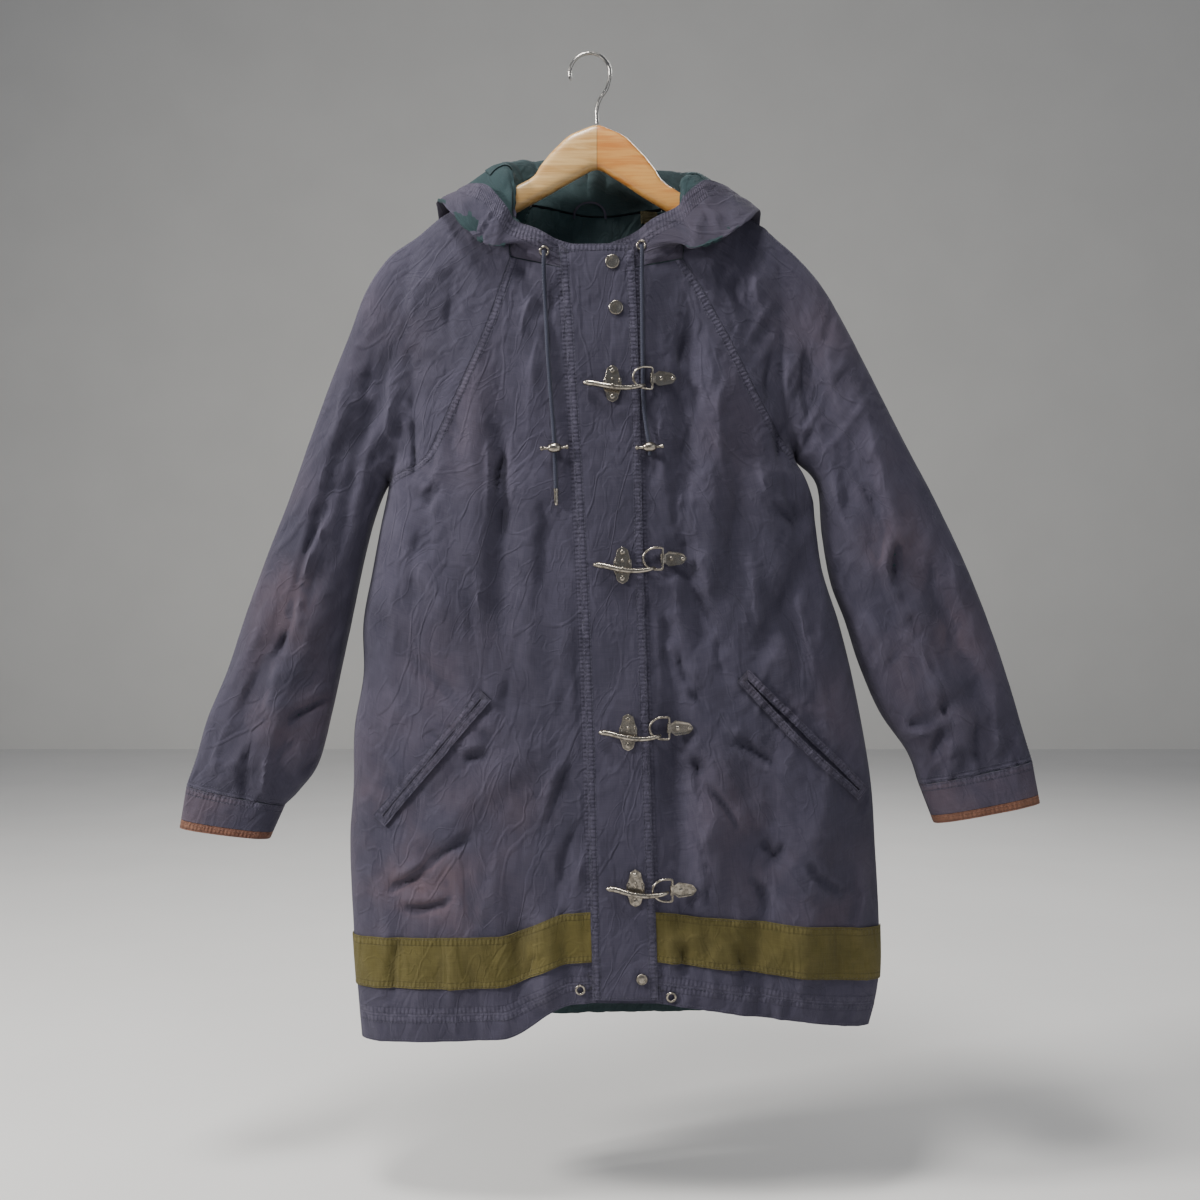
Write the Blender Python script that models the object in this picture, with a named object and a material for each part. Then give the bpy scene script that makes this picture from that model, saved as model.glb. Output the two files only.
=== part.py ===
"""Hooded fireman coat hanging on a wooden hanger, at its real size in metres.

The origin is the inner top of the hanger's hook.  +Z is up, +X is the viewer's
right and the coat's front faces -Y.  Left and right are the viewer's.
Cloth pieces are walls made from one shared front surface, one shared back
surface and one surface round each sleeve, so that neighbours meet at seams.
"""
import math

import bmesh
import bpy
from mathutils import Vector
from mathutils.bvhtree import BVHTree

# ---------------------------------------------------------------- driving sizes
SEAM = 0.0006            # gap between pieces at a seam
CLOTH = 0.0016           # shell cloth with its lining
TRIM = 0.0012            # bands, welts and bindings
LINING = 0.0010          # visible lining and facing
LIFT = 0.0005            # clearance under a piece that lies on another
SIDE_POWER = 2.5         # squareness of the torso's section
SHOULDER_FALL = 0.075    # height over which the cloth falls off the shoulder ridge

# Torso outline: height, left edge, right edge, front depth, back depth
TORSO = (
    (-0.120, -0.222, 0.230, 0.040, 0.028),
    (-0.236, -0.223, 0.231, 0.047, 0.034),
    (-0.347, -0.230, 0.231, 0.051, 0.040),
    (-0.410, -0.232, 0.232, 0.053, 0.044),
    (-0.461, -0.230, 0.233, 0.054, 0.046),
    (-0.488, -0.228, 0.250, 0.055, 0.048),
    (-0.535, -0.237, 0.256, 0.056, 0.050),
    (-0.589, -0.247, 0.264, 0.057, 0.052),
    (-0.645, -0.257, 0.282, 0.058, 0.054),
    (-0.705, -0.257, 0.297, 0.060, 0.056),
    (-0.765, -0.267, 0.309, 0.061, 0.057),
    (-0.829, -0.268, 0.319, 0.062, 0.058),
    (-0.890, -0.272, 0.323, 0.063, 0.060),
    (-0.990, -0.268, 0.328, 0.065, 0.062),
    (-1.050, -0.264, 0.327, 0.066, 0.064),
    (-1.120, -0.258, 0.312, 0.066, 0.064),
)

# Shoulder ridge over the hanger's arms: x, height
RIDGE = (
    (-0.300, -0.290),
    (-0.225, -0.229),
    (-0.197, -0.209),
    (-0.163, -0.182),
    (-0.092, -0.147),
    (0.008, -0.100),
    (0.112, -0.155),
    (0.188, -0.191),
    (0.223, -0.221),
    (0.300, -0.290),
)

# Front, one row for each line of mesh across it.  Points on the raglan seam,
# then on the side seam; the height at the placket; how late the line rises.
# left x, left z, middle z, right x, right z, late
FRONT_ROWS = (
    (-0.088, -0.242, -0.254, 0.103, -0.244, 0.0),
    (-0.103, -0.285, -0.297, 0.124, -0.276, 0.0),
    (-0.122, -0.336, -0.345, 0.146, -0.315, 0.0),
    (-0.143, -0.382, -0.391, 0.166, -0.352, 0.0),
    (-0.162, -0.422, -0.436, 0.186, -0.391, 0.0),
    (-0.180, -0.457, -0.478, 0.208, -0.429, 0.0),
    (-0.201, -0.472, -0.510, 0.221, -0.447, 0.0),
    (-0.228, -0.488, -0.545, 0.233, -0.461, 0.0),
    (-0.237, -0.535, -0.588, 0.256, -0.520, 0.0),
    (-0.247, -0.589, -0.633, 0.264, -0.589, 0.0),
    (-0.257, -0.645, -0.680, 0.282, -0.645, 0.1),
    (-0.257, -0.705, -0.730, 0.297, -0.705, 0.2),
    (-0.267, -0.765, -0.780, 0.309, -0.765, 0.4),
    (-0.268, -0.829, -0.829, 0.319, -0.829, 0.5),
    (-0.272, -0.890, -0.876, 0.323, -0.890, 0.7),
    (-0.270, -0.942, -0.919, 0.326, -0.940, 0.8),
    (-0.268, -0.996, -0.960, 0.328, -0.987, 0.9),
    (-0.264, -1.052, -1.014, 0.327, -1.046, 0.9),
    (-0.262, -1.082, -1.037, 0.322, -1.072, 0.9),
    (-0.258, -1.112, -1.059, 0.314, -1.097, 0.9),
)
UNDERARM_ROW = 7
BAND_TOP_ROW = 16
BAND_LOW_ROW = 17
HEM_STITCH_ROW = 18
LATE_RISE = (0.62, 0.92)   # part of the way in where a late line rises

# Placket edges: height, left edge, right edge
PLACKET = (
    (-0.228, -0.034, 0.048),
    (-0.335, -0.026, 0.053),
    (-0.650, -0.008, 0.061),
    (-1.060, 0.004, 0.075),
)
PLACKET_TOP = -0.228
PLACKET_FOOT = -1.0555
PLACKET_CORNER = 0.008
MEETING = 0.45            # where both fronts meet under the placket, across it

# Steps from a side edge towards the placket, finer where the section turns
FRONT_STEPS = (0.0, 0.008, 0.03, 0.07, 0.13, 0.20, 0.28, 0.36, 0.45, 0.54, 0.63, 0.72, 0.81, 0.905, 1.0)
BACK_DROOP = 0.004         # how far the back's lines hang down in their middle
BACK_STEPS = (0.0, 0.008, 0.035, 0.09, 0.18, 0.30, 0.43, 0.57, 0.71, 0.86, 1.0)

# Back raglan seam, from the neck to the underarm: left x, left z, middle z, right x, right z
BACK_NECK_ROWS = (
    (-0.072, -0.166, -0.178, 0.094, -0.170),
    (-0.095, -0.225, -0.235, 0.113, -0.217),
    (-0.118, -0.285, -0.293, 0.135, -0.264),
    (-0.140, -0.340, -0.345, 0.156, -0.312),
    (-0.162, -0.395, -0.398, 0.177, -0.358),
    (-0.184, -0.440, -0.445, 0.197, -0.402),
    (-0.204, -0.468, -0.480, 0.216, -0.437),
    (-0.228, -0.488, -0.508, 0.233, -0.461),
)

# Sleeves.  over x, over z: the overarm seam.  under x, under z: the underarm seam, which
# above the underarm is the front raglan seam.  front, back: depth of the tube.
SLEEVE_LEFT = (
    (-0.092, -0.147, -0.088, -0.242, 0.004, 0.004),
    (-0.128, -0.165, -0.103, -0.285, 0.010, 0.008),
    (-0.163, -0.182, -0.122, -0.336, 0.018, 0.014),
    (-0.197, -0.209, -0.143, -0.382, 0.024, 0.020),
    (-0.228, -0.2315, -0.162, -0.422, 0.028, 0.024),
    (-0.254, -0.270, -0.180, -0.457, 0.031, 0.027),
    (-0.272, -0.318, -0.201, -0.472, 0.032, 0.028),
    (-0.293, -0.372, -0.228, -0.488, 0.033, 0.029),
    (-0.314, -0.430, -0.244, -0.525, 0.033, 0.029),
    (-0.340, -0.504, -0.257, -0.575, 0.033, 0.029),
    (-0.366, -0.570, -0.268, -0.628, 0.032, 0.028),
    (-0.390, -0.636, -0.281, -0.690, 0.031, 0.027),
    (-0.412, -0.702, -0.294, -0.750, 0.030, 0.026),
    (-0.433, -0.752, -0.309, -0.806, 0.028, 0.025),
    (-0.446, -0.796, -0.331, -0.837, 0.024, 0.022),
    (-0.458, -0.830, -0.347, -0.853, 0.020, 0.019),
)
SLEEVE_RIGHT = (
    (0.112, -0.155, 0.103, -0.244, 0.004, 0.004),
    (0.140, -0.168, 0.124, -0.276, 0.010, 0.008),
    (0.172, -0.183, 0.146, -0.315, 0.018, 0.014),
    (0.205, -0.206, 0.166, -0.352, 0.024, 0.020),
    (0.234, -0.2305, 0.186, -0.391, 0.028, 0.024),
    (0.261, -0.262, 0.208, -0.429, 0.031, 0.027),
    (0.284, -0.300, 0.221, -0.447, 0.032, 0.028),
    (0.309, -0.348, 0.233, -0.461, 0.033, 0.029),
    (0.333, -0.396, 0.258, -0.489, 0.033, 0.029),
    (0.362, -0.452, 0.264, -0.545, 0.033, 0.029),
    (0.392, -0.508, 0.274, -0.600, 0.033, 0.029),
    (0.424, -0.576, 0.291, -0.646, 0.032, 0.028),
    (0.453, -0.648, 0.306, -0.693, 0.031, 0.027),
    (0.476, -0.716, 0.330, -0.748, 0.029, 0.026),
    (0.492, -0.770, 0.361, -0.793, 0.025, 0.023),
    (0.502, -0.802, 0.374, -0.829, 0.021, 0.020),
)
SLEEVE_COLUMNS = 9
CUFF_LENGTH = 0.040
BINDING = 0.010
CUFF_LEFT_END = (-0.466, -0.878, -0.364, -0.891, 0.019, 0.018)
CUFF_RIGHT_END = (0.511, -0.850, 0.391, -0.873, 0.020, 0.019)
SLEEVE_INNER_Y = 0.004     # how far back the sleeve's inner edge lies above the underarm

# Largest folds of the front: from x, z to x, z, half width, height towards the viewer
FRONT_FOLDS = (
    (-0.080, -0.250, -0.046, -0.305, 0.010, -0.0068),
    (-0.128, -0.330, -0.126, -0.600, 0.022, 0.0074),
    (-0.101, -0.420, -0.097, -0.680, 0.014, -0.0068),
    (-0.062, -0.480, -0.070, -0.700, 0.018, 0.0047),
    (-0.225, -0.530, -0.150, -0.640, 0.016, 0.0068),
    (-0.240, -0.640, -0.150, -0.730, 0.014, -0.0061),
    (-0.205, -0.900, -0.060, -0.780, 0.020, 0.0061),
    (-0.050, -0.960, -0.046, -1.060, 0.014, 0.0081),
    (-0.075, -0.975, -0.080, -1.070, 0.014, -0.0068),
    (0.110, -0.300, 0.098, -0.560, 0.013, -0.0068),
    (0.140, -0.330, 0.130, -0.620, 0.020, 0.0068),
    (0.098, -0.560, 0.128, -0.680, 0.013, -0.0068),
    (0.180, -0.480, 0.240, -0.640, 0.022, 0.0068),
    (0.245, -0.560, 0.180, -0.690, 0.014, -0.0061),
    (0.150, -0.760, 0.120, -0.960, 0.024, 0.0068),
    (0.095, -0.700, 0.100, -0.960, 0.014, -0.0061),
    (0.250, -0.850, 0.230, -1.060, 0.022, 0.0074),
    (0.190, -0.860, 0.185, -1.060, 0.016, -0.0061),
)
BACK_FOLDS = (
    (-0.110, -0.300, -0.120, -0.700, 0.026, 0.0078),
    (-0.040, -0.420, -0.030, -0.900, 0.022, -0.0065),
    (0.040, -0.500, 0.050, -1.000, 0.026, 0.0072),
    (0.140, -0.320, 0.120, -0.760, 0.024, -0.0065),
    (0.210, -0.560, 0.240, -1.000, 0.026, 0.0078),
    (-0.190, -0.620, -0.200, -1.020, 0.024, 0.0072),
    (-0.100, -0.820, -0.110, -1.080, 0.022, -0.0065),
)

# Folds of the sleeves: along from, to (0 neck, 1 cuff seam), across from, to
# (0 overarm, 1 underarm), half width across, height outward
SLEEVE_FOLDS = (
    (0.34, 0.62, 0.45, 0.78, 0.10, -0.0045),
    (0.45, 0.80, 0.25, 0.52, 0.12, 0.0040),
    (0.62, 0.92, 0.78, 0.48, 0.10, 0.0045),
    (0.70, 0.95, 0.40, 0.20, 0.09, -0.0035),
)

# Pocket welts: upper end x, z, lower end x, z of the slit, and how far the lower lip gapes
POCKETS = {
    "left": (-0.119, -0.729, -0.229, -0.859, 0.0),
    "right": (0.173, -0.708, 0.301, -0.832, 0.004),
}
WELT_WIDTH = 0.0085
WELT_GAP = 0.0012
WELT_LIFT = 0.0018
WELT_END = 0.0070
WELT_STEPS = 11
WELT_BULGE = 1.2           # how far a gaping lip stands out, against how far it gapes

# Hood, one row for each section round the neck, from under the placket on the left
# round the back: place along the neckline, fold at the top, low edge of the roll or
# bag, free edge, width of the turns, and how far the turns point outward
HOOD = (
    (0.0000, (0.0040, -0.0450, -0.2460), (0.0040, -0.0450, -0.2390), (0.0040, -0.0450, -0.2320), 0.0020, 0.0),
    (0.0554, (-0.0320, -0.0455, -0.2450), (-0.0320, -0.0460, -0.2350), (-0.0320, -0.0455, -0.2230), 0.0025, 0.0),
    (0.0954, (-0.0570, -0.0495, -0.2400), (-0.0580, -0.0520, -0.2270), (-0.0570, -0.0470, -0.2110), 0.0040, 0.1),
    (0.1425, (-0.0820, -0.0475, -0.2280), (-0.0870, -0.0560, -0.2270), (-0.0800, -0.0440, -0.2020), 0.0050, 0.3),
    (0.1755, (-0.0840, -0.0410, -0.2040), (-0.0990, -0.0600, -0.2330), (-0.0900, -0.0500, -0.1890), 0.0070, 0.8),
    (0.2070, (-0.0870, -0.0340, -0.1900), (-0.1090, -0.0610, -0.2320), (-0.0990, -0.0470, -0.1770), 0.0080, 1.0),
    (0.2627, (-0.0890, -0.0210, -0.1480), (-0.1230, -0.0590, -0.2220), (-0.1120, -0.0380, -0.1610), 0.0090, 1.0),
    (0.3156, (-0.0980, -0.0020, -0.1310), (-0.1450, -0.0500, -0.1960), (-0.1240, -0.0260, -0.1540), 0.0100, 1.0),
    (0.3356, (-0.1020, 0.0100, -0.1240), (-0.1640, -0.0220, -0.1720), (-0.1360, -0.0080, -0.1490), 0.0100, 1.0),
    (0.3539, (-0.0960, 0.0240, -0.1190), (-0.1700, 0.0060, -0.1690), (-0.1420, 0.0140, -0.1480), 0.0110, 1.0),
    (0.3700, (-0.0900, 0.0330, -0.1160), (-0.1700, 0.0300, -0.1860), (-0.1430, 0.0360, -0.1500), 0.0110, 1.0),
    (0.3866, (-0.0800, 0.0410, -0.1130), (-0.1620, 0.0480, -0.2220), (-0.1380, 0.0600, -0.1560), 0.0130, 1.0),
    (0.4306, (-0.0500, 0.0490, -0.1120), (-0.1100, 0.0700, -0.3200), (-0.0920, 0.0960, -0.1500), 0.0200, 1.0),
    (0.5036, (0.0080, 0.0520, -0.1160), (0.0100, 0.0760, -0.3500), (0.0100, 0.1080, -0.1460), 0.0220, 1.0),
    (0.5761, (0.0640, 0.0500, -0.1220), (0.1300, 0.0700, -0.3250), (0.1120, 0.0960, -0.1520), 0.0200, 1.0),
    (0.6172, (0.0980, 0.0420, -0.1260), (0.1820, 0.0480, -0.2360), (0.1600, 0.0600, -0.1620), 0.0130, 1.0),
    (0.6371, (0.1080, 0.0340, -0.1280), (0.1900, 0.0300, -0.1980), (0.1640, 0.0360, -0.1570), 0.0110, 1.0),
    (0.6502, (0.1130, 0.0240, -0.1310), (0.1900, 0.0060, -0.1800), (0.1620, 0.0140, -0.1540), 0.0110, 1.0),
    (0.6663, (0.1190, 0.0100, -0.1340), (0.1840, -0.0220, -0.1840), (0.1560, -0.0080, -0.1530), 0.0100, 1.0),
    (0.6844, (0.1170, -0.0020, -0.1390), (0.1660, -0.0500, -0.2050), (0.1430, -0.0260, -0.1530), 0.0100, 1.0),
    (0.7355, (0.1080, -0.0210, -0.1540), (0.1440, -0.0590, -0.2230), (0.1280, -0.0380, -0.1540), 0.0090, 1.0),
    (0.7883, (0.1040, -0.0340, -0.1940), (0.1240, -0.0610, -0.2330), (0.1130, -0.0470, -0.1660), 0.0080, 1.0),
    (0.8181, (0.1000, -0.0410, -0.2080), (0.1120, -0.0600, -0.2350), (0.1030, -0.0500, -0.1770), 0.0070, 0.8),
    (0.8492, (0.0970, -0.0475, -0.2300), (0.1000, -0.0560, -0.2280), (0.0940, -0.0440, -0.1870), 0.0050, 0.3),
    (0.9000, (0.0710, -0.0495, -0.2410), (0.0710, -0.0520, -0.2270), (0.0690, -0.0470, -0.2000), 0.0040, 0.1),
    (0.9322, (0.0490, -0.0460, -0.2450), (0.0490, -0.0465, -0.2330), (0.0460, -0.0455, -0.2160), 0.0025, 0.0),
    (1.0000, (0.0080, -0.0450, -0.2460), (0.0080, -0.0450, -0.2390), (0.0080, -0.0450, -0.2320), 0.0020, 0.0),
)
HOOD_SPANS = (3, 3, 4, 3, 4)    # mesh steps: rise, top turn, fall, low turn, outer face
HOOD_CENTRE_ROWS = (12, 14)     # the strip between the hood's two sides
HOOD_LINING_ROWS = (7, 19)      # the lining shows between these rows
HOOD_LINING_STEPS = 7
NECK_CENTRE = Vector((0.008, 0.0, 0.0))
NECK_STAND = Vector((0.0, 0.0, 0.0012))
NECK_INSET = 0.0022
NECK_SIDES = (-0.0875, 0.1035)   # beyond these the hood lies on the shoulders
HOOD_CLEAR = 0.0040
PLACKET_CLEAR = 0.0022

# Hanger arms: x, top, bottom, half depth
HANGER_SECTIONS = (
    (-0.205, -0.2265, -0.2390, 0.0070),
    (-0.195, -0.2190, -0.2400, 0.0100),
    (-0.150, -0.1830, -0.2100, 0.0110),
    (-0.095, -0.1560, -0.1850, 0.0105),
    (-0.064, -0.1400, -0.1680, 0.0100),
    (-0.056, -0.1270, -0.1640, 0.0100),
    (-0.045, -0.1130, -0.1580, 0.0100),
    (-0.024, -0.0920, -0.1460, 0.0095),
    (0.008, -0.0790, -0.1280, 0.0090),
    (0.040, -0.0930, -0.1480, 0.0095),
    (0.061, -0.1150, -0.1620, 0.0100),
    (0.073, -0.1300, -0.1690, 0.0100),
    (0.082, -0.1450, -0.1740, 0.0100),
    (0.112, -0.1640, -0.1930, 0.0105),
    (0.165, -0.1880, -0.2160, 0.0110),
    (0.207, -0.2180, -0.2430, 0.0100),
    (0.217, -0.2270, -0.2410, 0.0070),
)
HANGER_SIDES = 10
HANGER_SQUARE = 0.6          # less than 1 makes the wood's section squarer
HOOK_WIRE = 0.0040
HOOK_STEPS = 12
HOOK_RADIUS = 0.0210        # inside of the hook's arc
HOOK_ARC = (200.0, -15.0)   # degrees, from the tip over the top
HOOK_NECK = ((0.0190, -0.0385), (0.0115, -0.0500), (0.0080, -0.0610), (0.0080, -0.0785))

# Clasps: x and z of the lever's pivot end, height of the ring over it, reach to the ring's
# bar, how far the ring's bow stands out from the bar, and the lever's extra height there.
# The first one stands out more, over the right drawcord.
CLASPS = (
    (-0.003, -0.383, 0.006, 0.072, 0.0082, 0.0042),
    (0.008, -0.582, 0.007, 0.072, 0.0010, 0.0012),
    (0.014, -0.764, 0.004, 0.073, 0.0010, 0.0012),
    (0.022, -0.933, -0.002, 0.068, 0.0006, 0.0020),
)
LEVER_PATH = (              # x, z, height over the placket, radius
    (-0.0040, 0.0000, 0.0052, 0.0016),
    (0.0000, 0.0000, 0.0054, 0.0030),
    (0.0080, -0.0010, 0.0062, 0.0032),
    (0.0180, -0.0035, 0.0078, 0.0031),
    (0.0300, -0.0058, 0.0088, 0.0030),
    (0.0430, -0.0066, 0.0088, 0.0028),
    (0.0530, -0.0056, 0.0084, 0.0025),
    (0.0595, -0.0042, 0.0074, 0.0022),
    (0.0622, -0.0036, 0.0052, 0.0018),
    (0.0626, -0.0034, 0.0034, 0.0013),
)
LEVER_SIDES = 8
BASE_OUTLINE = (            # half width at each height of the base plate
    (0.0200, 0.0030),
    (0.0180, 0.0055),
    (0.0080, 0.0078),
    (0.0040, 0.0098),
    (-0.0060, 0.0098),
    (-0.0100, 0.0078),
    (-0.0185, 0.0055),
    (-0.0205, 0.0030),
)
BASE_X = 0.0280
BASE_THICK = 0.0016
BASE_REACH = (0.010, 0.020)    # half width and half height of the cloth under the base
PLATE_REACH = (0.014, 0.009)   # the same under the ring's plate
BASE_CLEAR = 0.0012            # gap under a base or ring plate
LEVER_CLEAR = 0.0008
CURL_CLEAR = 0.0004            # gap between a ring's bar and the plate curled round it
RING_WIRE = 0.0026
RING_HEIGHT = 0.0265
RING_DEPTH = 0.0215
RING_STRAIGHT = 0.0070
RING_SIDES = 6
RING_BOW_STEPS = 8
PLATE_THICK = 0.0012
PLATE_LENGTH = 0.0260
PLATE_WIDTHS = (0.0100, 0.0165, 0.0150, 0.0120, 0.0070)   # curl, root, then to the tip
CURL_STEPS = 7

# Snap caps: x, z, radius
SNAPS = ((0.025, -0.248, 0.0080), (0.029, -0.299, 0.0080), (0.057, -1.032, 0.0062))
SNAP_HEIGHT = 0.0028
SNAP_PROFILE = ((0.0, 0.92), (0.45, 1.0), (0.8, 0.86), (1.0, 0.5))   # shares of height, radius
SNAP_SIDES = 14
SNAP_CLEAR = 0.0005
EYELET_RADIUS = 0.0058
EYELET_HOLE = 0.0033
EYELET_HEIGHT = 0.0014
EYELET_SIDES = 14
HEM_EYELETS = {"left": (-0.0100, -1.0440), "right": (0.0890, -1.0520)}
HOOD_EYELETS = {"left": (-0.0500, -0.2360), "right": (0.0570, -0.2290)}
HEM_EYELET_CLEAR = 0.0012
HOOD_EYELET_CLEAR = 0.0006

# Drawcords, routes chosen by hand: x, z, and height of the cord's middle over the cloth
CORD = 0.0046
CORD_LEFT = (
    (-0.0500, -0.2380, 0.0104),
    (-0.0502, -0.2470, 0.0108),
    (-0.0500, -0.2650, 0.0066),
    (-0.0485, -0.3000, 0.0044),
    (-0.0462, -0.3450, 0.0040),
    (-0.0430, -0.3900, 0.0040),
    (-0.0398, -0.4300, 0.0048),
    (-0.0384, -0.4540, 0.0066),
    (-0.0378, -0.4700, 0.0052),
    (-0.0370, -0.4900, 0.0042),
    (-0.0368, -0.4980, 0.0040),
)
CORD_RIGHT = (
    (0.0572, -0.2310, 0.0104),
    (0.0574, -0.2400, 0.0108),
    (0.0574, -0.2600, 0.0066),
    (0.0576, -0.3000, 0.0044),
    (0.0580, -0.3400, 0.0040),
    (0.0584, -0.3700, 0.0032),
    (0.0588, -0.4000, 0.0032),
    (0.0620, -0.4300, 0.0046),
    (0.0656, -0.4530, 0.0066),
    (0.0662, -0.4620, 0.0066),
)
CORD_STEP = 0.013
TOGGLE_PROFILE = (          # along the barrel from its middle, radius
    (-0.0155, 0.0018),
    (-0.0150, 0.0024),
    (-0.0130, 0.0024),
    (-0.0122, 0.0017),
    (-0.0080, 0.0019),
    (-0.0055, 0.0042),
    (0.0000, 0.0055),
    (0.0055, 0.0042),
    (0.0080, 0.0019),
    (0.0122, 0.0017),
    (0.0130, 0.0024),
    (0.0150, 0.0024),
    (0.0155, 0.0018),
)
TOGGLE_LEFT = (-0.0384, -0.4540)
TOGGLE_RIGHT = (0.0656, -0.4530)
TOGGLE_HEIGHT = 0.0066
TOGGLE_REACH = 0.0060       # half of the gap that each cord leaves for its toggle
TOGGLE_AXIS = Vector((1.0, 0.0, 0.06)).normalized()
TOGGLE_SIDES = 10
CORD_END_PROFILE = (        # along the cord end, radius
    (0.0000, 0.00264),
    (0.0030, 0.00264),
    (0.0040, 0.00240),
    (0.0160, 0.00216),
    (0.0180, 0.00144),
)
CORD_END_GAP = 0.0006

# Loop and tab at the back neck: middle x, width or span
LOOP_FEET = (-0.019, 0.018)
LOOP_RISE = 0.019
LOOP_WIDTH = 0.0025
LOOP_STEPS = 10
LOOP_FOOT_Z = -0.1800
LOOP_STAND = 0.004         # how far the loop hangs in front of the facing
LOOP_TWIST = 0.002
TRIM_CLEAR = 0.0008        # gap between the facing and what is sewn on it
TAB_X = (0.058, 0.079)
TAB_Z = (-0.1705, -0.1845)
FACING_DEPTH_ROWS = 2

# Colours: red, green, blue, roughness, metallic
CLOTH_COLOUR = (0.072, 0.067, 0.098, 0.90, 0.0)
SLEEVE_COLOUR = (0.078, 0.070, 0.100, 0.90, 0.0)
BAND_COLOUR = (0.115, 0.088, 0.022, 0.90, 0.0)
LINING_COLOUR = (0.010, 0.032, 0.036, 0.85, 0.0)
BINDING_COLOUR = (0.155, 0.055, 0.028, 0.80, 0.0)
CORD_COLOUR = (0.018, 0.020, 0.038, 0.85, 0.0)
METAL_COLOUR = (0.500, 0.470, 0.420, 0.32, 1.0)
STEEL_COLOUR = (0.620, 0.600, 0.570, 0.20, 1.0)
WOOD_COLOUR = (0.640, 0.370, 0.130, 0.45, 0.0)


# ---------------------------------------------------------------- plain helpers
def clear_scene():
    """Remove what the file starts with."""
    for item in list(bpy.data.objects):
        bpy.data.objects.remove(item, do_unlink=True)


def mix(a, b, t):
    """Value between a and b."""
    return a + (b - a) * t


def clamp(value, low=0.0, high=1.0):
    """Value kept between low and high."""
    return max(low, min(high, value))


def ease(t):
    """Smooth step from 0 to 1."""
    t = clamp(t)
    return t * t * (3.0 - 2.0 * t)


def read_table(table, key, column, key_column=0):
    """Value of a column where the key column has the key, smooth between rows."""
    rows = sorted(table, key=lambda row: row[key_column])
    if key <= rows[0][key_column]:
        return rows[0][column]
    if key >= rows[-1][key_column]:
        return rows[-1][column]
    at = max(i for i in range(len(rows)) if rows[i][key_column] <= key)
    before = rows[max(at - 1, 0)]
    low = rows[at]
    high = rows[at + 1]
    after = rows[min(at + 2, len(rows) - 1)]
    span = high[key_column] - low[key_column]
    t = (key - low[key_column]) / span
    slope_low = (high[column] - before[column]) / (high[key_column] - before[key_column])
    slope_high = (after[column] - low[column]) / (after[key_column] - low[key_column])
    square = t * t
    cube = square * t
    return (
        low[column] * (2.0 * cube - 3.0 * square + 1.0)
        + slope_low * span * (cube - 2.0 * square + t)
        + high[column] * (3.0 * square - 2.0 * cube)
        + slope_high * span * (cube - square)
    )


def fold_height(folds, x, z):
    """Sum of the folds at a place: each is a soft ridge along a line, tapered at its ends."""
    total = 0.0
    for x0, z0, x1, z1, width, height in folds:
        run_x = x1 - x0
        run_z = z1 - z0
        length = math.hypot(run_x, run_z)
        along = ((x - x0) * run_x + (z - z0) * run_z) / (length * length)
        across = ((x - x0) * run_z - (z - z0) * run_x) / length
        taper = ease((along + 0.12) / 0.3) * ease((1.12 - along) / 0.3)
        total += height * taper * math.exp(-(across / width) ** 2)
    return total


def material(name, colour):
    """Principled material from a row of colours."""
    made = bpy.data.materials.new(name)
    made.use_nodes = True
    shader = made.node_tree.nodes["Principled BSDF"]
    red, green, blue, roughness, metallic = colour
    shader.inputs["Base Color"].default_value = (red, green, blue, 1.0)
    shader.inputs["Roughness"].default_value = roughness
    shader.inputs["Metallic"].default_value = metallic
    made.diffuse_color = (red, green, blue, 1.0)
    return made


def add_mesh(name, points, faces, colour, smooth=True):
    """Object from points and faces, with its faces turned outward."""
    mesh = bpy.data.meshes.new(name)
    mesh.from_pydata([tuple(p) for p in points], [], faces)
    work = bmesh.new()
    work.from_mesh(mesh)
    bmesh.ops.recalc_face_normals(work, faces=work.faces)
    work.to_mesh(mesh)
    work.free()
    if smooth:
        mesh.shade_smooth()
        mesh.set_sharp_from_angle(angle=math.radians(50.0))
    mesh.materials.append(material(name + "_finish", colour))
    item = bpy.data.objects.new(name, mesh)
    bpy.context.scene.collection.objects.link(item)
    return item


def wall(name, outer, normals, thickness, colour, lift=0.0, ring=False):
    """Wall on a grid of points.  Its outer face lies on them, or its inner face lies lift
    over them.  The last row of a ring joins its first."""
    rows = len(outer)
    columns = len(outer[0])
    top = lift + thickness if lift > 0.0 else lift
    front = [outer[i][j] + normals[i][j] * top for i in range(rows) for j in range(columns)]
    rear = [
        outer[i][j] + normals[i][j] * (top - thickness) for i in range(rows) for j in range(columns)
    ]
    count = rows * columns
    faces = []
    for i in range(rows if ring else rows - 1):
        for j in range(columns - 1):
            a = i * columns + j
            b = a + 1
            c = (a + columns + 1) % count
            d = (a + columns) % count
            faces += [(a, b, c), (a, c, d)]
            faces += [(count + c, count + b, count + a), (count + d, count + c, count + a)]
    if ring:
        borders = [[i * columns for i in range(rows - 1, -1, -1)]]
        borders.append([i * columns + columns - 1 for i in range(rows)])
    else:
        border = [j for j in range(columns)]
        border += [i * columns + columns - 1 for i in range(1, rows)]
        border += [(rows - 1) * columns + j for j in range(columns - 2, -1, -1)]
        border += [i * columns for i in range(rows - 2, 0, -1)]
        borders = [border]
    for border in borders:
        for a, b in zip(border, border[1:] + border[:1]):
            faces.append((b, a, count + a, count + b))
    return add_mesh(name, front + rear, faces, colour)


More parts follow.
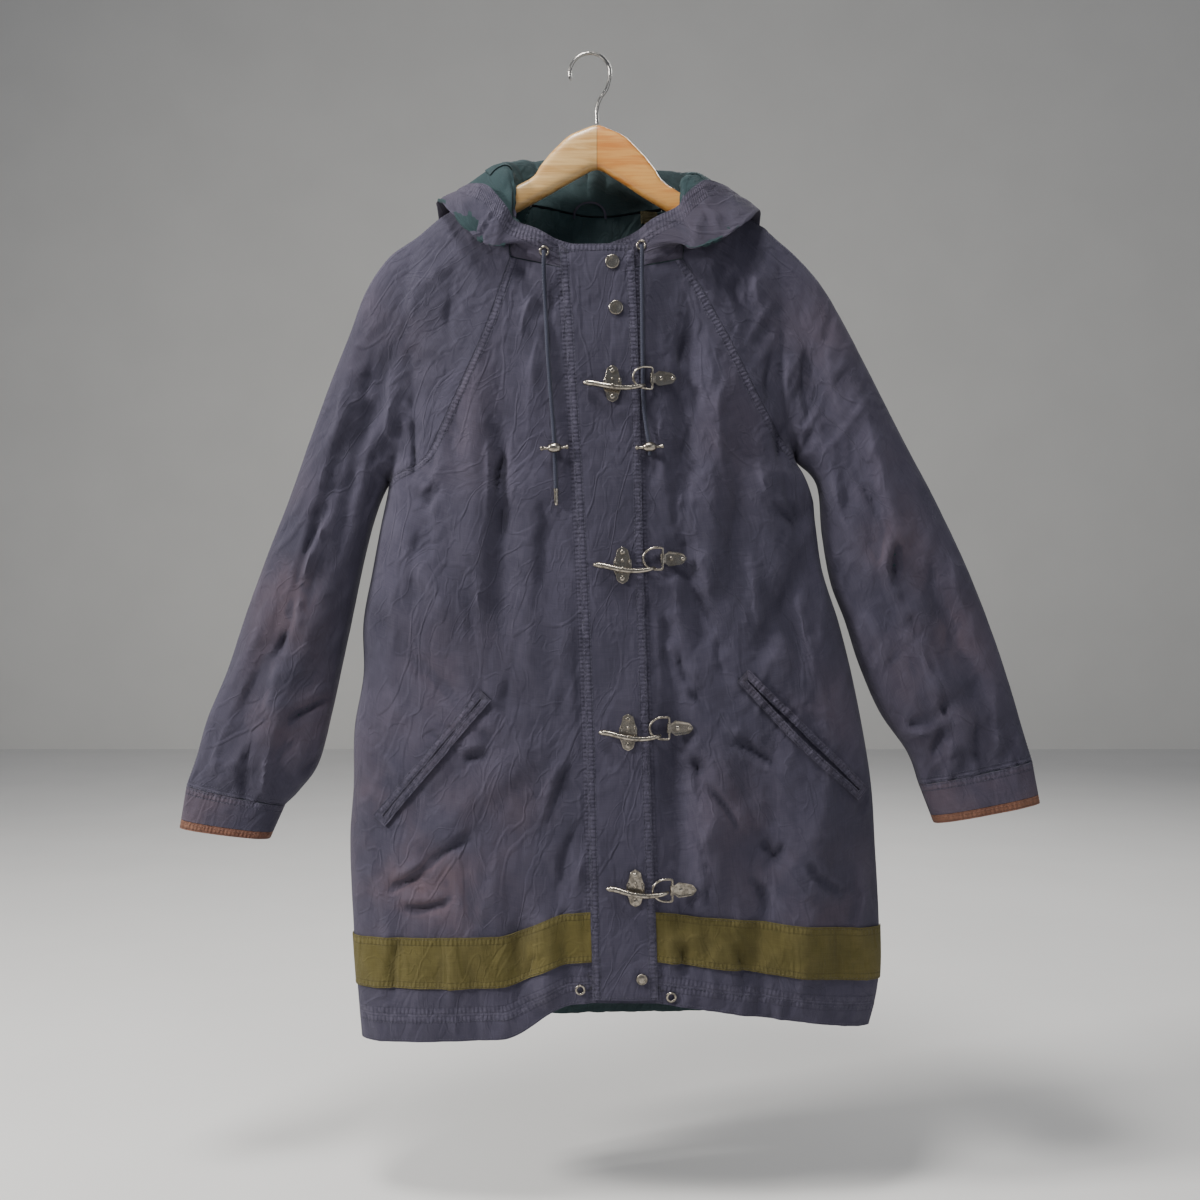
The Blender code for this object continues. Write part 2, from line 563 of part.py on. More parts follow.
def grid_normals(grid, probe, towards):
    """Unit normals of a grid by differences, turned so that the one at the probe's row and
    column points towards a direction."""
    rows = len(grid)
    columns = len(grid[0])
    normals = []
    for i in range(rows):
        line = []
        for j in range(columns):
            down = grid[min(i + 1, rows - 1)][j] - grid[max(i - 1, 0)][j]
            side = grid[i][min(j + 1, columns - 1)] - grid[i][max(j - 1, 0)]
            line.append(down.cross(side).normalized())
        normals.append(line)
    row, column = probe
    if normals[row][column].dot(towards) < 0.0:
        normals = [[-n for n in line] for line in normals]
    return normals


def smooth_path(points, steps):
    """Points on a centripetal curve through the given points, steps[i] on each span."""
    result = [points[0].copy()]
    for i in range(len(points) - 1):
        p1 = points[i]
        p2 = points[i + 1]
        p0 = points[i - 1] if i > 0 else p1 - (p2 - p1)
        p3 = points[i + 2] if i + 2 < len(points) else p2 + (p2 - p1)
        t0 = 0.0
        t1 = t0 + math.sqrt((p1 - p0).length)
        t2 = t1 + math.sqrt((p2 - p1).length)
        t3 = t2 + math.sqrt((p3 - p2).length)
        for k in range(1, steps[i] + 1):
            t = mix(t1, t2, k / steps[i])
            a1 = p0.lerp(p1, (t - t0) / (t1 - t0))
            a2 = p1.lerp(p2, (t - t1) / (t2 - t1))
            a3 = p2.lerp(p3, (t - t2) / (t3 - t2))
            b1 = a1.lerp(a2, (t - t0) / (t2 - t0))
            b2 = a2.lerp(a3, (t - t1) / (t3 - t1))
            result.append(b1.lerp(b2, (t - t1) / (t2 - t1)))
    return result


def resample(points, step):
    """Points evenly spaced along a path, about a step apart."""
    lengths = [0.0]
    for a, b in zip(points, points[1:]):
        lengths.append(lengths[-1] + (b - a).length)
    count = max(2, round(lengths[-1] / step))
    result = []
    at = 0
    for k in range(count + 1):
        want = lengths[-1] * k / count
        while at < len(points) - 2 and lengths[at + 1] < want:
            at += 1
        share = (want - lengths[at]) / (lengths[at + 1] - lengths[at])
        result.append(points[at].lerp(points[at + 1], share))
    return result


def tube(name, points, radii, sides, colour, closed=False):
    """Round bar along a path, with flat ends or closed into a ring."""
    count = len(points)
    rings = []
    across = None
    for i in range(count):
        ahead = points[(i + 1) % count] if closed else points[min(i + 1, count - 1)]
        behind = points[i - 1] if closed or i > 0 else points[0]
        along = (ahead - behind).normalized()
        if across is None:
            across = along.cross(Vector((0.3, 1.0, 0.2))).normalized()
        across = (across - along * across.dot(along)).normalized()
        other = along.cross(across)
        ring = []
        for k in range(sides):
            angle = 2.0 * math.pi * k / sides
            ring.append(points[i] + (across * math.cos(angle) + other * math.sin(angle)) * radii[i])
        rings.append(ring)
    vertices = [p for ring in rings for p in ring]
    faces = []
    for i in range(count if closed else count - 1):
        after = (i + 1) % count
        for k in range(sides):
            beside = (k + 1) % sides
            faces.append((i * sides + k, i * sides + beside, after * sides + beside, after * sides + k))
    if not closed:
        faces.append(tuple(range(sides)))
        faces.append(tuple((count - 1) * sides + k for k in range(sides)))
    return add_mesh(name, vertices, faces, colour)


def turned(name, profile, sides, place, axis, colour):
    """Solid turned about an axis from (along, radius) rows, with flat ends."""
    points = [place + axis * along for along, _ in profile]
    radii = [radius for _, radius in profile]
    return tube(name, points, radii, sides, colour)


# ---------------------------------------------------------------- shared surfaces
def side_profile(x, z):
    """Share of the torso's full depth at a place, 0 at its edges and at the shoulder ridge."""
    left = read_table(TORSO, z, 1)
    right = read_table(TORSO, z, 2)
    across = clamp(abs((x - (left + right) / 2.0) / ((right - left) / 2.0)))
    side = (1.0 - across ** SIDE_POWER) ** (1.0 / SIDE_POWER)
    below = clamp((read_table(RIDGE, x, 1) - z) / SHOULDER_FALL)
    return side * math.sqrt(max(0.0, 1.0 - (1.0 - below) ** 2))


def front_y(x, z):
    """Depth of the coat's front surface."""
    share = side_profile(x, z)
    return -SEAM / 2.0 - share * (read_table(TORSO, z, 3) + fold_height(FRONT_FOLDS, x, z))


def back_y(x, z):
    """Depth of the coat's back surface."""
    share = side_profile(x, z)
    return SEAM / 2.0 + share * (read_table(TORSO, z, 4) + fold_height(BACK_FOLDS, x, z))


def surface_point(surface, x, z):
    """Point of a front or back surface."""
    return Vector((x, surface(x, z), z))


def surface_normal(surface, x, z, facing):
    """Unit normal of a front or back surface; facing is -1 for the front and 1 for the back."""
    left = read_table(TORSO, z, 1)
    right = read_table(TORSO, z, 2)
    reach = 0.00005
    x = clamp(x, left, right)
    x0 = max(x - reach, left)
    x1 = min(x + reach, right)
    slope_x = (surface(x1, z) - surface(x0, z)) / (x1 - x0)
    slope_z = (surface(x, z + reach) - surface(x, z - reach)) / (2.0 * reach)
    slope_z = clamp(slope_z, -3.0, 3.0)
    return (Vector((-slope_x, 1.0, -slope_z)) * facing).normalized()


def placket_edge(z, column):
    """Left or right edge of the placket at a height."""
    return read_table(PLACKET, z, column)


def front_line(row, side):
    """Places across one front row, from a side edge to the placket's edge on that side."""
    left_x, left_z, middle_z, right_x, right_z, late = row
    if side == "left":
        edge_x, edge_z = max(left_x + SEAM / 2.0, read_table(TORSO, left_z, 1)), left_z
        inner_x = placket_edge(middle_z, 1)
    else:
        edge_x, edge_z = min(right_x - SEAM / 2.0, read_table(TORSO, right_z, 2)), right_z
        inner_x = placket_edge(middle_z, 2)
        late = 0.0
    places = []
    for step in FRONT_STEPS:
        sharp = ease((step - LATE_RISE[0]) / (LATE_RISE[1] - LATE_RISE[0]))
        rise = mix(step, 0.3 * step + 0.7 * sharp, late)
        places.append((mix(edge_x, inner_x, step), mix(edge_z, middle_z, rise)))
    return places


def meeting_x(z):
    """Where the two fronts meet under the placket."""
    return mix(placket_edge(z, 1), placket_edge(z, 2), MEETING)


def surface_grid(surface, facing, lines):
    """Points and normals of a surface over lines of (x, z) places."""
    points = [[surface_point(surface, x, z) for x, z in line] for line in lines]
    normals = [[surface_normal(surface, x, z, facing) for x, z in line] for line in lines]
    return points, normals


def front_lines():
    """Lines of the left front and of the right front, each from its side to the meeting."""
    left = []
    right = []
    for row in FRONT_ROWS:
        middle_z = row[2]
        left.append(front_line(row, "left") + [(meeting_x(middle_z) - SEAM / 2.0, middle_z)])
        between = mix(meeting_x(middle_z), placket_edge(middle_z, 2), 0.5)
        right.append(
            front_line(row, "right")
            + [(between, middle_z), (meeting_x(middle_z) + SEAM / 2.0, middle_z)]
        )
    return left, right


def back_lines():
    """Lines of the back from its left edge to its right edge."""
    rows = list(BACK_NECK_ROWS)
    for left_x, left_z, _, right_x, right_z, _ in FRONT_ROWS[UNDERARM_ROW + 1:]:
        rows.append((left_x, left_z, (left_z + right_z) / 2.0 - BACK_DROOP, right_x, right_z))
    lines = []
    for left_x, left_z, middle_z, right_x, right_z in rows:
        middle_x = (left_x + right_x) / 2.0
        line = [
            (mix(left_x + SEAM / 2.0, middle_x, s), mix(left_z, middle_z, ease(s))) for s in BACK_STEPS
        ]
        line += [
            (mix(right_x - SEAM / 2.0, middle_x, s), mix(right_z, middle_z, ease(s)))
            for s in reversed(BACK_STEPS[:-1])
        ]
        lines.append(line)
    return lines


# ---------------------------------------------------------------- sleeves
def sleeve_row(table, at, back):
    """Row of a sleeve at a place along it, 0 to 1, with the back raglan seam for its back."""
    place = at * (len(table) - 1)
    low = min(int(place), len(table) - 2)
    t = place - low
    rows = list(table)
    if back:
        side = 0 if table[0][0] < 0.0 else 3
        for i, neck in enumerate(BACK_NECK_ROWS):
            rows[i] = rows[i][:2] + neck[side:side + 2] + rows[i][4:]
    keyed = [(i,) + row for i, row in enumerate(rows)]
    return [read_table(keyed, low + t, column + 1) for column in range(6)]


def sleeve_point(table, along, across, back):
    """Point of a sleeve, along from the neck to the cuff seam, across from over to under."""
    over_x, over_z, under_x, under_z, front, rear = sleeve_row(table, along, back)
    underarm = UNDERARM_ROW / (len(table) - 1)
    lower = ease((along - underarm * 0.55) / (underarm * 0.45))
    open_step = 1.0 - math.cos(across * math.pi / 2.0)
    shut_step = (1.0 - math.cos(across * math.pi)) / 2.0
    step = mix(mix(open_step, across, 0.35), shut_step, lower)
    outward = -1.0 if over_x < under_x else 1.0
    inset = SEAM / 2.0 * (1.0 - lower) * across * outward
    x = mix(over_x, under_x, step) + inset
    z = mix(over_z, under_z, step)
    depth = rear if back else front
    swell = (1.0 - abs(2.0 * step - 1.0) ** SIDE_POWER) ** (1.0 / SIDE_POWER)
    for from_at, to_at, from_side, to_side, width, height in SLEEVE_FOLDS:
        run = clamp((along - from_at) / (to_at - from_at), -0.2, 1.2)
        middle = mix(from_side, to_side, run)
        taper = ease((run + 0.2) / 0.35) * ease((1.2 - run) / 0.35)
        depth += height * taper * math.exp(-((step - middle) / width) ** 2)
    y = depth * swell + SEAM / 2.0 - SLEEVE_INNER_Y * step * (1.0 - lower)
    if along < underarm:
        torso = back_y(x, z) if back else -front_y(x, z)
        y = max(y, torso)
    return Vector((x, y if back else -y, z))


def sleeve_grid(table, back):
    """Points and normals of half a sleeve."""
    rows = len(table)
    points = []
    normals = []
    reach = 0.001
    for i in range(rows):
        along = i / (rows - 1)
        line = []
        turned_line = []
        for j in range(SLEEVE_COLUMNS + 1):
            across = j / SLEEVE_COLUMNS
            line.append(sleeve_point(table, along, across, back))
            down = sleeve_point(table, clamp(along + reach), across, back)
            down -= sleeve_point(table, clamp(along - reach), across, back)
            side = sleeve_point(table, along, clamp(across + reach), back)
            side -= sleeve_point(table, along, clamp(across - reach), back)
            turned_line.append(down.cross(side).normalized())
        points.append(line)
        normals.append(turned_line)
    facing = 1.0 if back else -1.0
    if normals[rows // 2][SLEEVE_COLUMNS // 2].y * facing < 0.0:
        normals = [[-n for n in line] for line in normals]
    return points, normals


def cuff_grid(table, end, start_at, end_at, back):
    """Points and normals of a band round the sleeve's end, between two places on the way
    from the cuff seam to the sleeve's end."""
    points = []
    for share in (start_at, (start_at + end_at) / 2.0, end_at):
        row = [mix(a, b, share) for a, b in zip(table[-1], end)]
        over_x, over_z, under_x, under_z, front, rear = row
        depth = rear if back else front
        line = []
        for j in range(SLEEVE_COLUMNS + 1):
            step = (1.0 - math.cos(math.pi * j / SLEEVE_COLUMNS)) / 2.0
            swell = (1.0 - abs(2.0 * step - 1.0) ** SIDE_POWER) ** (1.0 / SIDE_POWER)
            y = depth * swell + SEAM / 2.0
            line.append(Vector((mix(over_x, under_x, step), y if back else -y, mix(over_z, under_z, step))))
        points.append(line)
    facing = Vector((0.0, 1.0 if back else -1.0, 0.0))
    normals = grid_normals(points, (1, SLEEVE_COLUMNS // 2), facing)
    for line, row_points in zip(normals, points):
        edge = (row_points[0] - row_points[-1]).normalized()
        line[0] = edge
        line[-1] = -edge
    return points, normals


# ---------------------------------------------------------------- cloth pieces
def make_fronts():
    """Both fronts, and the grids that the pieces on them are made from."""
    left, right = front_lines()
    left_grid = surface_grid(front_y, -1.0, left)
    right_grid = surface_grid(front_y, -1.0, right)
    fronts = {
        "left": wall("front_left", *left_grid, CLOTH, CLOTH_COLOUR),
        "right": wall("front_right", *right_grid, CLOTH, CLOTH_COLOUR),
    }
    return fronts, left_grid, right_grid


def part_of(grid, rows, columns):
    """Part of a grid's points and normals."""
    points, normals = grid
    return (
        [line[columns[0]:columns[1] + 1] for line in points[rows[0]:rows[1] + 1]],
        [line[columns[0]:columns[1] + 1] for line in normals[rows[0]:rows[1] + 1]],
    )


def make_bands(left_grid, right_grid, back_grid):
    """Olive band above the hem, in three pieces."""
    last = len(FRONT_STEPS) - 1
    rows = (BAND_TOP_ROW, BAND_LOW_ROW)
    wall("band_left", *part_of(left_grid, rows, (0, last - 1)), TRIM, BAND_COLOUR, LIFT)
    wall("band_right", *part_of(right_grid, rows, (0, last - 1)), TRIM, BAND_COLOUR, LIFT)
    width = len(back_grid[0][0]) - 1
    wall("band_back", *part_of(back_grid, rows, (0, width)), TRIM, BAND_COLOUR, LIFT)


def make_placket():
    """Storm fly over the front opening, made from the front's points moved out."""
    heights = [PLACKET_TOP] + [row[2] for row in FRONT_ROWS]
    heights[-1] = PLACKET_FOOT
    lines = []
    for z in heights:
        left = placket_edge(z, 1)
        right = placket_edge(z, 2)
        meeting = meeting_x(z)
        lines.append([(left, z), (meeting, z), (mix(meeting, right, 0.5), z), (right, z)])
    lines[0][-1] = (lines[0][-1][0] - PLACKET_CORNER / 2.0, PLACKET_TOP - PLACKET_CORNER / 2.0)
    grid = surface_grid(front_y, -1.0, lines)
    return wall("placket", *grid, CLOTH, CLOTH_COLOUR, LIFT)


def make_back():
    """Back panel and its grid."""
    grid = surface_grid(back_y, 1.0, back_lines())
    wall("back", *grid, CLOTH, CLOTH_COLOUR)
    return grid


def make_sleeves():
    """Both sleeves in two halves each, their cuffs and the bindings at their ends."""
    ends = (("left", SLEEVE_LEFT, CUFF_LEFT_END), ("right", SLEEVE_RIGHT, CUFF_RIGHT_END))
    gap = SEAM / (CUFF_LENGTH + BINDING)
    seam_at = CUFF_LENGTH / (CUFF_LENGTH + BINDING)
    for side, table, end in ends:
        for half in ("front", "back"):
            back = half == "back"
            wall(f"sleeve_{side}_{half}", *sleeve_grid(table, back), CLOTH, SLEEVE_COLOUR)
            cuff = cuff_grid(table, end, gap, seam_at - gap / 2.0, back)
            wall(f"cuff_{side}_{half}", *cuff, CLOTH, SLEEVE_COLOUR)
            edge = cuff_grid(table, end, seam_at + gap / 2.0, 1.0, back)
            wall(f"binding_{side}_{half}", *edge, CLOTH, BINDING_COLOUR)


def make_welts(fronts):
    """Welt round each slanted pocket's slit, laid on the front's own faces."""
    for side, (x0, z0, x1, z1, gape) in POCKETS.items():
        mesh = fronts[side].data
        tree = BVHTree.FromPolygons([v.co for v in mesh.vertices], [p.vertices for p in mesh.polygons])
        run = Vector((x1 - x0, 0.0, z1 - z0))
        length = run.length
        run.normalize()
        across = Vector((0.0, -1.0, 0.0)).cross(run)
        if across.z < 0.0:
            across = -across
        shares = [k / WELT_STEPS for k in range(WELT_STEPS + 1)]
        loop = [(share, 1.0) for share in shares] + [(share, -1.0) for share in reversed(shares)]
        points = []
        for share, lip in loop:
            swell = math.sin(math.pi * share)
            end = (share == 1.0) - (share == 0.0)
            line = []
            for width in (0.0, 0.5, 1.0):
                away = WELT_GAP / 2.0 + WELT_WIDTH * width
                if lip < 0.0:
                    away += gape * swell
                place = Vector((x0, 0.0, z0)) + run * (length * share + end * WELT_END * width)
                place += across * (lip * away)
                hit = tree.ray_cast(Vector((place.x, -0.5, place.z)), Vector((0.0, 1.0, 0.0)))[0]
                raised = WELT_LIFT
                if lip < 0.0:
                    raised += gape * WELT_BULGE * swell * (1.0 - width)
                line.append(hit + Vector((0.0, -raised, 0.0)))
            points.append(line)
        normals = [[Vector((0.0, -1.0, 0.0))] * 3 for _ in points]
        wall(f"welt_{side}", points, normals, TRIM, CLOTH_COLOUR, 0.00001, ring=True)


# ---------------------------------------------------------------- neck and hood
def neck_curve(left_grid, right_grid, back_grid):
    """Points along the neckline from the meeting at the front, round the left and the back."""
    path = list(reversed(left_grid[0][0]))
    path += [sleeve_point(SLEEVE_LEFT, 0.0, 1.0 - k / 6.0, False) for k in range(1, 7)]
    path += [sleeve_point(SLEEVE_LEFT, 0.0, k / 6.0, True) for k in range(1, 6)]
    path += back_grid[0][0]
    path += [sleeve_point(SLEEVE_RIGHT, 0.0, 1.0 - k / 6.0, True) for k in range(1, 6)]
    path += [sleeve_point(SLEEVE_RIGHT, 0.0, k / 6.0, False) for k in range(0, 6)]
    path += right_grid[0][0]
    return path


def neck_place(path, share):
    """Point a share of the way along the neckline."""
    lengths = [0.0]
    for a, b in zip(path, path[1:]):
        lengths.append(lengths[-1] + (b - a).length)
    want = lengths[-1] * share
    at = 0
    while at < len(path) - 2 and lengths[at + 1] < want:
        at += 1
    return path[at].lerp(path[at + 1], (want - lengths[at]) / (lengths[at + 1] - lengths[at]))


def hood_grid(path):
    """Points of the hood's shell: a row for each section round the neck."""
    grid = []
    for share, top, low, rim, turn, outward in HOOD:
        seam = neck_place(path, share)
        away = Vector((seam.x - NECK_CENTRE.x, seam.y - NECK_CENTRE.y, 0.0)).normalized()
        start = seam - away * NECK_INSET * outward + NECK_STAND
        top = Vector(top)
        low = Vector(low)
        rim = Vector(rim)
        radial = Vector((top.x - NECK_CENTRE.x, top.y - NECK_CENTRE.y, 0.0)).normalized()
        along = (rim - start).normalized()
        across = along.lerp(radial, outward).normalized() * (turn / 2.0)
        controls = [start, top - across, top + across, low - across, low + across, rim]
        section = smooth_path(controls, HOOD_SPANS)
        grid.append(section[:1] + [clear_of_coat(point) for point in section[1:]])
    return grid


def clear_of_coat(point):
    """Point of the hood moved off the shoulders and out from under the placket."""
    x, y, z = point
    if NECK_SIDES[0] < x < NECK_SIDES[1]:
        reach = ease((x - placket_edge(z, 1)) / 0.01 + 1.4) * ease((placket_edge(z, 2) - x) / 0.01 + 1.4)
        if y < 0.0 and reach > 0.0:
            y = mix(y, max(y, front_y(x, z) + PLACKET_CLEAR), reach)
        return Vector((x, y, z))
    over = read_table(RIDGE, x, 1) + HOOD_CLEAR
    if z < over:
        front = front_y(x, z) - HOOD_CLEAR
        back = back_y(x, z) + HOOD_CLEAR
        if y < 0.0:
            y = min(y, front)
        else:
            y = max(y, back)
    return Vector((x, y, z))


def make_hood(path):
    """Hood thrown back: two sides, the strip between them, and the lining that shows."""
    grid = hood_grid(path)
    normals = grid_normals(grid, (len(HOOD) // 2, 1), Vector((0.0, 1.0, 0.0)))
    first, last = HOOD_CENTRE_ROWS
    parts = {"hood_left": (0, first), "hood_centre": (first, last), "hood_right": (last, len(HOOD) - 1)}
    for name, (start, end) in parts.items():
        points = [list(line) for line in grid[start:end + 1]]
        if start > 0:
            points[0] = [p + (q - p).normalized() * SEAM for p, q in zip(grid[start], grid[start + 1])]
        if end < len(HOOD) - 1:
            points[-1] = [p + (q - p).normalized() * SEAM for p, q in zip(grid[end], grid[end - 1])]
        wall(name, points, normals[start:end + 1], CLOTH, CLOTH_COLOUR)
    start, end = HOOD_LINING_ROWS
    points = [line[:HOOD_LINING_STEPS + 1] for line in grid[start:end + 1]]
    inward = [line[:HOOD_LINING_STEPS + 1] for line in normals[start:end + 1]]
    wall("hood_lining", points, inward, LINING, LINING_COLOUR, -CLOTH - LIFT)
    return grid, normals


def make_neck_trims(back_grid):
    """Facing inside the back neck, the hanging loop on it and a bare tab."""
    width = len(back_grid[0][0]) - 1
    facing = part_of(back_grid, (0, FACING_DEPTH_ROWS), (1, width - 1))
    wall("neck_facing", *facing, LINING, LINING_COLOUR, -CLOTH - LIFT)
    inside = CLOTH + LIFT + LINING + TRIM_CLEAR
    left, right = LOOP_FEET
    middle = (left + right) / 2.0
    half = (right - left) / 2.0
    path = []
    for k in range(LOOP_STEPS + 1):
        angle = math.pi * k / LOOP_STEPS
        x = middle - half * math.cos(angle)
        path.append(Vector((x, 0.0, LOOP_FOOT_Z + LOOP_RISE * math.sin(angle) ** 0.8)))
    points = []
    y = back_y(middle, LOOP_FOOT_Z) - inside - LOOP_STAND
    for shift in (-0.5, 0.5):
        line = []
        for place in path:
            out = (place - Vector((middle, 0.0, LOOP_FOOT_Z))).normalized()
            move = out * (LOOP_WIDTH * shift)
            line.append(Vector((place.x + move.x, y + shift * LOOP_TWIST, place.z + move.z)))
        points.append(line)
    normals = grid_normals(points, (0, LOOP_STEPS // 2), Vector((0.0, -1.0, 0.0)))
    wall("hanging_loop", points, normals, TRIM, CORD_COLOUR)
    lines = [[(mix(TAB_X[0], TAB_X[1], k / 3.0), z) for k in range(4)] for z in TAB_Z]
    tab_points, tab_normals = surface_grid(back_y, 1.0, lines)
    wall("tab", tab_points, tab_normals, TRIM, BAND_COLOUR, -inside - TRIM_CLEAR)


def make_hem_lining(back_grid):
    """Lining that shows inside the back hem, below the front hem."""
    width = len(back_grid[0][0]) - 1
    strip = part_of(back_grid, (HEM_STITCH_ROW, HEM_STITCH_ROW + 1), (3, width - 3))
    wall("hem_lining", *strip, LINING, LINING_COLOUR, -CLOTH - LIFT)


# ---------------------------------------------------------------- hanger
def make_hanger():
    """Contoured wooden hanger and its wire hook."""
    sides = HANGER_SIDES
    points = []
    faces = []
    for x, top, bottom, half in HANGER_SECTIONS:
        middle = (top + bottom) / 2.0
        height = (top - bottom) / 2.0
        for k in range(sides):
            angle = 2.0 * math.pi * (k + 0.5) / sides
            bulge_y = math.copysign(abs(math.cos(angle)) ** HANGER_SQUARE, math.cos(angle))
            bulge_z = math.copysign(abs(math.sin(angle)) ** HANGER_SQUARE, math.sin(angle))
            points.append(Vector((x, half * bulge_y, middle + height * bulge_z)))
    rows = len(HANGER_SECTIONS)
    for i in range(rows - 1):
        for k in range(sides):
            beside = (k + 1) % sides
            faces.append((i * sides + k, i * sides + beside, (i + 1) * sides + beside, (i + 1) * sides + k))
    faces.append(tuple(range(sides)))
    faces.append(tuple((rows - 1) * sides + k for k in range(sides)))
    add_mesh("hanger_wood", points, faces, WOOD_COLOUR)
    radius = HOOK_RADIUS + HOOK_WIRE / 2.0
    arc = []
    for k in range(HOOK_STEPS + 1):
        angle = math.radians(mix(HOOK_ARC[0], HOOK_ARC[1], k / HOOK_STEPS))
        arc.append(Vector((radius * math.cos(angle), 0.0, -HOOK_RADIUS + radius * math.sin(angle))))
    neck = [Vector((x, 0.0, z)) for x, z in HOOK_NECK]
    path = arc + smooth_path([arc[-1]] + neck, [2] * len(neck))[1:]
    tube("hanger_hook", path, [HOOK_WIRE / 2.0] * len(path), HANGER_SIDES, STEEL_COLOUR)


# ---------------------------------------------------------------- clasps and small hardware
def on_cloth(x, z, height):
    """Point a height in front of the front's surface."""
    return surface_point(front_y, x, z) + Vector((0.0, -height, 0.0))


def outermost(x, z, half_width, half_height):
    """Depth of the front's outermost point over a small oblong."""
    steps = (-1.0, -0.5, 0.0, 0.5, 1.0)
    return min(front_y(x + half_width * i, z + half_height * j) for i in steps for j in steps)


def make_clasps():
    """Four clasps: base plate, lever hook, ring and ring plate."""
    over = LIFT + CLOTH
    for number, (x0, z0, rise, reach, bow, extra) in enumerate(CLASPS, start=1):
        face = outermost(x0 + BASE_X, z0, *BASE_REACH) - over
        # base plate, flat on the placket
        outline = [(BASE_X + half, dz) for dz, half in BASE_OUTLINE]
        outline += [(BASE_X - half, dz) for dz, half in reversed(BASE_OUTLINE)]
        count = len(outline)
        rear = [Vector((x0 + dx, face - BASE_CLEAR, z0 + dz)) for dx, dz in outline]
        front = [p + Vector((0.0, -BASE_THICK, 0.0)) for p in rear]
        faces = [tuple(range(count)), tuple(range(2 * count - 1, count - 1, -1))]
        faces += [(k, (k + 1) % count, count + (k + 1) % count, count + k) for k in range(count)]
        add_mesh(f"clasp_{number}_base", rear + front, faces, METAL_COLOUR)
        # lever hook over the base
        path = [
            Vector((x0 + dx, face - LEVER_CLEAR - h - extra * ease(dx / BASE_X), z0 + dz))
            for dx, dz, h, _ in LEVER_PATH
        ]
        radii = [radius for _, _, _, radius in LEVER_PATH]
        tube(f"clasp_{number}_lever", path, radii, LEVER_SIDES, METAL_COLOUR)
        # ring: straight bar at the right, bow at the left
        bar_x = x0 + reach
        bar_z = z0 + rise
        ground = outermost(bar_x + PLATE_LENGTH / 2.0, bar_z, *PLATE_REACH)
        bar_y = ground - BASE_CLEAR - PLATE_THICK - CURL_CLEAR - RING_WIRE / 2.0
        half = RING_HEIGHT / 2.0 - RING_WIRE / 2.0
        flat = [(0.0, -half), (0.0, 0.0), (0.0, half), (-RING_STRAIGHT, half)]
        bow_depth = RING_DEPTH - RING_STRAIGHT
        for k in range(1, RING_BOW_STEPS):
            angle = math.pi / 2.0 - math.pi * k / RING_BOW_STEPS
            flat.append((-RING_STRAIGHT - bow_depth * math.cos(angle), half * math.sin(angle)))
        flat.append((-RING_STRAIGHT, -half))
        ring = [Vector((bar_x + dx, bar_y - bow * (-dx / RING_DEPTH), bar_z + dz)) for dx, dz in flat]
        radii = [RING_WIRE / 2.0] * len(ring)
        tube(f"clasp_{number}_ring", ring, radii, RING_SIDES, METAL_COLOUR, closed=True)
        # ring plate: flat on the front, its root curled round the ring's bar
        make_ring_plate(f"clasp_{number}_plate", bar_x, bar_y, bar_z)


def make_ring_plate(name, bar_x, bar_y, bar_z):
    """Tapered plate whose root curls round the bar; seen from above it is a hook shape."""
    inner = RING_WIRE / 2.0 + CURL_CLEAR
    outer = inner + PLATE_THICK
    profile = []
    for k in range(CURL_STEPS):
        angle = math.radians(mix(-20.0, 180.0, k / (CURL_STEPS - 1)))
        profile.append((bar_x - outer * math.sin(angle), bar_y - outer * math.cos(angle), PLATE_WIDTHS[0]))
    base_y = bar_y + outer
    flats = (0.25, 0.5, 0.8, 1.0)
    for share, width in zip(flats, PLATE_WIDTHS[1:]):
        profile.append((bar_x + PLATE_LENGTH * share, base_y, width))
    points = [
        [Vector((x, y, bar_z + width / 2.0)), Vector((x, y, bar_z)), Vector((x, y, bar_z - width / 2.0))]
        for x, y, width in profile
    ]
    normals = grid_normals(points, (-1, 1), Vector((0.0, 1.0, 0.0)))
    wall(name, points, normals, PLATE_THICK, METAL_COLOUR)


def make_snaps_and_eyelets(hood_points, hood_normals):
    """Snap caps on the placket, eyelets on the hood and at the hem."""
    out = Vector((0.0, -1.0, 0.0))
    for number, (x, z, radius) in enumerate(SNAPS, start=1):
        profile = [(SNAP_HEIGHT * height, radius * width) for height, width in SNAP_PROFILE]
        place = on_cloth(x, z, LIFT + CLOTH + SNAP_CLEAR)
        turned(f"snap_{number}", profile, SNAP_SIDES, place, out, METAL_COLOUR)
    for side, (x, z) in HEM_EYELETS.items():
        normal = surface_normal(front_y, x, z, -1.0)
        eyelet(f"eyelet_hem_{side}", surface_point(front_y, x, z) + normal * HEM_EYELET_CLEAR, normal)
    tree = hood_tree(hood_points)
    for side, (x, z) in HOOD_EYELETS.items():
        hit, normal, _, _ = tree.ray_cast(Vector((x, -0.5, z)), Vector((0.0, 1.0, 0.0)))
        if normal.y > 0.0:
            normal = -normal
        eyelet(f"eyelet_hood_{side}", hit + normal * HOOD_EYELET_CLEAR, normal)


def hood_tree(grid):
    """Search tree of the hood's outer faces."""
    columns = len(grid[0])
    points = [p for line in grid for p in line]
    faces = []
    for i in range(len(grid) - 1):
        for j in range(columns - 1):
            a = i * columns + j
            faces.append((a, a + 1, a + columns + 1, a + columns))
    return BVHTree.FromPolygons(points, faces)


